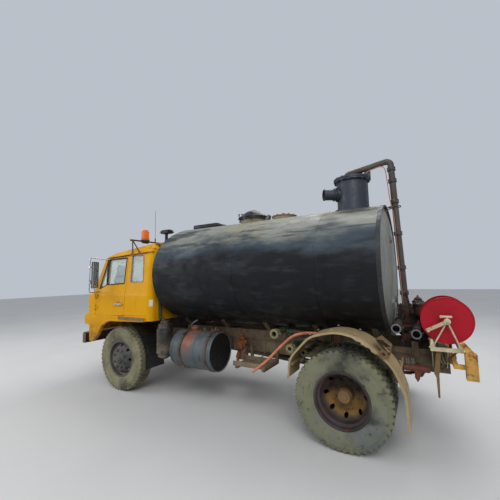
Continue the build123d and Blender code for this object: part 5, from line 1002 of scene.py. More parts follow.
class TANKER_OT_wheels(bpy.types.Operator):
    """Adds the wheel nuts, studs, hub caps and rim rings"""

    bl_idname = "tanker.wheels"
    bl_label = "Wheel details"

    def execute(self, context):
        for side, word in SIDES:
            body = f"front_wheel_{word}"
            centre = (FRONT_AXLE_X, 0, AXLE_Z)
            face = side * (FRONT_WHEEL_Y + 0.128)
            nuts = nut_ring(centre, side, face, STUD_CIRCLE, 8, 0.036, 0.024, 0.012)
            end = side * (FRONT_WHEEL_Y + 0.158)
            caps = nut_ring(centre, side, end, 0.052, 6, 0.016, 0.008)
            dome = spun(
                [
                    (0.0, 0.06), (0.01, 0.06), (0.016, 0.052), (0.016, 0.036), (0.026, 0.03),
                    (0.028, 0.0),
                ],
                (FRONT_AXLE_X, end - side * 0.002, AXLE_Z), (0, side, 0), UP, 32, False,
            )
            ring = spun([
                (0, 0.176), (0.004, 0.18), (0.004, 0.186), (0, 0.19), (-0.004, 0.186), (-0.004, 0.18),
            ], (FRONT_AXLE_X, face, AXLE_Z), (0, side, 0), UP, 48)
            hub = joined([nuts, caps, dome, ring], f"front_hub_details_{word}")
            placed(smooth(hub), body, "front_rim_paint", FINISH["front_rim"])
            body = f"rear_wheel_{word}"
            face = side * (DUAL_Y + 0.001)
            nuts = nut_ring((REAR_AXLE_X, 0, AXLE_Z), side, face, STUD_CIRCLE, 8, 0.038, 0.03, 0.022)
            end = side * (DUAL_Y + 0.15)
            caps = nut_ring((REAR_AXLE_X, 0, AXLE_Z), side, end, 0.056, 8, 0.018, 0.01)
            flange = side * (DUAL_Y + 0.108)
            studs = nut_ring((REAR_AXLE_X, 0, AXLE_Z), side, flange, 0.077, 8, 0.017, 0.016)
            dome = spun(
                [
                    (0.0, 0.066), (0.008, 0.066), (0.012, 0.06), (0.012, 0.04), (0.02, 0.036),
                    (0.02, 0.0),
                ],
                (REAR_AXLE_X, end - side * 0.002, AXLE_Z), (0, side, 0), UP, 32, False,
            )
            outer_rim = side * (DUAL_Y + DUAL_HALF + 0.116)
            lock = spun([
                (-0.003, 0.3), (0.003, 0.303), (0.005, 0.298), (0.004, 0.286), (-0.006, 0.279),
                (-0.012, 0.283),
            ], (REAR_AXLE_X, outer_rim, AXLE_Z), (0, side, 0), UP, 72)
            hub = joined([nuts, caps, studs, dome, lock], f"rear_hub_details_{word}")
            placed(smooth(hub), body, "rear_rim_paint", FINISH["rear_rim"])
        return {"FINISHED"}


# Cab

CAB_SIDE = ((0.76, 1.105), (1.25, 1.12), (1.6, 1.112), (1.645, 1.104), (2.312, 1.04))


def side_y(x, z):
    # Half width of the cab's wall at a height; the roof line rises towards the rear.
    top = CAB_SIDE[-1][0] - (x - FRONT_AXLE_X) * tan(radians(2.67))
    rows = CAB_SIDE[:-1] + ((top, CAB_SIDE[-1][1]),)
    for (low_z, low_y), (high_z, high_y) in zip(rows, rows[1:]):
        if z <= high_z:
            share = (z - low_z) / (high_z - low_z)
            return low_y + (high_y - low_y) * share
    return rows[-1][1]


def front_x(z):
    rows = ((0.76, 0.956), (1.25, 0.975), (1.6, 0.996), (1.645, 0.866), (2.285, 0.598))
    for (low_z, low_x), (high_z, high_x) in zip(rows, rows[1:]):
        if z <= high_z:
            share = (z - low_z) / (high_z - low_z)
            return FRONT_AXLE_X + low_x + (high_x - low_x) * share
    return FRONT_AXLE_X + rows[-1][1]


def on_side(outline, side, lift=0.0):
    # Points given from the front axle and the ground, put on the cab's side wall.
    return [front_at(x, side * (side_y(FRONT_AXLE_X + x, z) + lift), z) for x, z in outline]


def softened(outline, inset):
    # Each corner becomes two points, for a seal that turns it smoothly.
    points = []
    count = len(outline)
    for number, corner in enumerate(outline):
        here = Vector(corner)
        for other in (outline[number - 1], outline[(number + 1) % count]):
            way = (Vector(other) - here).normalized()
            points.append(tuple(here + way * inset))
            if other is outline[number - 1]:
                points.append(tuple(here))
    return points


DOOR_WINDOW_FRONT = ((0.427, 1.788), (0.62, 1.715), (0.455, 2.25), (0.427, 2.251))
DOOR_WINDOW_REAR = ((-0.075, 2.262), (-0.06, 1.81), (0.402, 1.792), (0.402, 2.252))
QUARTER_WINDOW = ((-0.532, 1.838), (-0.216, 1.83), (-0.205, 2.294), (-0.503, 2.289))
WINDSCREEN = ((-0.985, 1.672), (0.985, 1.672), (0.9, 2.276), (-0.9, 2.276))


def strip(points, height, depth, side, name):
    # A raised strip along the cab's side, rounded on its outer face.
    parts = []
    for start, end in zip(points, points[1:]):
        first = (start[0], start[1] - side * 0.004, start[2])
        last = (end[0], end[1] - side * 0.004, end[2])
        parts.append(rod(first, last, height / 2, sides=14))
    piece = joined(parts, name)
    middle = sum(p[1] for p in points) / len(points)
    for vertex in piece.data.vertices:
        vertex.co.y = middle + (vertex.co.y - middle) * depth / height * 2
    return smooth(piece, 50)


class TANKER_OT_cab_trim(bpy.types.Operator):
    """Adds the window seals, mouldings, handles, sill treads, wipers and plates of the cab"""

    bl_idname = "tanker.cab_trim"
    bl_label = "Cab trim"

    def execute(self, context):
        for side, word in SIDES:
            door = f"door_{word}"
            simple([
                tube(softened(on_side(DOOR_WINDOW_REAR, side, 0.001), 0.03), 0.009, cyclic=True),
                tube(softened(on_side(DOOR_WINDOW_FRONT[:3], side, 0.001), 0.03), 0.008, cyclic=True),
            ], f"door_window_seal_{word}", door, "black_plastic", "rubber_black")
            quarter = tube(softened(on_side(QUARTER_WINDOW, side, 0.001), 0.05), 0.008, cyclic=True)
            quarter = joined([quarter], f"quarter_window_seal_{word}")
            placed(quarter, "cab", "black_plastic", FINISH["pale_seal"])
            door_line = on_side(((-0.086, 1.271), (0.684, 1.253)), side)
            placed(
                strip(door_line, 0.02, 0.01, side, f"door_moulding_{word}"), door, "yellow_paint",
                FINISH["cab"],
            )
            rear_line = on_side(((-0.635, 1.296), (-0.11, 1.272)), side)
            front_line = on_side(((0.706, 1.252), (0.85, 1.248)), side)
            rear_strip = strip(rear_line, 0.02, 0.01, side, "rear_strip")
            front_strip = strip(front_line, 0.02, 0.01, side, "front_strip")
            simple([rear_strip, front_strip], f"side_moulding_{word}", "cab", "yellow_paint", "cab")
            tread = block(front_at(-0.315, side * 1.1555, 1.223), (0.646, 0.008, 0.046), 0.002)
            ribs = [
                block(front_at(-0.315, side * 1.16, z), (0.64, 0.003, 0.006), 0.001)
                for z in (1.208, 1.223, 1.238)
            ]
            simple([tread] + ribs, f"sill_tread_{word}", "cab", "frame_paint", "grey_strip")
            turn = radians(50)
            place = Vector((
                FRONT_AXLE_X - 0.64 - 0.1025 * sin(turn), side * (1.015 + 0.1025 * cos(turn)), 1.485,
            ))
            tag = block(place, (0.062, 0.004, 0.112), 0.001, (0, 0, side * turn))
            simple([tag], f"corner_plate_{word}", "cab", "bright_trim", "plate")
            simple([
                spun(
                    [(0, 0.016), (0.006, 0.016), (0.008, 0.012), (0.008, 0.0)],
                    front_at(-0.02, side * side_y(FRONT_AXLE_X, 1.5), 1.5), (0, side, 0), UP, 20, False,
                ),
                block(front_at(0.036, side * 1.1515, 1.451), (0.196, 0.006, 0.024), 0.002),
            ], f"door_handle_{word}", door, "bright_trim", "bright")
            post = [(0.4145, 1.79), (0.4145, 2.258)]
            simple(
                [rod(*on_side(post, side, 0.002), 0.011)], f"door_window_post_{word}", door,
                "black_plastic", "rubber_black",
            )
            recess = block(front_at(
                0.06, side * (side_y(FRONT_AXLE_X, 1.49) + 0.001), 1.486,
            ), (0.09, 0.005, 0.02), 0.002)
            simple([recess], f"handle_recess_{word}", door, "black_plastic", "hatch")
        # Windscreen seal and wipers
        screen = [(front_x(z) + 0.001, y, z) for y, z in softened(WINDSCREEN, 0.06)]
        simple(
            [tube(screen, 0.012, cyclic=True)], "windscreen_seal", "cab", "black_plastic",
            "rubber_black",
        )
        wipers = []
        for pivot_y, tip_y in ((0.62, 0.1), (-0.28, -0.8)):
            low = (front_x(1.655) + 0.012, pivot_y, 1.658)
            high = (front_x(1.93) + 0.022, tip_y, 1.93)
            wipers += [
                rod(low, high, 0.006, sides=8),
                rod(
                    (front_x(1.7) + 0.016, tip_y + 0.07, 1.7),
                    (front_x(2.16) + 0.016, tip_y - 0.07, 2.16), 0.006, sides=8,
                ),
                rod((low[0] - 0.03, low[1], low[2] - 0.02), (low[0] + 0.01, low[1], low[2]), 0.014),
            ]
        simple(wipers, "wipers", "cab", "black_plastic", "rubber_black")
        return {"FINISHED"}


class TANKER_OT_mirrors(bpy.types.Operator):
    """Adds the mirror backs, rims and clamps on the doors"""

    bl_idname = "tanker.mirrors"
    bl_label = "Mirror details"

    def execute(self, context):
        for side, word in SIDES:
            x = FRONT_AXLE_X + 0.446
            turn = radians(28)
            facing = Vector((-cos(turn), -side * sin(turn), 0))
            across = Vector((-side * sin(turn), cos(turn), 0))
            middle = Vector((x, side * 1.31, 1.97))
            back = block(middle - facing * 0.012, (0.026, 0.156, 0.466), 0.01, (0, 0, side * turn))
            corners = [
                middle + facing * 0.019 + across * a + Vector((0, 0, z))
                for a, z in ((-0.072, -0.225), (0.072, -0.225), (0.072, 0.225), (-0.072, 0.225))
            ]
            rim = tube(softened(corners, 0.03), 0.006, cyclic=True)
            shell = joined([back, rim], f"mirror_back_{word}")
            placed(shell, f"door_{word}", "black_plastic", FINISH["black_plastic"])
            clamps = [block((x, side * 1.402, z), (0.038, 0.034, 0.034), 0.004) for z in (1.83, 2.11)]
            clamps.append(rod((x + 0.09, side * 1.23, 1.66), (x, side * 1.41, 1.9), 0.007, sides=12))
            for z in (1.83, 2.11):
                clamps += bolts([(x - 0.019, side * 1.402, z)], BACK, 0.014, 0.008)
            simple(clamps, f"mirror_clamps_{word}", f"door_{word}", "bright_trim", "bright")
        return {"FINISHED"}


# Tank, from the truck's rear axle forward and from the ground up

TANK_Z = 1.957
TANK_TOP_Z = 2.812
TANK_FRONT_X = 1.046
# Centre across, centre above the tank's middle, radius, first and last angle
TANK_ARCS = (
    (0.494, 0.0, 0.7, -55.16, 55.16), (0.0, -0.7097, 1.5647, 55.16, 124.84),
    (-0.494, 0.0, 0.7, 124.84, 235.16), (0.0, 0.7097, 1.5647, 235.16, 304.84),
)
MANHOLE_X = REAR_AXLE_X + 1.67
HATCH_X = REAR_AXLE_X + 1.09
TRAP_X = REAR_AXLE_X - 0.018
TRAP_TOP_Z = TANK_TOP_Z + 0.49


def tank_outline(grow=0.0, steps=16):
    # Points round the tank's oval: small arcs at the sides, wide ones above and below.
    points = []
    for across, above, radius, first, last in TANK_ARCS:
        for step in range(steps):
            turn = radians(first + (last - first) * step / steps)
            points.append((
                across + (radius + grow) * cos(turn), TANK_Z + above + (radius + grow) * sin(turn),
            ))
    return points


class TANKER_OT_tank_seams(bpy.types.Operator):
    """Adds the weld seams round the tank and the hoop on its rear rim"""

    bl_idname = "tanker.tank_seams"
    bl_label = "Tank seams"

    def execute(self, context):
        seams = []
        for x in rear_at(1.387, REAR_AXLE_X + 0.25, TANK_FRONT_X - 0.003):
            loop = [(x, y, z) for y, z in tank_outline(0.001)]
            seams.append(tube(loop, 0.004, resolution=4, cyclic=True, smoothness=2))
        piece = joined(seams, "tank_seams")
        placed(smooth(piece, 35), "chassis", "tank_paint", FINISH["tank"])
        hoop = ribbon([
            (TANK_REAR_X - 0.003, y, z)
            for y, z in tank_outline(-0.004)
        ], (0.046, 0, 0), 0.018)
        placed(smooth(joined([hoop], "rear_hoop"), 35), "chassis", "tank_paint", FINISH["pipe"])
        # The rear head's ring seam and its inspection plugs
        ring = [
            (TANK_REAR_X - 0.006, 0.62 * y, TANK_Z + 0.62 * (z - TANK_Z))
            for y, z in tank_outline()
        ]
        plugs = [tube(ring, 0.004, resolution=4, cyclic=True, smoothness=2)]
        for y, z in ((0.3, 1.52), (-0.3, 1.52), (0.0, 2.35)):
            place = (TANK_REAR_X - 0.01, y, z)
            plugs += [turned(
                [(0, 0), (0, 0.062), (0.01, 0.062), (0.014, 0.04), (0.03, 0.034), (0.034, 0)], place,
                BACK, 28,
            ), *bolt_ring(place, BACK, 0.05, 6, 0.014, 0.016)]
        simple(plugs, "rear_head_plugs", "chassis", "tank_paint", "head")
        return {"FINISHED"}


class TANKER_OT_tank_top(bpy.types.Operator):
    """Adds the manhole's clamps, the hatch cover and the walking pad on the tank"""

    bl_idname = "tanker.tank_top"
    bl_label = "Tank top"

    def execute(self, context):
        clamps = [turned(
            [(0, 0.236), (0.0, 0.262), (0.014, 0.262), (0.014, 0.236)],
            (MANHOLE_X, 0, TANK_TOP_Z + 0.06), UP, 48, True,
        )]
        for angle in (0, 55, 110, -55, -110):
            turn = radians(angle)
            x, y = cos(turn), sin(turn)
            foot = (MANHOLE_X + 0.286 * x, 0.286 * y, TANK_TOP_Z + 0.05)
            top = (MANHOLE_X + 0.286 * x, 0.286 * y, TANK_TOP_Z + 0.15)
            clamps += [
                rod(foot, top, 0.008),
                beam(
                    (MANHOLE_X + 0.24 * x, 0.24 * y, foot[2] + 0.012),
                    (MANHOLE_X + 0.3 * x, 0.3 * y, foot[2] + 0.012), 0.036, 0.018,
                ),
                *bolts([(top[0], top[1], top[2] - 0.02)], UP, 0.022, 0.016),
                rod(
                    (top[0] - 0.03 * y, top[1] + 0.03 * x, top[2] - 0.006),
                    (top[0] + 0.03 * y, top[1] - 0.03 * x, top[2] - 0.006), 0.006,
                ),
            ]
        finished(clamps, "manhole_clamps", "chassis", "tank_paint", "lid")
        grip = tube([
            (MANHOLE_X + 0.2, -0.07, 2.96), (MANHOLE_X + 0.215, -0.07, 3.0),
            (MANHOLE_X + 0.215, -0.06, 3.004), (MANHOLE_X + 0.215, 0.06, 3.004),
            (MANHOLE_X + 0.215, 0.07, 3.0), (MANHOLE_X + 0.2, 0.07, 2.96),
        ], 0.008)
        finished([
            grip,
            turned([
                (0, 0.238), (0.006, 0.24), (0.01, 0.25), (0.006, 0.258), (0, 0.259),
            ], (MANHOLE_X, 0, 2.918), UP, 56, True),
            turned([
                (0, 0), (0, 0.04), (0.014, 0.038), (0.02, 0.02), (0.022, 0),
            ], (MANHOLE_X, 0, 3.034), UP, 28),
        ], "lid_handle", "manhole_lid", "tank_paint", "lid")
        finished([
            turned([
                (0, 0), (0, 0.204), (0.008, 0.212), (0.018, 0.212), (0.024, 0.2), (0.026, 0.165),
                (0.036, 0.12), (0.044, 0.05), (0.046, 0),
            ], (HATCH_X, 0, 2.8535), UP, 56),
            tube([
                (HATCH_X, -0.06, 2.89), (HATCH_X, -0.06, 2.926), (HATCH_X, 0.06, 2.926),
                (HATCH_X, 0.06, 2.89),
            ], 0.007),
            *bolt_ring((HATCH_X, 0, 2.876), UP, 0.186, 12, 0.02, 0.014),
        ], "hatch_cover", "chassis", "rusty_steel", "hatch")
        finished([
            block(rear_at(2.52, 0, 2.812), (0.54, 0.64, 0.086), 0.022),
            *[block(rear_at(2.52, y, 2.857), (0.5, 0.03, 0.01), 0.003) for y in (-0.22, 0.0, 0.22)],
        ], "walk_pad", "chassis", "black_plastic", "mudguard")
        return {"FINISHED"}


class TANKER_OT_trap(bpy.types.Operator):
    """Adds the trap's bolts, bands and gusset, and the fittings of the riser pipe"""

    bl_idname = "tanker.trap"
    bl_label = "Trap and riser"

    def execute(self, context):
        parts = [
            *bolt_ring((TRAP_X, 0, TRAP_TOP_Z), UP, 0.242, 16, 0.02, 0.012),
            *bolt_ring((TRAP_X, 0, TRAP_TOP_Z - 0.062), UP, 0.242, 16, 0.02, 0.014),
            *bolt_ring((TRAP_X, 0, TANK_TOP_Z + 0.017), UP, 0.242, 14, 0.022, 0.014),
        ]
        way = Vector((cos(radians(30)), sin(radians(30)), 0))
        middle = Vector((TRAP_X, 0, TANK_TOP_Z + 0.258))
        parts += [
            *[
                turned([
                    (0, 0.079), (0, wide - 0.004), (0.004, wide), (deep - 0.004, wide),
                    (deep, wide - 0.004), (deep, 0.079),
                ], middle + way * reach, way, 40, True)
                for reach, wide, deep in (
                    (0.222, 0.108, 0.016), (0.272, 0.096, 0.014), (0.412, 0.087, 0.02),
                )
            ],
            *bolt_ring(middle + way * 0.238, way, 0.098, 8, 0.016, 0.012),
            beam(
                (TRAP_X - 0.2215, 0.0, TANK_TOP_Z + 0.02), (TRAP_X - 0.2215, 0.0, TRAP_TOP_Z - 0.05),
                0.006, 0.006,
            ),
            *[
                tube([
                    (TRAP_X - 0.04, side * 0.17, TRAP_TOP_Z),
                    (TRAP_X - 0.04, side * 0.17, TRAP_TOP_Z + 0.04),
                    (TRAP_X + 0.04, side * 0.17, TRAP_TOP_Z + 0.04),
                    (TRAP_X + 0.04, side * 0.17, TRAP_TOP_Z),
                ], 0.006)
                for side in (1, -1)
            ],
        ]
        finished(parts, "trap_fittings", "chassis", "slate_paint", "slate")
        # Gusset from the lid to the riser, with its saddle and the copper line
        gusset = plate(rear_line(
            (-0.15, -0.005, TRAP_TOP_Z), (-0.262, -0.005, TRAP_TOP_Z),
            (-0.262, -0.005, TRAP_TOP_Z - 0.06), (-0.286, -0.005, TRAP_TOP_Z - 0.06),
            (-0.286, -0.005, TRAP_TOP_Z + 0.08), (-0.255, -0.005, TRAP_TOP_Z + 0.096),
            (-0.215, -0.005, TRAP_TOP_Z + 0.086),
        ), (0, 0.01, 0), 0.001)
        riser = [gusset]
        for drop in (0.13, 0.3, 0.6, 1.05, 1.52, 1.86):
            lean = -0.07 / 2.03
            place = Vector((REAR_AXLE_X - 0.555 + lean * drop, 0, 3.48 - drop))
            way = Vector((lean, 0, -1)).normalized()
            riser += [
                *[
                    turned([
                        (0, 0.051), (0, 0.056), (0.003, 0.058), (0.006, 0.056), (0.006, 0.051),
                    ], place + way * shift, way, 32, True)
                    for shift in (-0.02, 0.014)
                ],
                block(place + Vector((0.006, 0.06, 0)), (0.03, 0.016, 0.046), 0.003),
                *bolts([place + Vector((0.006, 0.068, 0))], LEFT, 0.014, 0.01),
            ]
        riser += [
            *bolt_ring(rear_at(-0.625, 0, 1.466), UP, 0.063, 6, 0.018, 0.012),
            *bolt_ring(rear_at(0.06, 0, TRAP_TOP_Z + 0.014), UP, 0.068, 6, 0.018, 0.012),
            *[rod(*rear_line((-0.5, y, 2.806), (-0.64, y, 2.806)), 0.007) for y in (0.052, -0.052)],
            tube(rear_line((-0.64, -0.052, 2.806), (-0.652, 0, 2.806), (-0.64, 0.052, 2.806)), 0.007),
            rod((TANK_REAR_X + 0.01, 0.11, 2.735), rear_at(-0.56, 0.04, 2.8), 0.007),
        ]
        finished(riser, "riser_fittings", "chassis", "dark_pipe_paint", "pipe_light")
        line = tube(rear_line(
            (-0.2, 0.03, TRAP_TOP_Z + 0.002), (-0.24, 0.036, 3.372), (-0.33, 0.04, 3.386),
            (-0.43, 0.042, 3.41), (-0.485, 0.044, 3.37), (-0.5, 0.046, 3.2), (-0.512, 0.048, 3.0),
            (-0.53, 0.048, 2.83), (-0.556, 0.052, 2.7), (-0.566, 0.054, 2.4), (-0.58, 0.054, 2.0),
            (-0.596, 0.056, 1.56), (-0.6, 0.06, 1.44),
        ), 0.006, resolution=8)
        simple([line], "copper_line", "chassis", "rusty_steel", "copper")
        return {"FINISHED"}


# Rear end

# The open pipes' distance behind the axle and height
PORTS = ((-0.548, 1.261), (-0.743, 1.213))
REEL_X = REAR_AXLE_X - 1.03
REEL_Z = 1.376
PUMP_Z = 1.21


class TANKER_OT_pump(bpy.types.Operator):
    """Adds the pump's covers, valves, filter and small pipes"""

    bl_idname = "tanker.pump"
    bl_label = "Pump details"

    def execute(self, context):
        rear, front = REAR_AXLE_X - 0.94, REAR_AXLE_X - 0.545
        parts = []
        cover = [
            (0, 0), (0, 0.14), (0.01, 0.144), (0.02, 0.136), (0.024, 0.07), (0.052, 0.06), (0.056, 0),
        ]
        parts += [
            turned(cover, (rear, 0, PUMP_Z), BACK, 48),
            *bolt_ring((rear - 0.018, 0, PUMP_Z), BACK, 0.118, 10, 0.018, 0.012),
            turned(cover, (front, 0, PUMP_Z), AHEAD, 48),
            *bolt_ring((front + 0.018, 0, PUMP_Z), AHEAD, 0.118, 10, 0.018, 0.012),
            rod((front + 0.04, 0, PUMP_Z), (front + 0.2, 0, PUMP_Z), 0.022),
        ]
        # Valve chest plates on the manifold's sides
        for side in (1, -1):
            parts.append(block(rear_at(-0.695, side * 0.166, 1.335), (0.25, 0.014, 0.19), 0.004))
            places = [
                (REAR_AXLE_X - 0.695 + dx, side * 0.172, 1.335 + dz)
                for dx in (-0.105, 0, 0.105)
                for dz in (-0.075, 0.075)
            ]
            parts += bolts(places, (0, side, 0), 0.018, 0.012)
        # Filter pot, relief valve and oil cup
        for x, y, z, radius, tall in (
            (REAR_AXLE_X - 0.8, 0.21, 1.33, 0.078, 0.21),
            (REAR_AXLE_X - 0.77, -0.09, 1.448, 0.04, 0.12),
            (REAR_AXLE_X - 0.735, 0.09, 1.448, 0.03, 0.09),
            (REAR_AXLE_X - 0.88, 0.235, 1.11, 0.05, 0.13),
        ):
            parts += [turned(
                [
                    (0, 0), (0, radius * 0.7), (tall * 0.12, radius), (tall * 0.7, radius),
                    (tall * 0.72, radius * 1.16), (tall * 0.8, radius * 1.16),
                    (tall * 0.82, radius * 0.9), (tall * 0.94, radius * 0.5), (tall, radius * 0.3),
                    (tall, 0),
                ],
                (x, y, z), UP, 32,
            ), *bolts([(x, y, z + tall)], UP, radius * 0.5, 0.016)]
        parts += bolt_ring(rear_at(-0.8, 0.21, 1.33 + 0.168), UP, 0.082, 8, 0.014, 0.012)
        # Four-way valve with its lever, and the small pipes round it
        parts += [
            rod(*rear_line((-0.695, 0.172, 1.4), (-0.695, 0.26, 1.4)), 0.03),
            beam(*rear_line((-0.695, 0.268, 1.39), (-0.655, 0.268, 1.59)), 0.01, 0.028),
            rod(*rear_line((-0.655, 0.268, 1.58), (-0.648, 0.268, 1.64)), 0.014),
            *bolts([rear_at(-0.695, 0.273, 1.4)], LEFT, 0.026, 0.014),
            *[
                tube([rear_at(x, y, z) for x, y, z in points], radius)
                for points, radius in (
                    ((
                        (-0.76, 0.18, 1.29), (-0.76, 0.3, 1.29), (-0.76, 0.33, 1.24),
                        (-0.76, 0.33, 1.01),
                    ), 0.016),
                    ((
                        (-0.625, 0.16, 1.35), (-0.6, 0.25, 1.36), (-0.58, 0.3, 1.3),
                        (-0.58, 0.31, 1.01),
                    ), 0.012),
                    ((
                        (-0.9, 0.12, 1.3), (-0.905, 0.21, 1.33), (-0.88, 0.28, 1.3), (-0.86, 0.3, 1.2),
                        (-0.86, 0.3, 1.01),
                    ), 0.01),
                    ((
                        (-0.56, 0.08, 1.44), (-0.54, 0.13, 1.5), (-0.545, 0.18, 1.46),
                        (-0.55, 0.22, 1.32), (-0.56, 0.24, 1.262),
                    ), 0.009),
                    ((
                        (-0.8, -0.17, 1.33), (-0.8, -0.3, 1.33), (-0.8, -0.33, 1.28),
                        (-0.8, -0.33, 1.01),
                    ), 0.02),
                )
            ],
        ]
        base = [
            rear_at(x, side * 0.345, 1.005)
            for side in (1, -1)
            for x in (-0.58, -0.69, -0.8, -0.905)
        ]
        parts += bolts(base, UP, 0.026, 0.018)
        finished(parts, "pump_fittings", "chassis", "rusty_steel", "pump")
        # Pale end rings, camlocks and flanges on the two open pipes
        finished([
            *[
                turned([
                    (0, 0.037), (0, 0.048), (0.006, 0.053), (0.02, 0.053), (0.024, 0.047),
                    (0.022, 0.037),
                ], rear_at(x, 0.778, z), LEFT, 40, True)
                for x, z in PORTS
            ],
        ], "port_rings", "chassis", "rusty_steel", "ring")
        locks = []
        for x, z in PORTS:
            for side in (1, -1):
                locks += [
                    block((REAR_AXLE_X + x + side * 0.06, 0.69, z), (0.02, 0.06, 0.016), 0.003),
                    tube([
                        (REAR_AXLE_X + x + side * 0.07, 0.7, z),
                        (REAR_AXLE_X + x + side * 0.078, 0.66, z),
                        (REAR_AXLE_X + x + side * 0.07, 0.61, z - 0.01),
                    ], 0.006),
                ]
            locks += bolt_ring(rear_at(x, 0.178, z), LEFT, 0.052, 6, 0.013, 0.01)
        finished(locks, "port_locks", "chassis", "rusty_steel", "pump")
        return {"FINISHED"}


class TANKER_OT_reel(bpy.types.Operator):
    """Adds the reel's pawl, hub plate and rim beads, and its stand's bolts"""

    bl_idname = "tanker.reel"
    bl_label = "Reel details"

    def execute(self, context):
        beads = [*[ring((REEL_X, y, REEL_Z), LEFT, 0.2365, 0.004) for y in (0.44, 0.445, 0.785, 0.79)]]
        for y, side in ((0.7905, 1), (0.4395, -1)):
            beads += bolt_ring((REEL_X, y, REEL_Z), (0, side, 0), 0.06, 6, 0.014, 0.006)
        finished(beads, "reel_beads", "hose_reel", "red_paint", "red")
        hub = [turned(
            [
                (0, 0), (0, 0.03), (0.01, 0.03), (0.014, 0.024), (0.014, 0.015), (0.024, 0.013),
                (0.026, 0),
            ],
            (REEL_X, 0.88, REEL_Z), LEFT, 28,
        ), *bolts([(REEL_X - 0.002, 0.9, REEL_Z)], LEFT, 0.02, 0.01)]
        turn = radians(28)
        tip = (REEL_X + 0.197 * cos(turn), 0.882, REEL_Z - 0.197 * sin(turn))
        hub.append(ring(tip, LEFT, 0.016, 0.003))
        finished(hub, "crank_hub", "hose_reel", "frame_paint", "cream_steel")
        pawl = [
            beam(
                (REEL_X - 0.045, 0.85, REEL_Z + 0.046), (REEL_X + 0.062, 0.85, REEL_Z + 0.046), 0.016,
                0.022,
            ),
            beam((REEL_X, 0.85, REEL_Z + 0.02), (REEL_X, 0.85, REEL_Z + 0.05), 0.016, 0.03),
            rod((REEL_X + 0.05, 0.842, REEL_Z + 0.046), (REEL_X + 0.05, 0.862, REEL_Z + 0.046), 0.014),
        ]
        for y in (0.4, 0.85):
            for x in (-0.882, -1.132):
                foot = rear_at(x, y, 1.105)
                pawl += [block(foot, (0.06, 0.036, 0.01), 0.002), *bolts(
                    [(foot[0] + 0.018, y, 1.11), (foot[0] - 0.018, y, 1.11)], UP, 0.012, 0.008,
                )]
        # Upright lugs on the stand's front corner
        pawl.append(plate(
            rear_line(
                (-0.862, 0.866, 1.1), (-0.906, 0.866, 1.1), (-0.892, 0.866, 1.18),
                (-0.872, 0.866, 1.192),
            ),
            (0, -0.01, 0), 0.001,
        ))
        finished(pawl, "stand_fittings", "chassis", "frame_paint", "cream_steel")
        # The tapered stay below the stand and its braces
        finished([
            plate(rear_line(
                (-0.955, 0.846, 1.07), (-0.915, 0.846, 1.07), (-0.88, 0.846, 0.84),
                (-0.898, 0.846, 0.8), (-0.902, 0.846, 0.6), (-0.92, 0.846, 0.6), (-0.926, 0.846, 0.82),
            ), (0, -0.008, 0), 0.001),
            rod(*rear_line((-0.905, 0.842, 0.87), (-0.905, 0.424, 0.8)), 0.01),
            rod(*rear_line((-1.09, 0.842, 1.07), (-0.95, 0.425, 0.8)), 0.01),
        ], "stand_stay", "chassis", "cream_paint", "fender_iron")
        return {"FINISHED"}


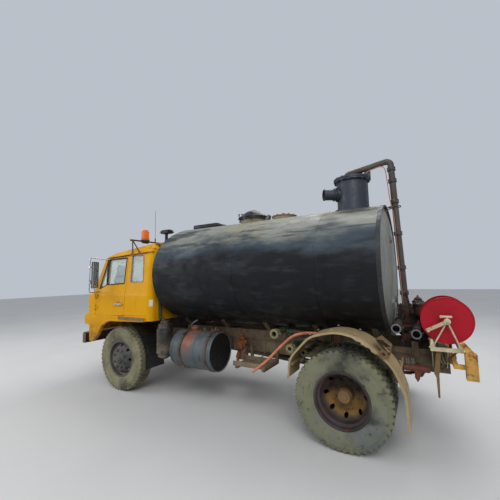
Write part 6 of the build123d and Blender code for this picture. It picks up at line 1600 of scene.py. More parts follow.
class TANKER_OT_rear_details(bpy.types.Operator):
    """Adds the lamps, plate, brackets, pipes and bolts at the truck's rear end"""

    bl_idname = "tanker.rear_details"
    bl_label = "Rear details"

    def execute(self, context):
        box_rear = REAR_AXLE_X - 1.24
        lenses, ambers, shells = [], [], []
        for side in (1, -1):
            y = side * 0.95
            for z, group in ((0.905, lenses), (0.98, ambers), (1.045, lenses)):
                radius = 0.034 if z < 1.0 else 0.022
                group.append(turned(
                    [(0, 0), (0, radius), (0.006, radius), (0.012, radius * 0.7), (0.014, 0)],
                    (box_rear + 0.013, y, z), BACK, 32,
                ))
                shells.append(ring((box_rear + 0.003, y, z), BACK, radius + 0.003, 0.003))
            shells += [
                block((box_rear + 0.0475, y, 1.0865), (0.099, 0.104, 0.006), 0.002),
                block((box_rear + 0.0475, y, 0.85), (0.099, 0.104, 0.006), 0.002),
                *bolts([
                    (box_rear + 0.05, y + side * 0.05, z)
                    for z in (0.87, 1.065)
                ], (0, side, 0), 0.012, 0.007),
                ribbon([
                    (box_rear + 0.012, side * 1.001, 0.862), (box_rear + 0.012, side * 1.001, 1.075),
                    (box_rear + 0.085, side * 1.001, 1.075), (box_rear + 0.085, side * 1.001, 0.862),
                ], (0, side * 0.0025, 0), 0.004),
            ]
        finished(lenses, "tail_lenses", "chassis", "amber_plastic", "lens_red")
        finished(ambers, "turn_lenses", "chassis", "amber_plastic", "amber")
        finished(shells, "lamp_box_trim", "chassis", "lamp_box_paint", "lamp_box")
        simple([
            block(rear_at(-1.094, 0, 1.02), (0.004, 0.46, 0.112), 0.001),
        ], "rear_plate", "chassis", "bright_trim", "plate")
        dark = [
            block(rear_at(-1.088, 0, 1.0), (0.008, 0.5, 0.16), 0.002),
            beam(*rear_line((-1.08, 0.18, 0.96), (-1.08, 0.18, 1.08)), 0.03, 0.006),
            beam(*rear_line((-1.08, -0.18, 0.96), (-1.08, -0.18, 1.08)), 0.03, 0.006),
        ]
        # Towing jaw's gussets
        dark += [
            plate(rear_line(
                (-1.05, side * 0.076, 0.76), (-1.05, side * 0.076, 0.93), (-1.13, side * 0.076, 0.856),
                (-1.13, side * 0.076, 0.824),
            ), (0, -side * 0.01, 0), 0.002)
            for side in (1, -1)
        ]
        for side in (1, -1):
            # Bracket plates and U-bolts on the rails behind the rear wheels
            dark += [
                block(rear_at(-0.712, side * 0.426, 0.975), (0.07, 0.012, 0.19), 0.002),
                *bolts([
                    rear_at(-0.712, side * 0.432, z)
                    for z in (0.905, 0.96, 1.015)
                ], (0, side, 0), 0.022, 0.012),
                block(rear_at(-0.64, side * 0.5, 0.842), (0.14, 0.15, 0.012), 0.003),
                *[
                    block(rear_at(x, side * 0.45, 0.8), (0.01, 0.06, 0.084), 0.002)
                    for x in (-0.592, -0.64, -0.688)
                ],
            ]
            # Brake pipes along the rails
            for z, y in ((0.925, 0.428), (0.905, 0.43)):
                points = [(x, side * y, z) for x in rear_at(-0.9, REAR_AXLE_X, FRONT_AXLE_X - 0.9)]
                dark.append(tube(points, 0.005))
        finished(dark, "rear_brackets", "chassis", "frame_paint", "frame")
        threads = []
        for side in (1, -1):
            for x, y in ((-0.618, 0.56), (-0.636, 0.56), (-0.672, 0.56), (-0.69, 0.56)):
                threads += [rod(
                    *rear_line((x, side * y, 0.78), (x, side * y, 0.905)), 0.007,
                ), *bolts([rear_at(x, side * y, 0.848)], UP, 0.02, 0.014)]
        finished(threads, "frame_u_bolts", "chassis", "frame_paint", "steel")
        tubes = []
        for side in (1, -1):
            tubes += [
                rod(*rear_line(
                    (-0.59, side * 0.56, 0.792), (-0.85, side * 0.56, 0.792),
                ), 0.036, sides=24),
                beam(*rear_line((-0.72, side * 0.425, 0.792), (-0.72, side * 0.53, 0.792)), 0.05, 0.05),
                plate(rear_line(
                    (-0.69, side * 0.6, 0.78), (-0.76, side * 0.6, 0.78), (-0.745, side * 0.6, 0.69),
                    (-0.72, side * 0.6, 0.65), (-0.695, side * 0.6, 0.7),
                ), (0, -side * 0.012, 0), 0.002),
            ]
        finished(tubes, "red_brown_tubes", "chassis", "rusty_steel", "red_brown")
        lines = []
        for number in range(5):
            x = -0.93 - 0.03 * number
            lines += [
                tube([
                    (REAR_AXLE_X + x + 0.03, 0.48, 1.06), rear_at(x, 0.56, 1.05),
                    (REAR_AXLE_X + x - 0.01, 0.64, 1.0), (REAR_AXLE_X + x - 0.02, 0.66, 0.93),
                    (REAR_AXLE_X + x - 0.05, 0.6, 0.88), (REAR_AXLE_X + x - 0.06, 0.445, 0.87),
                ], 0.007),
                rod((REAR_AXLE_X + x - 0.06, 0.47, 0.87), (REAR_AXLE_X + x - 0.06, 0.425, 0.87), 0.011),
            ]
        finished(lines, "khaki_lines", "chassis", "hose_rubber", "khaki")
        return {"FINISHED"}


class TANKER_OT_fenders(bpy.types.Operator):
    """Adds the torn lip, brackets, ring and bolts of the rear fenders"""

    bl_idname = "tanker.fenders"
    bl_label = "Fender details"

    def execute(self, context):
        for side, word in SIDES:
            y = side * 1.2555
            finished([
                turned([
                    (0, 0.018), (0, 0.042), (0.004, 0.045), (0.012, 0.044), (0.014, 0.036),
                    (0.008, 0.02),
                ], rear_at(-0.452, y, 1.075), (0, side, 0), 32, True),
                ribbon(rear_line(
                    (-0.415, side * 1.1, 1.15), (-0.385, side * 1.1, 1.205), (-0.43, side * 1.1, 1.232),
                    (-0.52, side * 1.1, 1.15), (-0.505, side * 1.1, 1.06), (-0.48, side * 1.1, 1.06),
                ), (0, side * 0.12, 0), 0.01),
                beam(*rear_line((-0.42, side * 1.1, 1.215), (-0.42, side * 1.222, 1.215)), 0.04, 0.014),
                beam(*rear_line((-0.5, side * 1.1, 1.135), (-0.5, side * 1.222, 1.135)), 0.04, 0.014),
            ], f"fender_bracket_{word}", "chassis", "cream_paint", "fender_iron")
            torn = plate(rear_line(
                (-0.13, y, 1.232), (-0.27, y, 1.19), (-0.33, y, 1.15), (-0.395, y, 1.09),
                (-0.385, y, 1.066), (-0.34, y, 1.092), (-0.33, y, 1.118), (-0.285, y, 1.135),
                (-0.262, y, 1.152), (-0.252, y, 1.148), (-0.238, y, 1.176), (-0.2, y, 1.182),
            ), (0, side * 0.0025, 0), 0.0008)
            rust = [torn]
            for x, z in ((0.3, 1.196), (0.06, 1.262), (-0.18, 1.232), (-0.56, 0.93), (0.56, 0.9)):
                places = [rear_at(x, side * across, z) for across in (0.9, 1.22)]
                out = Vector((x, 0, z - 0.62)).normalized()
                rust += bolts([Vector(place) + out * 0.012 for place in places], out, 0.02, 0.008)
            simple(rust, f"fender_edge_{word}", "chassis", "cream_paint", "cream")
        return {"FINISHED"}


# Sides of the frame

FUEL_Y = 0.868
FUEL_Z = 0.79
FUEL_RADIUS = 0.28
FUEL_LENGTH = 0.745


class TANKER_OT_fuel(bpy.types.Operator):
    """Adds the fuel tank's seams, strap bolts, cap, fittings and dark end"""

    bl_idname = "tanker.fuel"
    bl_label = "Fuel tank details"

    def execute(self, context):
        finished([
            *[
                ring((FUEL_X + x, FUEL_Y, FUEL_Z), AHEAD, FUEL_RADIUS, 0.004, 72)
                for x in (0.03, 0.3, 0.715)
            ],
            ring((FUEL_X + 0.002, FUEL_Y, FUEL_Z), AHEAD, FUEL_RADIUS - 0.006, 0.008, 72),
            ring((FUEL_X + FUEL_LENGTH - 0.002, FUEL_Y, FUEL_Z), AHEAD, FUEL_RADIUS - 0.006, 0.008, 72),
        ], "fuel_tank_seams", "chassis", "fuel_tank_paint", "fuel")
        # The recessed end is painted near-black: painted shade in the recess, with oily dirt
        dark_end = turned([
            (0, 0), (0, 0.266), (0.01, 0.268), (0.018, 0.258), (0.006, 0.2), (0.004, 0),
        ], (FUEL_X + 0.024, FUEL_Y, FUEL_Z), BACK, 72)
        finished([dark_end], "fuel_tank_end", "chassis", "fuel_tank_paint", "deep_black")
        parts = []
        for x in (FUEL_X + 0.09, FUEL_X + 0.56):
            hoop = []
            for step in range(49):
                turn = radians(-150 + 300 * step / 48)
                hoop.append((
                    x - 0.019, FUEL_Y + (FUEL_RADIUS + 0.009) * cos(turn),
                    FUEL_Z + (FUEL_RADIUS + 0.009) * sin(turn),
                ))
            parts.append(ribbon(hoop, (0.038, 0, 0), 0.005, cyclic=False))
            for turn in (200, 62):
                angle = radians(turn)
                place = Vector((x, FUEL_Y + 0.3 * cos(angle), FUEL_Z + 0.3 * sin(angle)))
                way = Vector((0, -sin(angle), cos(angle)))
                parts += [
                    rod(place - way * 0.055, place + way * 0.055, 0.008),
                    *bolts([place + way * 0.035], way, 0.022, 0.014),
                    block(place - way * 0.03, (0.05, 0.024, 0.024), 0.004, (angle, 0, 0)),
                ]
        finished(parts, "fuel_strap_bolts", "chassis", "frame_paint", "cleaner")
        cap_x = FUEL_X + 0.47
        top = FUEL_Z + FUEL_RADIUS
        finished([
            turned([
                (0, 0), (0, 0.054), (0.018, 0.054), (0.026, 0.046), (0.028, 0.02), (0.034, 0.016),
                (0.034, 0),
            ], (cap_x, FUEL_Y, top + 0.03), UP, 24),
            turned([
                (0, 0.03), (0, 0.078), (0.006, 0.074), (0.012, 0.04), (0.012, 0.03),
            ], (cap_x, FUEL_Y, top - 0.008), UP, 36, True),
            beam(
                (cap_x - 0.04, FUEL_Y, top + 0.066), (cap_x + 0.04, FUEL_Y, top + 0.066),
                0.012, 0.012,
            ),
        ], "fuel_cap_details", "chassis", "fuel_tank_paint", "rust_orange")
        finished([
            tube([
                (FUEL_X + 0.545, FUEL_Y - 0.02, top - 0.012), (FUEL_X + 0.566, FUEL_Y - 0.02, 1.11),
                (FUEL_X + 0.575, FUEL_Y - 0.02, 1.15), (FUEL_X + 0.5, FUEL_Y - 0.02, 1.2),
                (FUEL_X + 0.45, FUEL_Y - 0.02, 1.222),
            ], 0.01),
            rod(
                (FUEL_X + 0.545, FUEL_Y - 0.02, top - 0.012),
                (FUEL_X + 0.545, FUEL_Y - 0.02, top + 0.018), 0.022,
            ),
        ], "breather_pipe", "chassis", "bright_trim", "ring")
        valves = []
        for x, tall in ((0.09, 0.03), (0.135, 0.046), (0.19, 0.026), (0.34, 0.03)):
            z = sqrt(FUEL_RADIUS**2 - 0.06**2) + FUEL_Z
            valves += [turned(
                [
                    (0, 0), (0, 0.026), (0.01, 0.026), (0.012, 0.017), (tall, 0.017),
                    (tall + 0.004, 0.01), (tall + 0.004, 0),
                ],
                (FUEL_X + x, FUEL_Y - 0.06, z - 0.004), UP, 20,
            ), *bolts([(FUEL_X + x, FUEL_Y - 0.06, z + tall)], UP, 0.018, 0.01)]
        valves.append(tube(
            [
                (FUEL_X + 0.135, FUEL_Y - 0.06, top + 0.05),
                (FUEL_X + 0.135, FUEL_Y - 0.1, top + 0.056), (FUEL_X + 0.15, FUEL_Y - 0.3, top - 0.04),
                (FUEL_X + 0.16, 0.44, 0.96),
            ],
            0.007,
        ))
        finished(valves, "fuel_valves", "chassis", "rusty_steel", "rusty")
        return {"FINISHED"}


class TANKER_OT_side_pipes(bpy.types.Operator):
    """Adds the flanges, valves and casting on the left side, and the bolts along the rails"""

    bl_idname = "tanker.side_pipes"
    bl_label = "Side pipes"

    def execute(self, context):
        ends = []
        for x, y, z, radius in (
            (0.864, 1.0, 1.135, 0.048), (0.66, 0.985, 0.965, 0.04), (0.5, 0.94, 0.925, 0.036),
        ):
            place = rear_at(x, y - 0.016, z)
            ends.append(turned(
                [
                    (0, radius - 0.01), (0, radius + 0.01), (0.005, radius + 0.014),
                    (0.014, radius + 0.014), (0.018, radius + 0.006), (0.018, radius - 0.016),
                ],
                place, LEFT, 36, True,
            ))
            for side in (1, -1):
                ends += [
                    block(
                        (place[0] + side * (radius + 0.014), y - 0.05, z),
                        (0.022, 0.04, 0.02), 0.004,
                    ),
                    rod(
                        (place[0] + side * (radius + 0.014), y - 0.09, z),
                        (place[0] + side * (radius + 0.014), y - 0.02, z), 0.006,
                    ),
                ]
            ends.append(ring((place[0], y - 0.078, z), LEFT, radius + 0.002, 0.006))
        finished(ends, "drain_flanges", "chassis", "dark_pipe_paint", "khaki")
        finished([
            tube(rear_line(
                (1.0, 0.56, 1.095), (0.93, 0.64, 1.115), (0.76, 0.66, 1.125), (0.56, 0.64, 1.105),
                (0.43, 0.56, 1.08),
            ), 0.03, resolution=10),
            tube(rear_line(
                (0.78, 0.7, 0.92), (0.7, 0.76, 1.01), (0.6, 0.78, 1.055), (0.47, 0.76, 1.055),
                (0.38, 0.66, 1.02), (0.36, 0.44, 0.96),
            ), 0.02, resolution=10),
        ], "green_pipes", "chassis", "dark_pipe_paint", "green")
        finished([
            turned([
                (0, 0), (0, 0.062), (0.03, 0.07), (0.06, 0.05), (0.09, 0.056), (0.1, 0.04), (0.104, 0),
            ], rear_at(1.64, 0.516, 0.84), LEFT, 28),
            turned([
                (0, 0), (0, 0.04), (0.05, 0.046), (0.056, 0.03), (0.11, 0.026), (0.114, 0),
            ], rear_at(1.64, 0.5, 0.905), (0, 0.5, 1), 24),
            beam(*rear_line((1.69, 0.47, 0.78), (1.7, 0.56, 0.64)), 0.05, 0.07, bevel=0.012),
            rod(*rear_line((1.56, 0.5, 0.88), (1.74, 0.5, 0.88)), 0.03, sides=20),
            rod(*rear_line((1.7, 0.56, 0.66), (1.7, 0.56, 0.6)), 0.022),
            *bolts([
                (REAR_AXLE_X + 1.645 + dx, 0.52, 0.762 + dz)
                for dx in (-0.038, 0.038)
                for dz in (-0.11, -0.04, 0.12)
            ], LEFT, 0.022, 0.014),
        ], "rail_casting", "chassis", "rusty_steel", "rust_orange")
        rail = []
        for side in (1, -1):
            y = side * 0.42
            for number in range(15):
                x = REAR_AXLE_X - 0.98 + number * 0.3
                rail += bolts([(x, y, z) for z in (0.77, 0.95)], (0, side, 0), 0.02, 0.011)
            for cross in (-1.005, -0.64, 0.7, 1.5, 2.35):
                places = [
                    (REAR_AXLE_X + cross + dx, y, 0.86 + dz)
                    for dx in (-0.025, 0.025)
                    for dz in (-0.045, 0.045)
                ]
                rail += bolts(places, (0, side, 0), 0.02, 0.012)
            rail += [block(rear_at(1.3, side * 0.4255, 0.835), (0.04, 0.01, 0.3), 0.002), *bolts(
                [rear_at(1.3, side * 0.4305, z) for z in (0.705, 0.735, 0.935, 0.968)], (0, side, 0),
                0.018, 0.01,
            )]
            # Spring hanger bolts and the bearers' shear plates
            for x in (FRONT_AXLE_X - 0.69, FRONT_AXLE_X + 0.69, REAR_AXLE_X - 0.74, REAR_AXLE_X + 0.74):
                rail += bolts([
                    (x + dx, y, z)
                    for dx in (-0.045, 0.045)
                    for z in (0.752, 0.8)
                ], (0, side, 0), 0.022, 0.013)
            for x in (-0.3, 0.2, 0.98, 1.75, 2.3):
                rail += [block(rear_at(x, side * 0.426, 1.0), (0.09, 0.012, 0.14), 0.002), *bolts(
                    [
                        (REAR_AXLE_X + x + dx, side * 0.432, z)
                        for dx in (-0.028, 0.028)
                        for z in (0.955, 1.04)
                    ],
                    (0, side, 0), 0.016, 0.01,
                )]
        finished(rail, "rail_bolts", "chassis", "frame_paint", "rail")
        finished([
            tube(rear_line(
                (1.3, 0.432, 0.7), (1.3, 0.47, 0.69), (1.35, 0.56, 0.664), (1.43, 0.64, 0.652),
            ), 0.008),
            rod(*rear_line((1.3, 0.424, 0.7), (1.3, 0.44, 0.7)), 0.016),
        ], "pale_hook", "chassis", "bright_trim", "ring")
        tray = []
        for x in (1.09, 1.51):
            for y in (0.5, 0.64, 0.86):
                tray += bolts([rear_at(x, y, 0.646)], UP, 0.016, 0.01)
        tray += [
            *[
                block((REAR_AXLE_X + 1.08 + number * 0.088, 0.75, 0.648), (0.01, 0.32, 0.006), 0.001)
                for number in range(6)
            ],
            plate(rear_line(
                (1.552, 0.921, 0.64), (1.552, 0.921, 0.7), (1.44, 0.921, 0.716), (1.4, 0.921, 0.7),
                (1.06, 0.921, 0.69), (1.05, 0.921, 0.64),
            ), (0, 0.003, 0), 0.001),
        ]
        finished(tray, "tray_details", "chassis", "frame_paint", "dusty")
        return {"FINISHED"}


class TANKER_OT_cleaner(bpy.types.Operator):
    """Adds the air cleaner's bands, cone ribs, clips and intake louvres"""

    bl_idname = "tanker.cleaner"
    bl_label = "Air cleaner details"

    def execute(self, context):
        x, y = FRONT_AXLE_X - 0.904, 0.95
        parts = [
            *[
                ring((x, y, z), UP, radius, thick, 48)
                for z, radius, thick in (
                    (0.7, 0.128, 0.006), (0.82, 0.128, 0.005), (1.0, 0.128, 0.005),
                    (1.062, 0.126, 0.007),
                )
            ],
            turned([
                (0, 0), (0, 0.108), (0.024, 0.112), (0.07, 0.086), (0.096, 0.064), (0.1, 0),
            ], (x, y, 1.064), UP, 40),
            turned([
                (0, 0), (0, 0.098), (0.016, 0.1), (0.03, 0.07), (0.05, 0.04), (0.056, 0),
            ], (x, y, 0.648), DOWN, 40),
        ]
        for angle in (20, 110, 200, 290):
            turn = radians(angle)
            place = (x + 0.132 * cos(turn), y + 0.132 * sin(turn), 0.7)
            parts.append(beam((place[0], place[1], 0.68), (place[0], place[1], 0.745), 0.022, 0.008))
        finished(parts, "cleaner_bands", "chassis", "dark_pipe_paint", "cleaner")
        finished([
            ring((x, y, 1.176), UP, 0.06, 0.008, 36),
            block((x, y + 0.07, 1.176), (0.026, 0.022, 0.026), 0.004),
            *bolts([(x, y + 0.08, 1.176)], LEFT, 0.014, 0.01),
        ], "cleaner_clamp", "chassis", "rusty_steel", "rusty")
        stack_x = FRONT_AXLE_X - 0.774
        cap = [*[
            block(
                (stack_x - 0.01, 0.8, 2.6735 + 0.0095 * number),
                (0.236 - 0.008 * number, 0.128 - 0.006 * number, 0.004), 0.0015,
            )
            for number in range(5)
        ]]
        for z in (1.7, 2.25):
            cap += [ring((stack_x, 0.93, z), UP, 0.027, 0.004, 28), beam(
                (stack_x, 0.93, z), front_at(-0.745, 0.93, z), 0.02, 0.006,
            )]
        finished(cap, "intake_cap", "chassis", "dark_pipe_paint", "cleaner")
        return {"FINISHED"}


class TANKER_OT_roof(bpy.types.Operator):
    """Adds the gutters' rusty edge, the rack's feet, the beacon's base and the aerial's spring"""

    bl_idname = "tanker.roof"
    bl_label = "Roof details"

    def execute(self, context):
        rusty = []
        for side in (1, -1):
            line = [
                front_at(x, side * (side_y(FRONT_AXLE_X + x, 2.28) + 0.026), z)
                for x, z in ((0.4, 2.283), (-0.1, 2.3065), (-0.64, 2.3315))
            ]
            rusty.append(tube(line, 0.0055, resolution=6, smoothness=4))
            for x in (-0.214, -0.404):
                z = 2.3 - x * 0.0467
                rusty += [
                    block(front_at(x, side * 1.05, z + 0.02), (0.06, 0.034, 0.012), 0.002),
                    *bolts([
                        (FRONT_AXLE_X + x + dx, side * 1.052, z + 0.026)
                        for dx in (-0.018, 0.018)
                    ], UP, 0.012, 0.008),
                ]
            rusty.append(rod((BEACON_X, side * 1.046, 2.566), (BEACON_X, side * 1.09, 2.566), 0.016))
        rusty.append(ring((BEACON_X, BEACON_Y, 2.612), UP, 0.07, 0.006, 48))
        finished(rusty, "roof_iron", "cab", "frame_paint", "rusty")
        finished([
            turned([
                (0, 0.06), (0, 0.079), (0.026, 0.079), (0.036, 0.074), (0.044, 0.07), (0.044, 0.06),
            ], (BEACON_X, BEACON_Y, 2.568), UP, 48, True),
            rod((BEACON_X, 0.7, 2.552), (BEACON_X, 0.84, 2.552), 0.018),
        ], "beacon_base", "cab", "black_plastic", "black_plastic")
        ribs = []
        for number in range(20):
            turn = TURN * number / 20
            x = BEACON_X + 0.0675 * cos(turn)
            y = BEACON_Y + 0.0675 * sin(turn)
            ribs.append(rod((x, y, 2.612), (x, y, 2.752), 0.0035, sides=6))
        ribs.append(ring((BEACON_X, BEACON_Y, 2.755), UP, 0.062, 0.007, 40))
        finished(ribs, "beacon_ribs", "cab", "amber_plastic", "amber")
        finished([
            ring((BEACON_X, 0.53, 2.6 + 0.006 * number), UP, 0.008, 0.003, 16) for number in range(9)
        ], "aerial_spring", "cab", "black_plastic", "rubber_black")
        return {"FINISHED"}


class TANKER_OT_front(bpy.types.Operator):
    """Adds the headlamp rings, grille bars, corner lenses, plate, hooks and bumper bolts"""

    bl_idname = "tanker.front"
    bl_label = "Front details"

    def execute(self, context):
        rings = []
        for side in (1, -1):
            for y in (0.675, 0.865):
                place = front_at(1.0865, side * y, 1.155)
                rings.append(turned(
                    [(0, 0.068), (0.0, 0.08), (0.0015, 0.082), (0.0015, 0.074)], place, AHEAD, 48, True,
                ))
        rings += [
            ribbon([
                front_at(1.0465, y, z)
                for y, z in ((-0.558, 1.066), (-0.558, 1.244), (0.558, 1.244), (0.558, 1.066))
            ], (0.006, 0, 0), 0.01),
            *[
                block(front_at(1.04, 0, z - 0.019), (0.014, 1.03, 0.004), 0.001)
                for z in (1.098, 1.136, 1.174, 1.212)
            ],
        ]
        finished(rings, "front_rings", "cab", "bright_trim", "bright")
        lenses = []
        for side in (1, -1):
            outline_points = front_line(
                (1.034, side * 0.98, 1.085), (1.034, side * 1.098, 1.085), (1.034, side * 1.098, 1.225),
                (1.034, side * 0.98, 1.225),
            )
            lenses += [plate(outline_points, (0.01, 0, 0), 0.003), *[
                block(front_at(1.045, side * 1.039, 1.1 + number * 0.022), (0.004, 0.108, 0.006), 0.001)
                for number in range(6)
            ]]
        finished(lenses, "corner_lenses", "cab", "amber_plastic", "amber")
        iron = []
        for side in (1, -1):
            for y in (0.3, 0.7, 0.98):
                iron += bolts([front_at(1.192, side * y, z) for z in (0.73, 0.85)], AHEAD, 0.02, -0.008)
            iron += [beam(
                *front_line((1.11, side * 0.42, 0.7), (1.11, side * 0.42, 0.64)), 0.03, 0.07,
            ), ring(front_at(1.11, side * 0.42, 0.625), LEFT, 0.034, 0.011, 28)]
            # Dark caps on the bumper's ends
            iron.append(plate(
                front_line(
                    (1.034, side * 1.079, 0.698), (1.034, side * 1.079, 0.882),
                    (1.126, side * 1.079, 0.882), (1.126, side * 1.079, 0.698),
                ),
                (0, side * 0.008, 0), 0.002,
            ))
        finished(iron, "bumper_iron", "chassis", "frame_paint", "frame")
        simple([
            block(front_at(1.1885, 0, 0.79), (0.006, 0.46, 0.112), 0.001),
        ], "front_plate", "chassis", "bright_trim", "plate")
        return {"FINISHED"}


# Seats: a firm frame, with a cushion and a backrest blown up like upholstery


SEAT_Y = 0.65
PAD_GRAIN = 0.011
FILL_PRESSURE = 4.0
FILL_FRAMES = 20
MOST_SWELL = 0.012
CROWN = 0.01
SEAM_WIDTH = 0.016
SEAM_DEPTH = 0.01


def upholstered(size, channels):
    # A pad about the origin, filled by a short cloth run, with sewn channels across its front.
    pad = block((0, 0, 0), size, min(size) * 0.3)
    apply_modifier(pad, "REMESH", mode="VOXEL", voxel_size=PAD_GRAIN)
    before = [vertex.co.copy() for vertex in pad.data.vertices]
    cloth = pad.modifiers.new("Fill", "CLOTH")
    cloth.settings.use_pressure = True
    cloth.settings.uniform_pressure_force = FILL_PRESSURE
    cloth.settings.quality = 4
    cloth.settings.effector_weights.gravity = 0.0
    cloth.point_cache.frame_start = 1
    cloth.point_cache.frame_end = FILL_FRAMES
    for number in range(1, FILL_FRAMES + 1):
        bpy.context.scene.frame_set(number)
    pick(pad)
    bpy.ops.object.modifier_apply(modifier=cloth.name)
    bpy.context.scene.frame_set(1)
    for vertex, start in zip(pad.data.vertices, before):
        step = vertex.co - start
        if step.length > MOST_SWELL:
            vertex.co = start + step.normalized() * MOST_SWELL
    half_width, half_height = size[1] / 2, size[2] / 2
    for vertex in pad.data.vertices:
        crown = (1 - (vertex.co.y / half_width) ** 2) * (1 - (2 * vertex.co.x / size[0]) ** 2)
        if vertex.co.z > 0:
            vertex.co.z += CROWN * max(crown, 0)
            for line in channels:
                near = abs(vertex.co.y - line * half_width) / SEAM_WIDTH
                if near < 1:
                    vertex.co.z -= SEAM_DEPTH * (1 - near * near) * vertex.co.z / half_height
    apply_modifier(pad, "SMOOTH", factor=0.5, iterations=3)
    apply_modifier(pad, "SUBSURF", levels=1, render_levels=1)
    return smooth(pad, 60)


class TANKER_OT_seats(bpy.types.Operator):
    """Makes the padded seats with their frames, and the gear lever"""

    bl_idname = "tanker.seats"
    bl_label = "Seats"

    def execute(self, context):
        cushion = upholstered((0.42, 0.45, 0.11), (-0.45, 0.0, 0.45))
        back = upholstered((0.52, 0.44, 0.086), (-0.45, 0.0, 0.45))
        lean = radians(77.1)
        for side, word in SIDES:
            seat = copy_of(cushion, f"seat_cushion_{word}")
            place = Matrix.Translation(front_at(-0.085, side * SEAT_Y, 1.612))
            seat.data.transform(place @ Matrix.Rotation(radians(-2), 4, "Y"))
            placed(seat, "cab", "seat_fabric", FINISH["seat"], "seats")
            rest = copy_of(back, f"seat_back_{word}")
            place = Matrix.Translation(front_at(-0.396, side * SEAT_Y, 1.875))
            rest.data.transform(place @ Matrix.Rotation(lean, 4, "Y"))
            placed(rest, "cab", "seat_fabric", FINISH["seat"], "seats")
            finished(
                [
                    block(front_at(-0.12, side * SEAT_Y, 1.394), (0.4, 0.42, 0.318), 0.02),
                    block(front_at(-0.1, side * SEAT_Y, 1.556), (0.41, 0.44, 0.014), 0.004),
                    beam(*front_line(
                        (-0.345, side * 0.86, 1.56), (-0.45, side * 0.86, 2.0),
                    ), 0.02, 0.034),
                    beam(*front_line(
                        (-0.345, side * 0.44, 1.56), (-0.45, side * 0.44, 2.0),
                    ), 0.02, 0.034),
                ],
                f"seat_frame_{word}", "cab", "black_plastic", "black_plastic", "seats",
            )
        bpy.data.objects.remove(cushion)
        bpy.data.objects.remove(back)
        finished([
            tube(front_line(
                (0.3, 0.3, 1.235), (0.3, 0.3, 1.42), (0.27, 0.31, 1.6), (0.24, 0.33, 1.72),
            ), 0.009),
            turned([
                (0, 0), (0.004, 0.018), (0.02, 0.026), (0.038, 0.024), (0.05, 0.012), (0.052, 0),
            ], front_at(0.242, 0.329, 1.705), (-0.1, 0.1, 1), 24),
            turned([
                (0, 0), (0, 0.08), (0.012, 0.076), (0.05, 0.03), (0.07, 0.016), (0.07, 0),
            ], front_at(0.3, 0.3, 1.229), UP, 28),
        ], "gear_lever", "cab", "dashboard_plastic", "rubber_black")
        return {"FINISHED"}


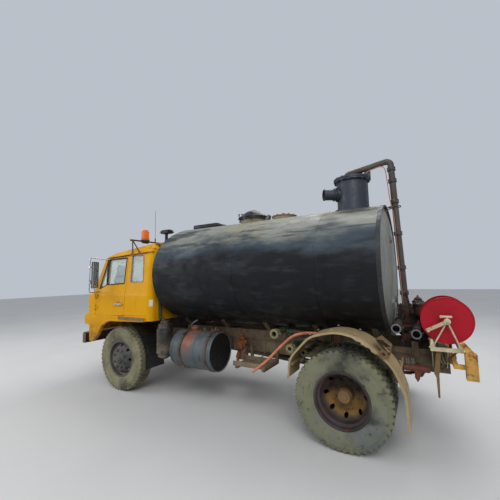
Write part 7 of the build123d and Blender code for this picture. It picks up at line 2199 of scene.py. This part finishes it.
class TANKER_OT_underside(bpy.types.Operator):
    """Adds the spring clamps, dampers, brake chambers and pipes below, and the right side's bands"""

    bl_idname = "tanker.underside"
    bl_label = "Underside details"

    def execute(self, context):
        parts = []
        for axle_x, low, high in ((FRONT_AXLE_X, 0.42, 0.59), (REAR_AXLE_X, 0.42, 0.7)):
            for side in (1, -1):
                y = side * 0.38
                parts.append(block((axle_x, y, high - 0.012), (0.19, 0.11, 0.022), 0.003))
                for dx in (-0.072, 0.072):
                    for dy in (-0.044, 0.044):
                        parts += [
                            rod((axle_x + dx, y + dy, low), (axle_x + dx, y + dy, high + 0.012), 0.009),
                            *bolts([(axle_x + dx, y + dy, high - 0.001)], UP, 0.024, 0.014),
                            *bolts([(axle_x + dx, y + dy, low + 0.012)], DOWN, 0.024, 0.014),
                        ]
                parts.append(block((axle_x, y, low + 0.02), (0.18, 0.112, 0.016), 0.003))
                # Rebound clips round the leaves
                for dx in (-0.33, 0.33):
                    z = high - 0.055 + 0.045
                    parts += [block(
                        (axle_x + dx, y + 0.039, z), (0.03, 0.006, 0.1), 0.001,
                    ), block((axle_x + dx, y - 0.039, z), (0.03, 0.006, 0.1), 0.001)]
        for side in (1, -1):
            foot = Vector(front_at(0.14, side * 0.462, 0.5))
            head = Vector(front_at(0.23, side * 0.462, 0.93))
            middle = foot.lerp(head, 0.52)
            parts += [
                rod(foot, middle, 0.026), rod(middle, head, 0.032),
                rod(head - Vector((0, side * 0.045, 0)), head + Vector((0, side * 0.012, 0)), 0.018),
                rod(foot - Vector((0, side * 0.05, 0)), foot + Vector((0, side * 0.012, 0)), 0.016),
            ]
            chamber = [
                (0, 0), (0, 0.05), (0.02, 0.072), (0.05, 0.076), (0.056, 0.082), (0.066, 0.082),
                (0.072, 0.074), (0.105, 0.06), (0.112, 0),
            ]
            parts += [
                turned(chamber, rear_at(-0.215, side * 0.25, 0.64), AHEAD, 32),
                rod(*rear_line((-0.105, side * 0.25, 0.64), (-0.02, side * 0.25, 0.6)), 0.01),
                beam(*rear_line((-0.11, side * 0.25, 0.64), (-0.06, side * 0.25, 0.56)), 0.05, 0.012),
            ]
            points = [
                (x, side * 0.335, z)
                for x, z in (
                    (REAR_AXLE_X - 0.2, 0.66), (REAR_AXLE_X - 0.12, 0.7), (REAR_AXLE_X + 0.1, 0.76),
                    (REAR_AXLE_X + 0.5, 0.76), (FRONT_AXLE_X - 0.8, 0.76),
                )
            ]
            parts.append(tube(points, 0.008))
        finished(parts, "spring_clamps", "chassis", "frame_paint", "frame")
        bands = []
        silencer_x = FRONT_AXLE_X - 2.2
        bands += [
            *[
                ring((silencer_x + x, -0.64, 0.64), AHEAD, 0.1005, 0.005, 40)
                for x in (0.004, 0.12, 0.58, 0.696)
            ],
            *[ring((silencer_x + x, -0.64, 0.64), AHEAD, 0.101, 0.003, 40) for x in (0.13, 0.35, 0.57)],
            *[
                turned(
                    [(0, 0.034), (0, 0.042), (0.026, 0.042), (0.026, 0.034)],
                    (silencer_x + x - 0.01, -0.64, 0.64), AHEAD, 28, True,
                )
                for x in (-0.028, 0.716)
            ],
        ]
        finished(bands, "silencer_bands", "chassis", "rusty_steel", "rusty")
        right = []
        reservoir_x = FRONT_AXLE_X - 1.4
        for x in (0.12, 0.48):
            hoop = []
            for step in range(33):
                turn = TURN * step / 32
                hoop.append((
                    reservoir_x + x - 0.018, -0.6 + 0.107 * cos(turn), 0.862 + 0.107 * sin(turn),
                ))
            right += [
                ribbon(hoop[:-1], (0.036, 0, 0), 0.004),
                *bolts([(reservoir_x + x, -0.6, 0.97)], UP, 0.018, 0.016),
            ]
        right += [ring((reservoir_x + x, -0.6, 0.862), AHEAD, 0.105, 0.003, 40) for x in (0.03, 0.57)]
        for x in (0.08, 0.52):
            right += [
                rod((reservoir_x + x, -0.6, 0.76), (reservoir_x + x, -0.6, 0.725), 0.012),
                rod((reservoir_x + x, -0.6, 0.735), (reservoir_x + x, -0.57, 0.725), 0.006),
            ]
        right.append(tube(
            [
                (reservoir_x + 0.3, -0.6, 0.966), (reservoir_x + 0.3, -0.6, 1.0),
                (reservoir_x + 0.32, -0.52, 1.01), (reservoir_x + 0.34, -0.43, 0.94),
            ],
            0.009,
        ))
        battery_x = REAR_AXLE_X + 1.2
        for x in (-0.15, 0.15):
            right += [block((battery_x + x, -0.7075, 0.93), (0.036, 0.01, 0.08), 0.003), rod(
                (battery_x + x - 0.02, -0.712, 0.9), (battery_x + x + 0.02, -0.712, 0.9), 0.007,
            )]
        right += [
            *[block((battery_x, -0.7015, z), (0.38, 0.006, 0.014), 0.003) for z in (0.75, 0.8, 0.85)],
            block((battery_x, -0.563, 0.966), (0.38, 0.24, 0.012), 0.005),
            tube([
                (battery_x + 0.19, -0.48, 0.95), (battery_x + 0.24, -0.47, 0.99),
                (battery_x + 0.33, -0.43, 0.96), (battery_x + 0.42, -0.424, 0.9),
            ], 0.01),
        ]
        finished(right, "right_side_details", "chassis", "frame_paint", "frame")
        engine = []
        engine_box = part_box("engine_block")
        low, high = Vector(engine_box[0]), Vector(engine_box[1])
        middle = (low + high) / 2
        pulley = [
            (0, 0), (0, 0.085), (0.01, 0.09), (0.018, 0.076), (0.026, 0.09), (0.036, 0.085),
            (0.04, 0.03), (0.046, 0),
        ]
        engine += [turned(pulley, (high.x - 0.004, 0, middle.z - 0.12), AHEAD, 36), turned(
            pulley, (high.x - 0.004, 0.13, middle.z + 0.1), AHEAD, 36,
        )]
        finished(engine, "engine_pulleys", "chassis", "engine_iron", "engine")
        shaft = []
        shaft_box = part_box("propshaft")
        low, high = Vector(shaft_box[0]), Vector(shaft_box[1])
        length, tall = high.x - low.x, high.z - low.z
        for share, level in ((0.03, 0.16), (0.97, 0.84)):
            place = (low.x + length * share, 0, low.z + tall * (0.5 if tall < 0.2 else level))
            shaft += bolt_ring(place, AHEAD, 0.06, 6, 0.016, 0.012)
        finished(shaft, "shaft_bolts", "chassis", "frame_paint", "frame")
        return {"FINISHED"}


class TANKER_PT_panel(bpy.types.Panel):
    """Lists the truck's pieces in the sidebar"""

    bl_label = "Tanker Truck"
    bl_idname = "TANKER_PT_panel"
    bl_space_type = "VIEW_3D"
    bl_region_type = "UI"
    bl_category = "Tanker"

    def draw(self, context):
        layout = self.layout
        layout.prop(context.scene.tanker_stage, "floor_colour")
        layout.prop(context.scene.tanker_stage, "lens")
        for name in ("cab", "tank", "reel", "lugs"):
            layout.prop(context.scene.tanker_paint, name)
        for operator in OPERATORS:
            layout.operator(operator.bl_idname)


SETTINGS = (TankerStageSettings, TankerPaintSettings)
OPERATORS = (
    TANKER_OT_stage, TANKER_OT_finishes, TANKER_OT_tyres, TANKER_OT_wheels, TANKER_OT_cab_trim,
    TANKER_OT_mirrors, TANKER_OT_hose, TANKER_OT_tank_seams, TANKER_OT_tank_top, TANKER_OT_trap,
    TANKER_OT_pump, TANKER_OT_reel, TANKER_OT_rear_details, TANKER_OT_fenders, TANKER_OT_fuel,
    TANKER_OT_side_pipes, TANKER_OT_cleaner, TANKER_OT_roof, TANKER_OT_front, TANKER_OT_seats,
    TANKER_OT_underside,
)


def register():
    for kind in SETTINGS + OPERATORS + (TANKER_PT_panel,):
        bpy.utils.register_class(kind)
    bpy.types.Scene.tanker_stage = bpy.props.PointerProperty(type=TankerStageSettings)
    bpy.types.Scene.tanker_paint = bpy.props.PointerProperty(type=TankerPaintSettings)


def unregister():
    del bpy.types.Scene.tanker_stage, bpy.types.Scene.tanker_paint
    for kind in reversed(SETTINGS + OPERATORS + (TANKER_PT_panel,)):
        bpy.utils.unregister_class(kind)


def main():
    register()
    for operator in OPERATORS:
        group, name = operator.bl_idname.split(".")
        getattr(getattr(bpy.ops, group), name)()


if __name__ == "__main__":
    main()
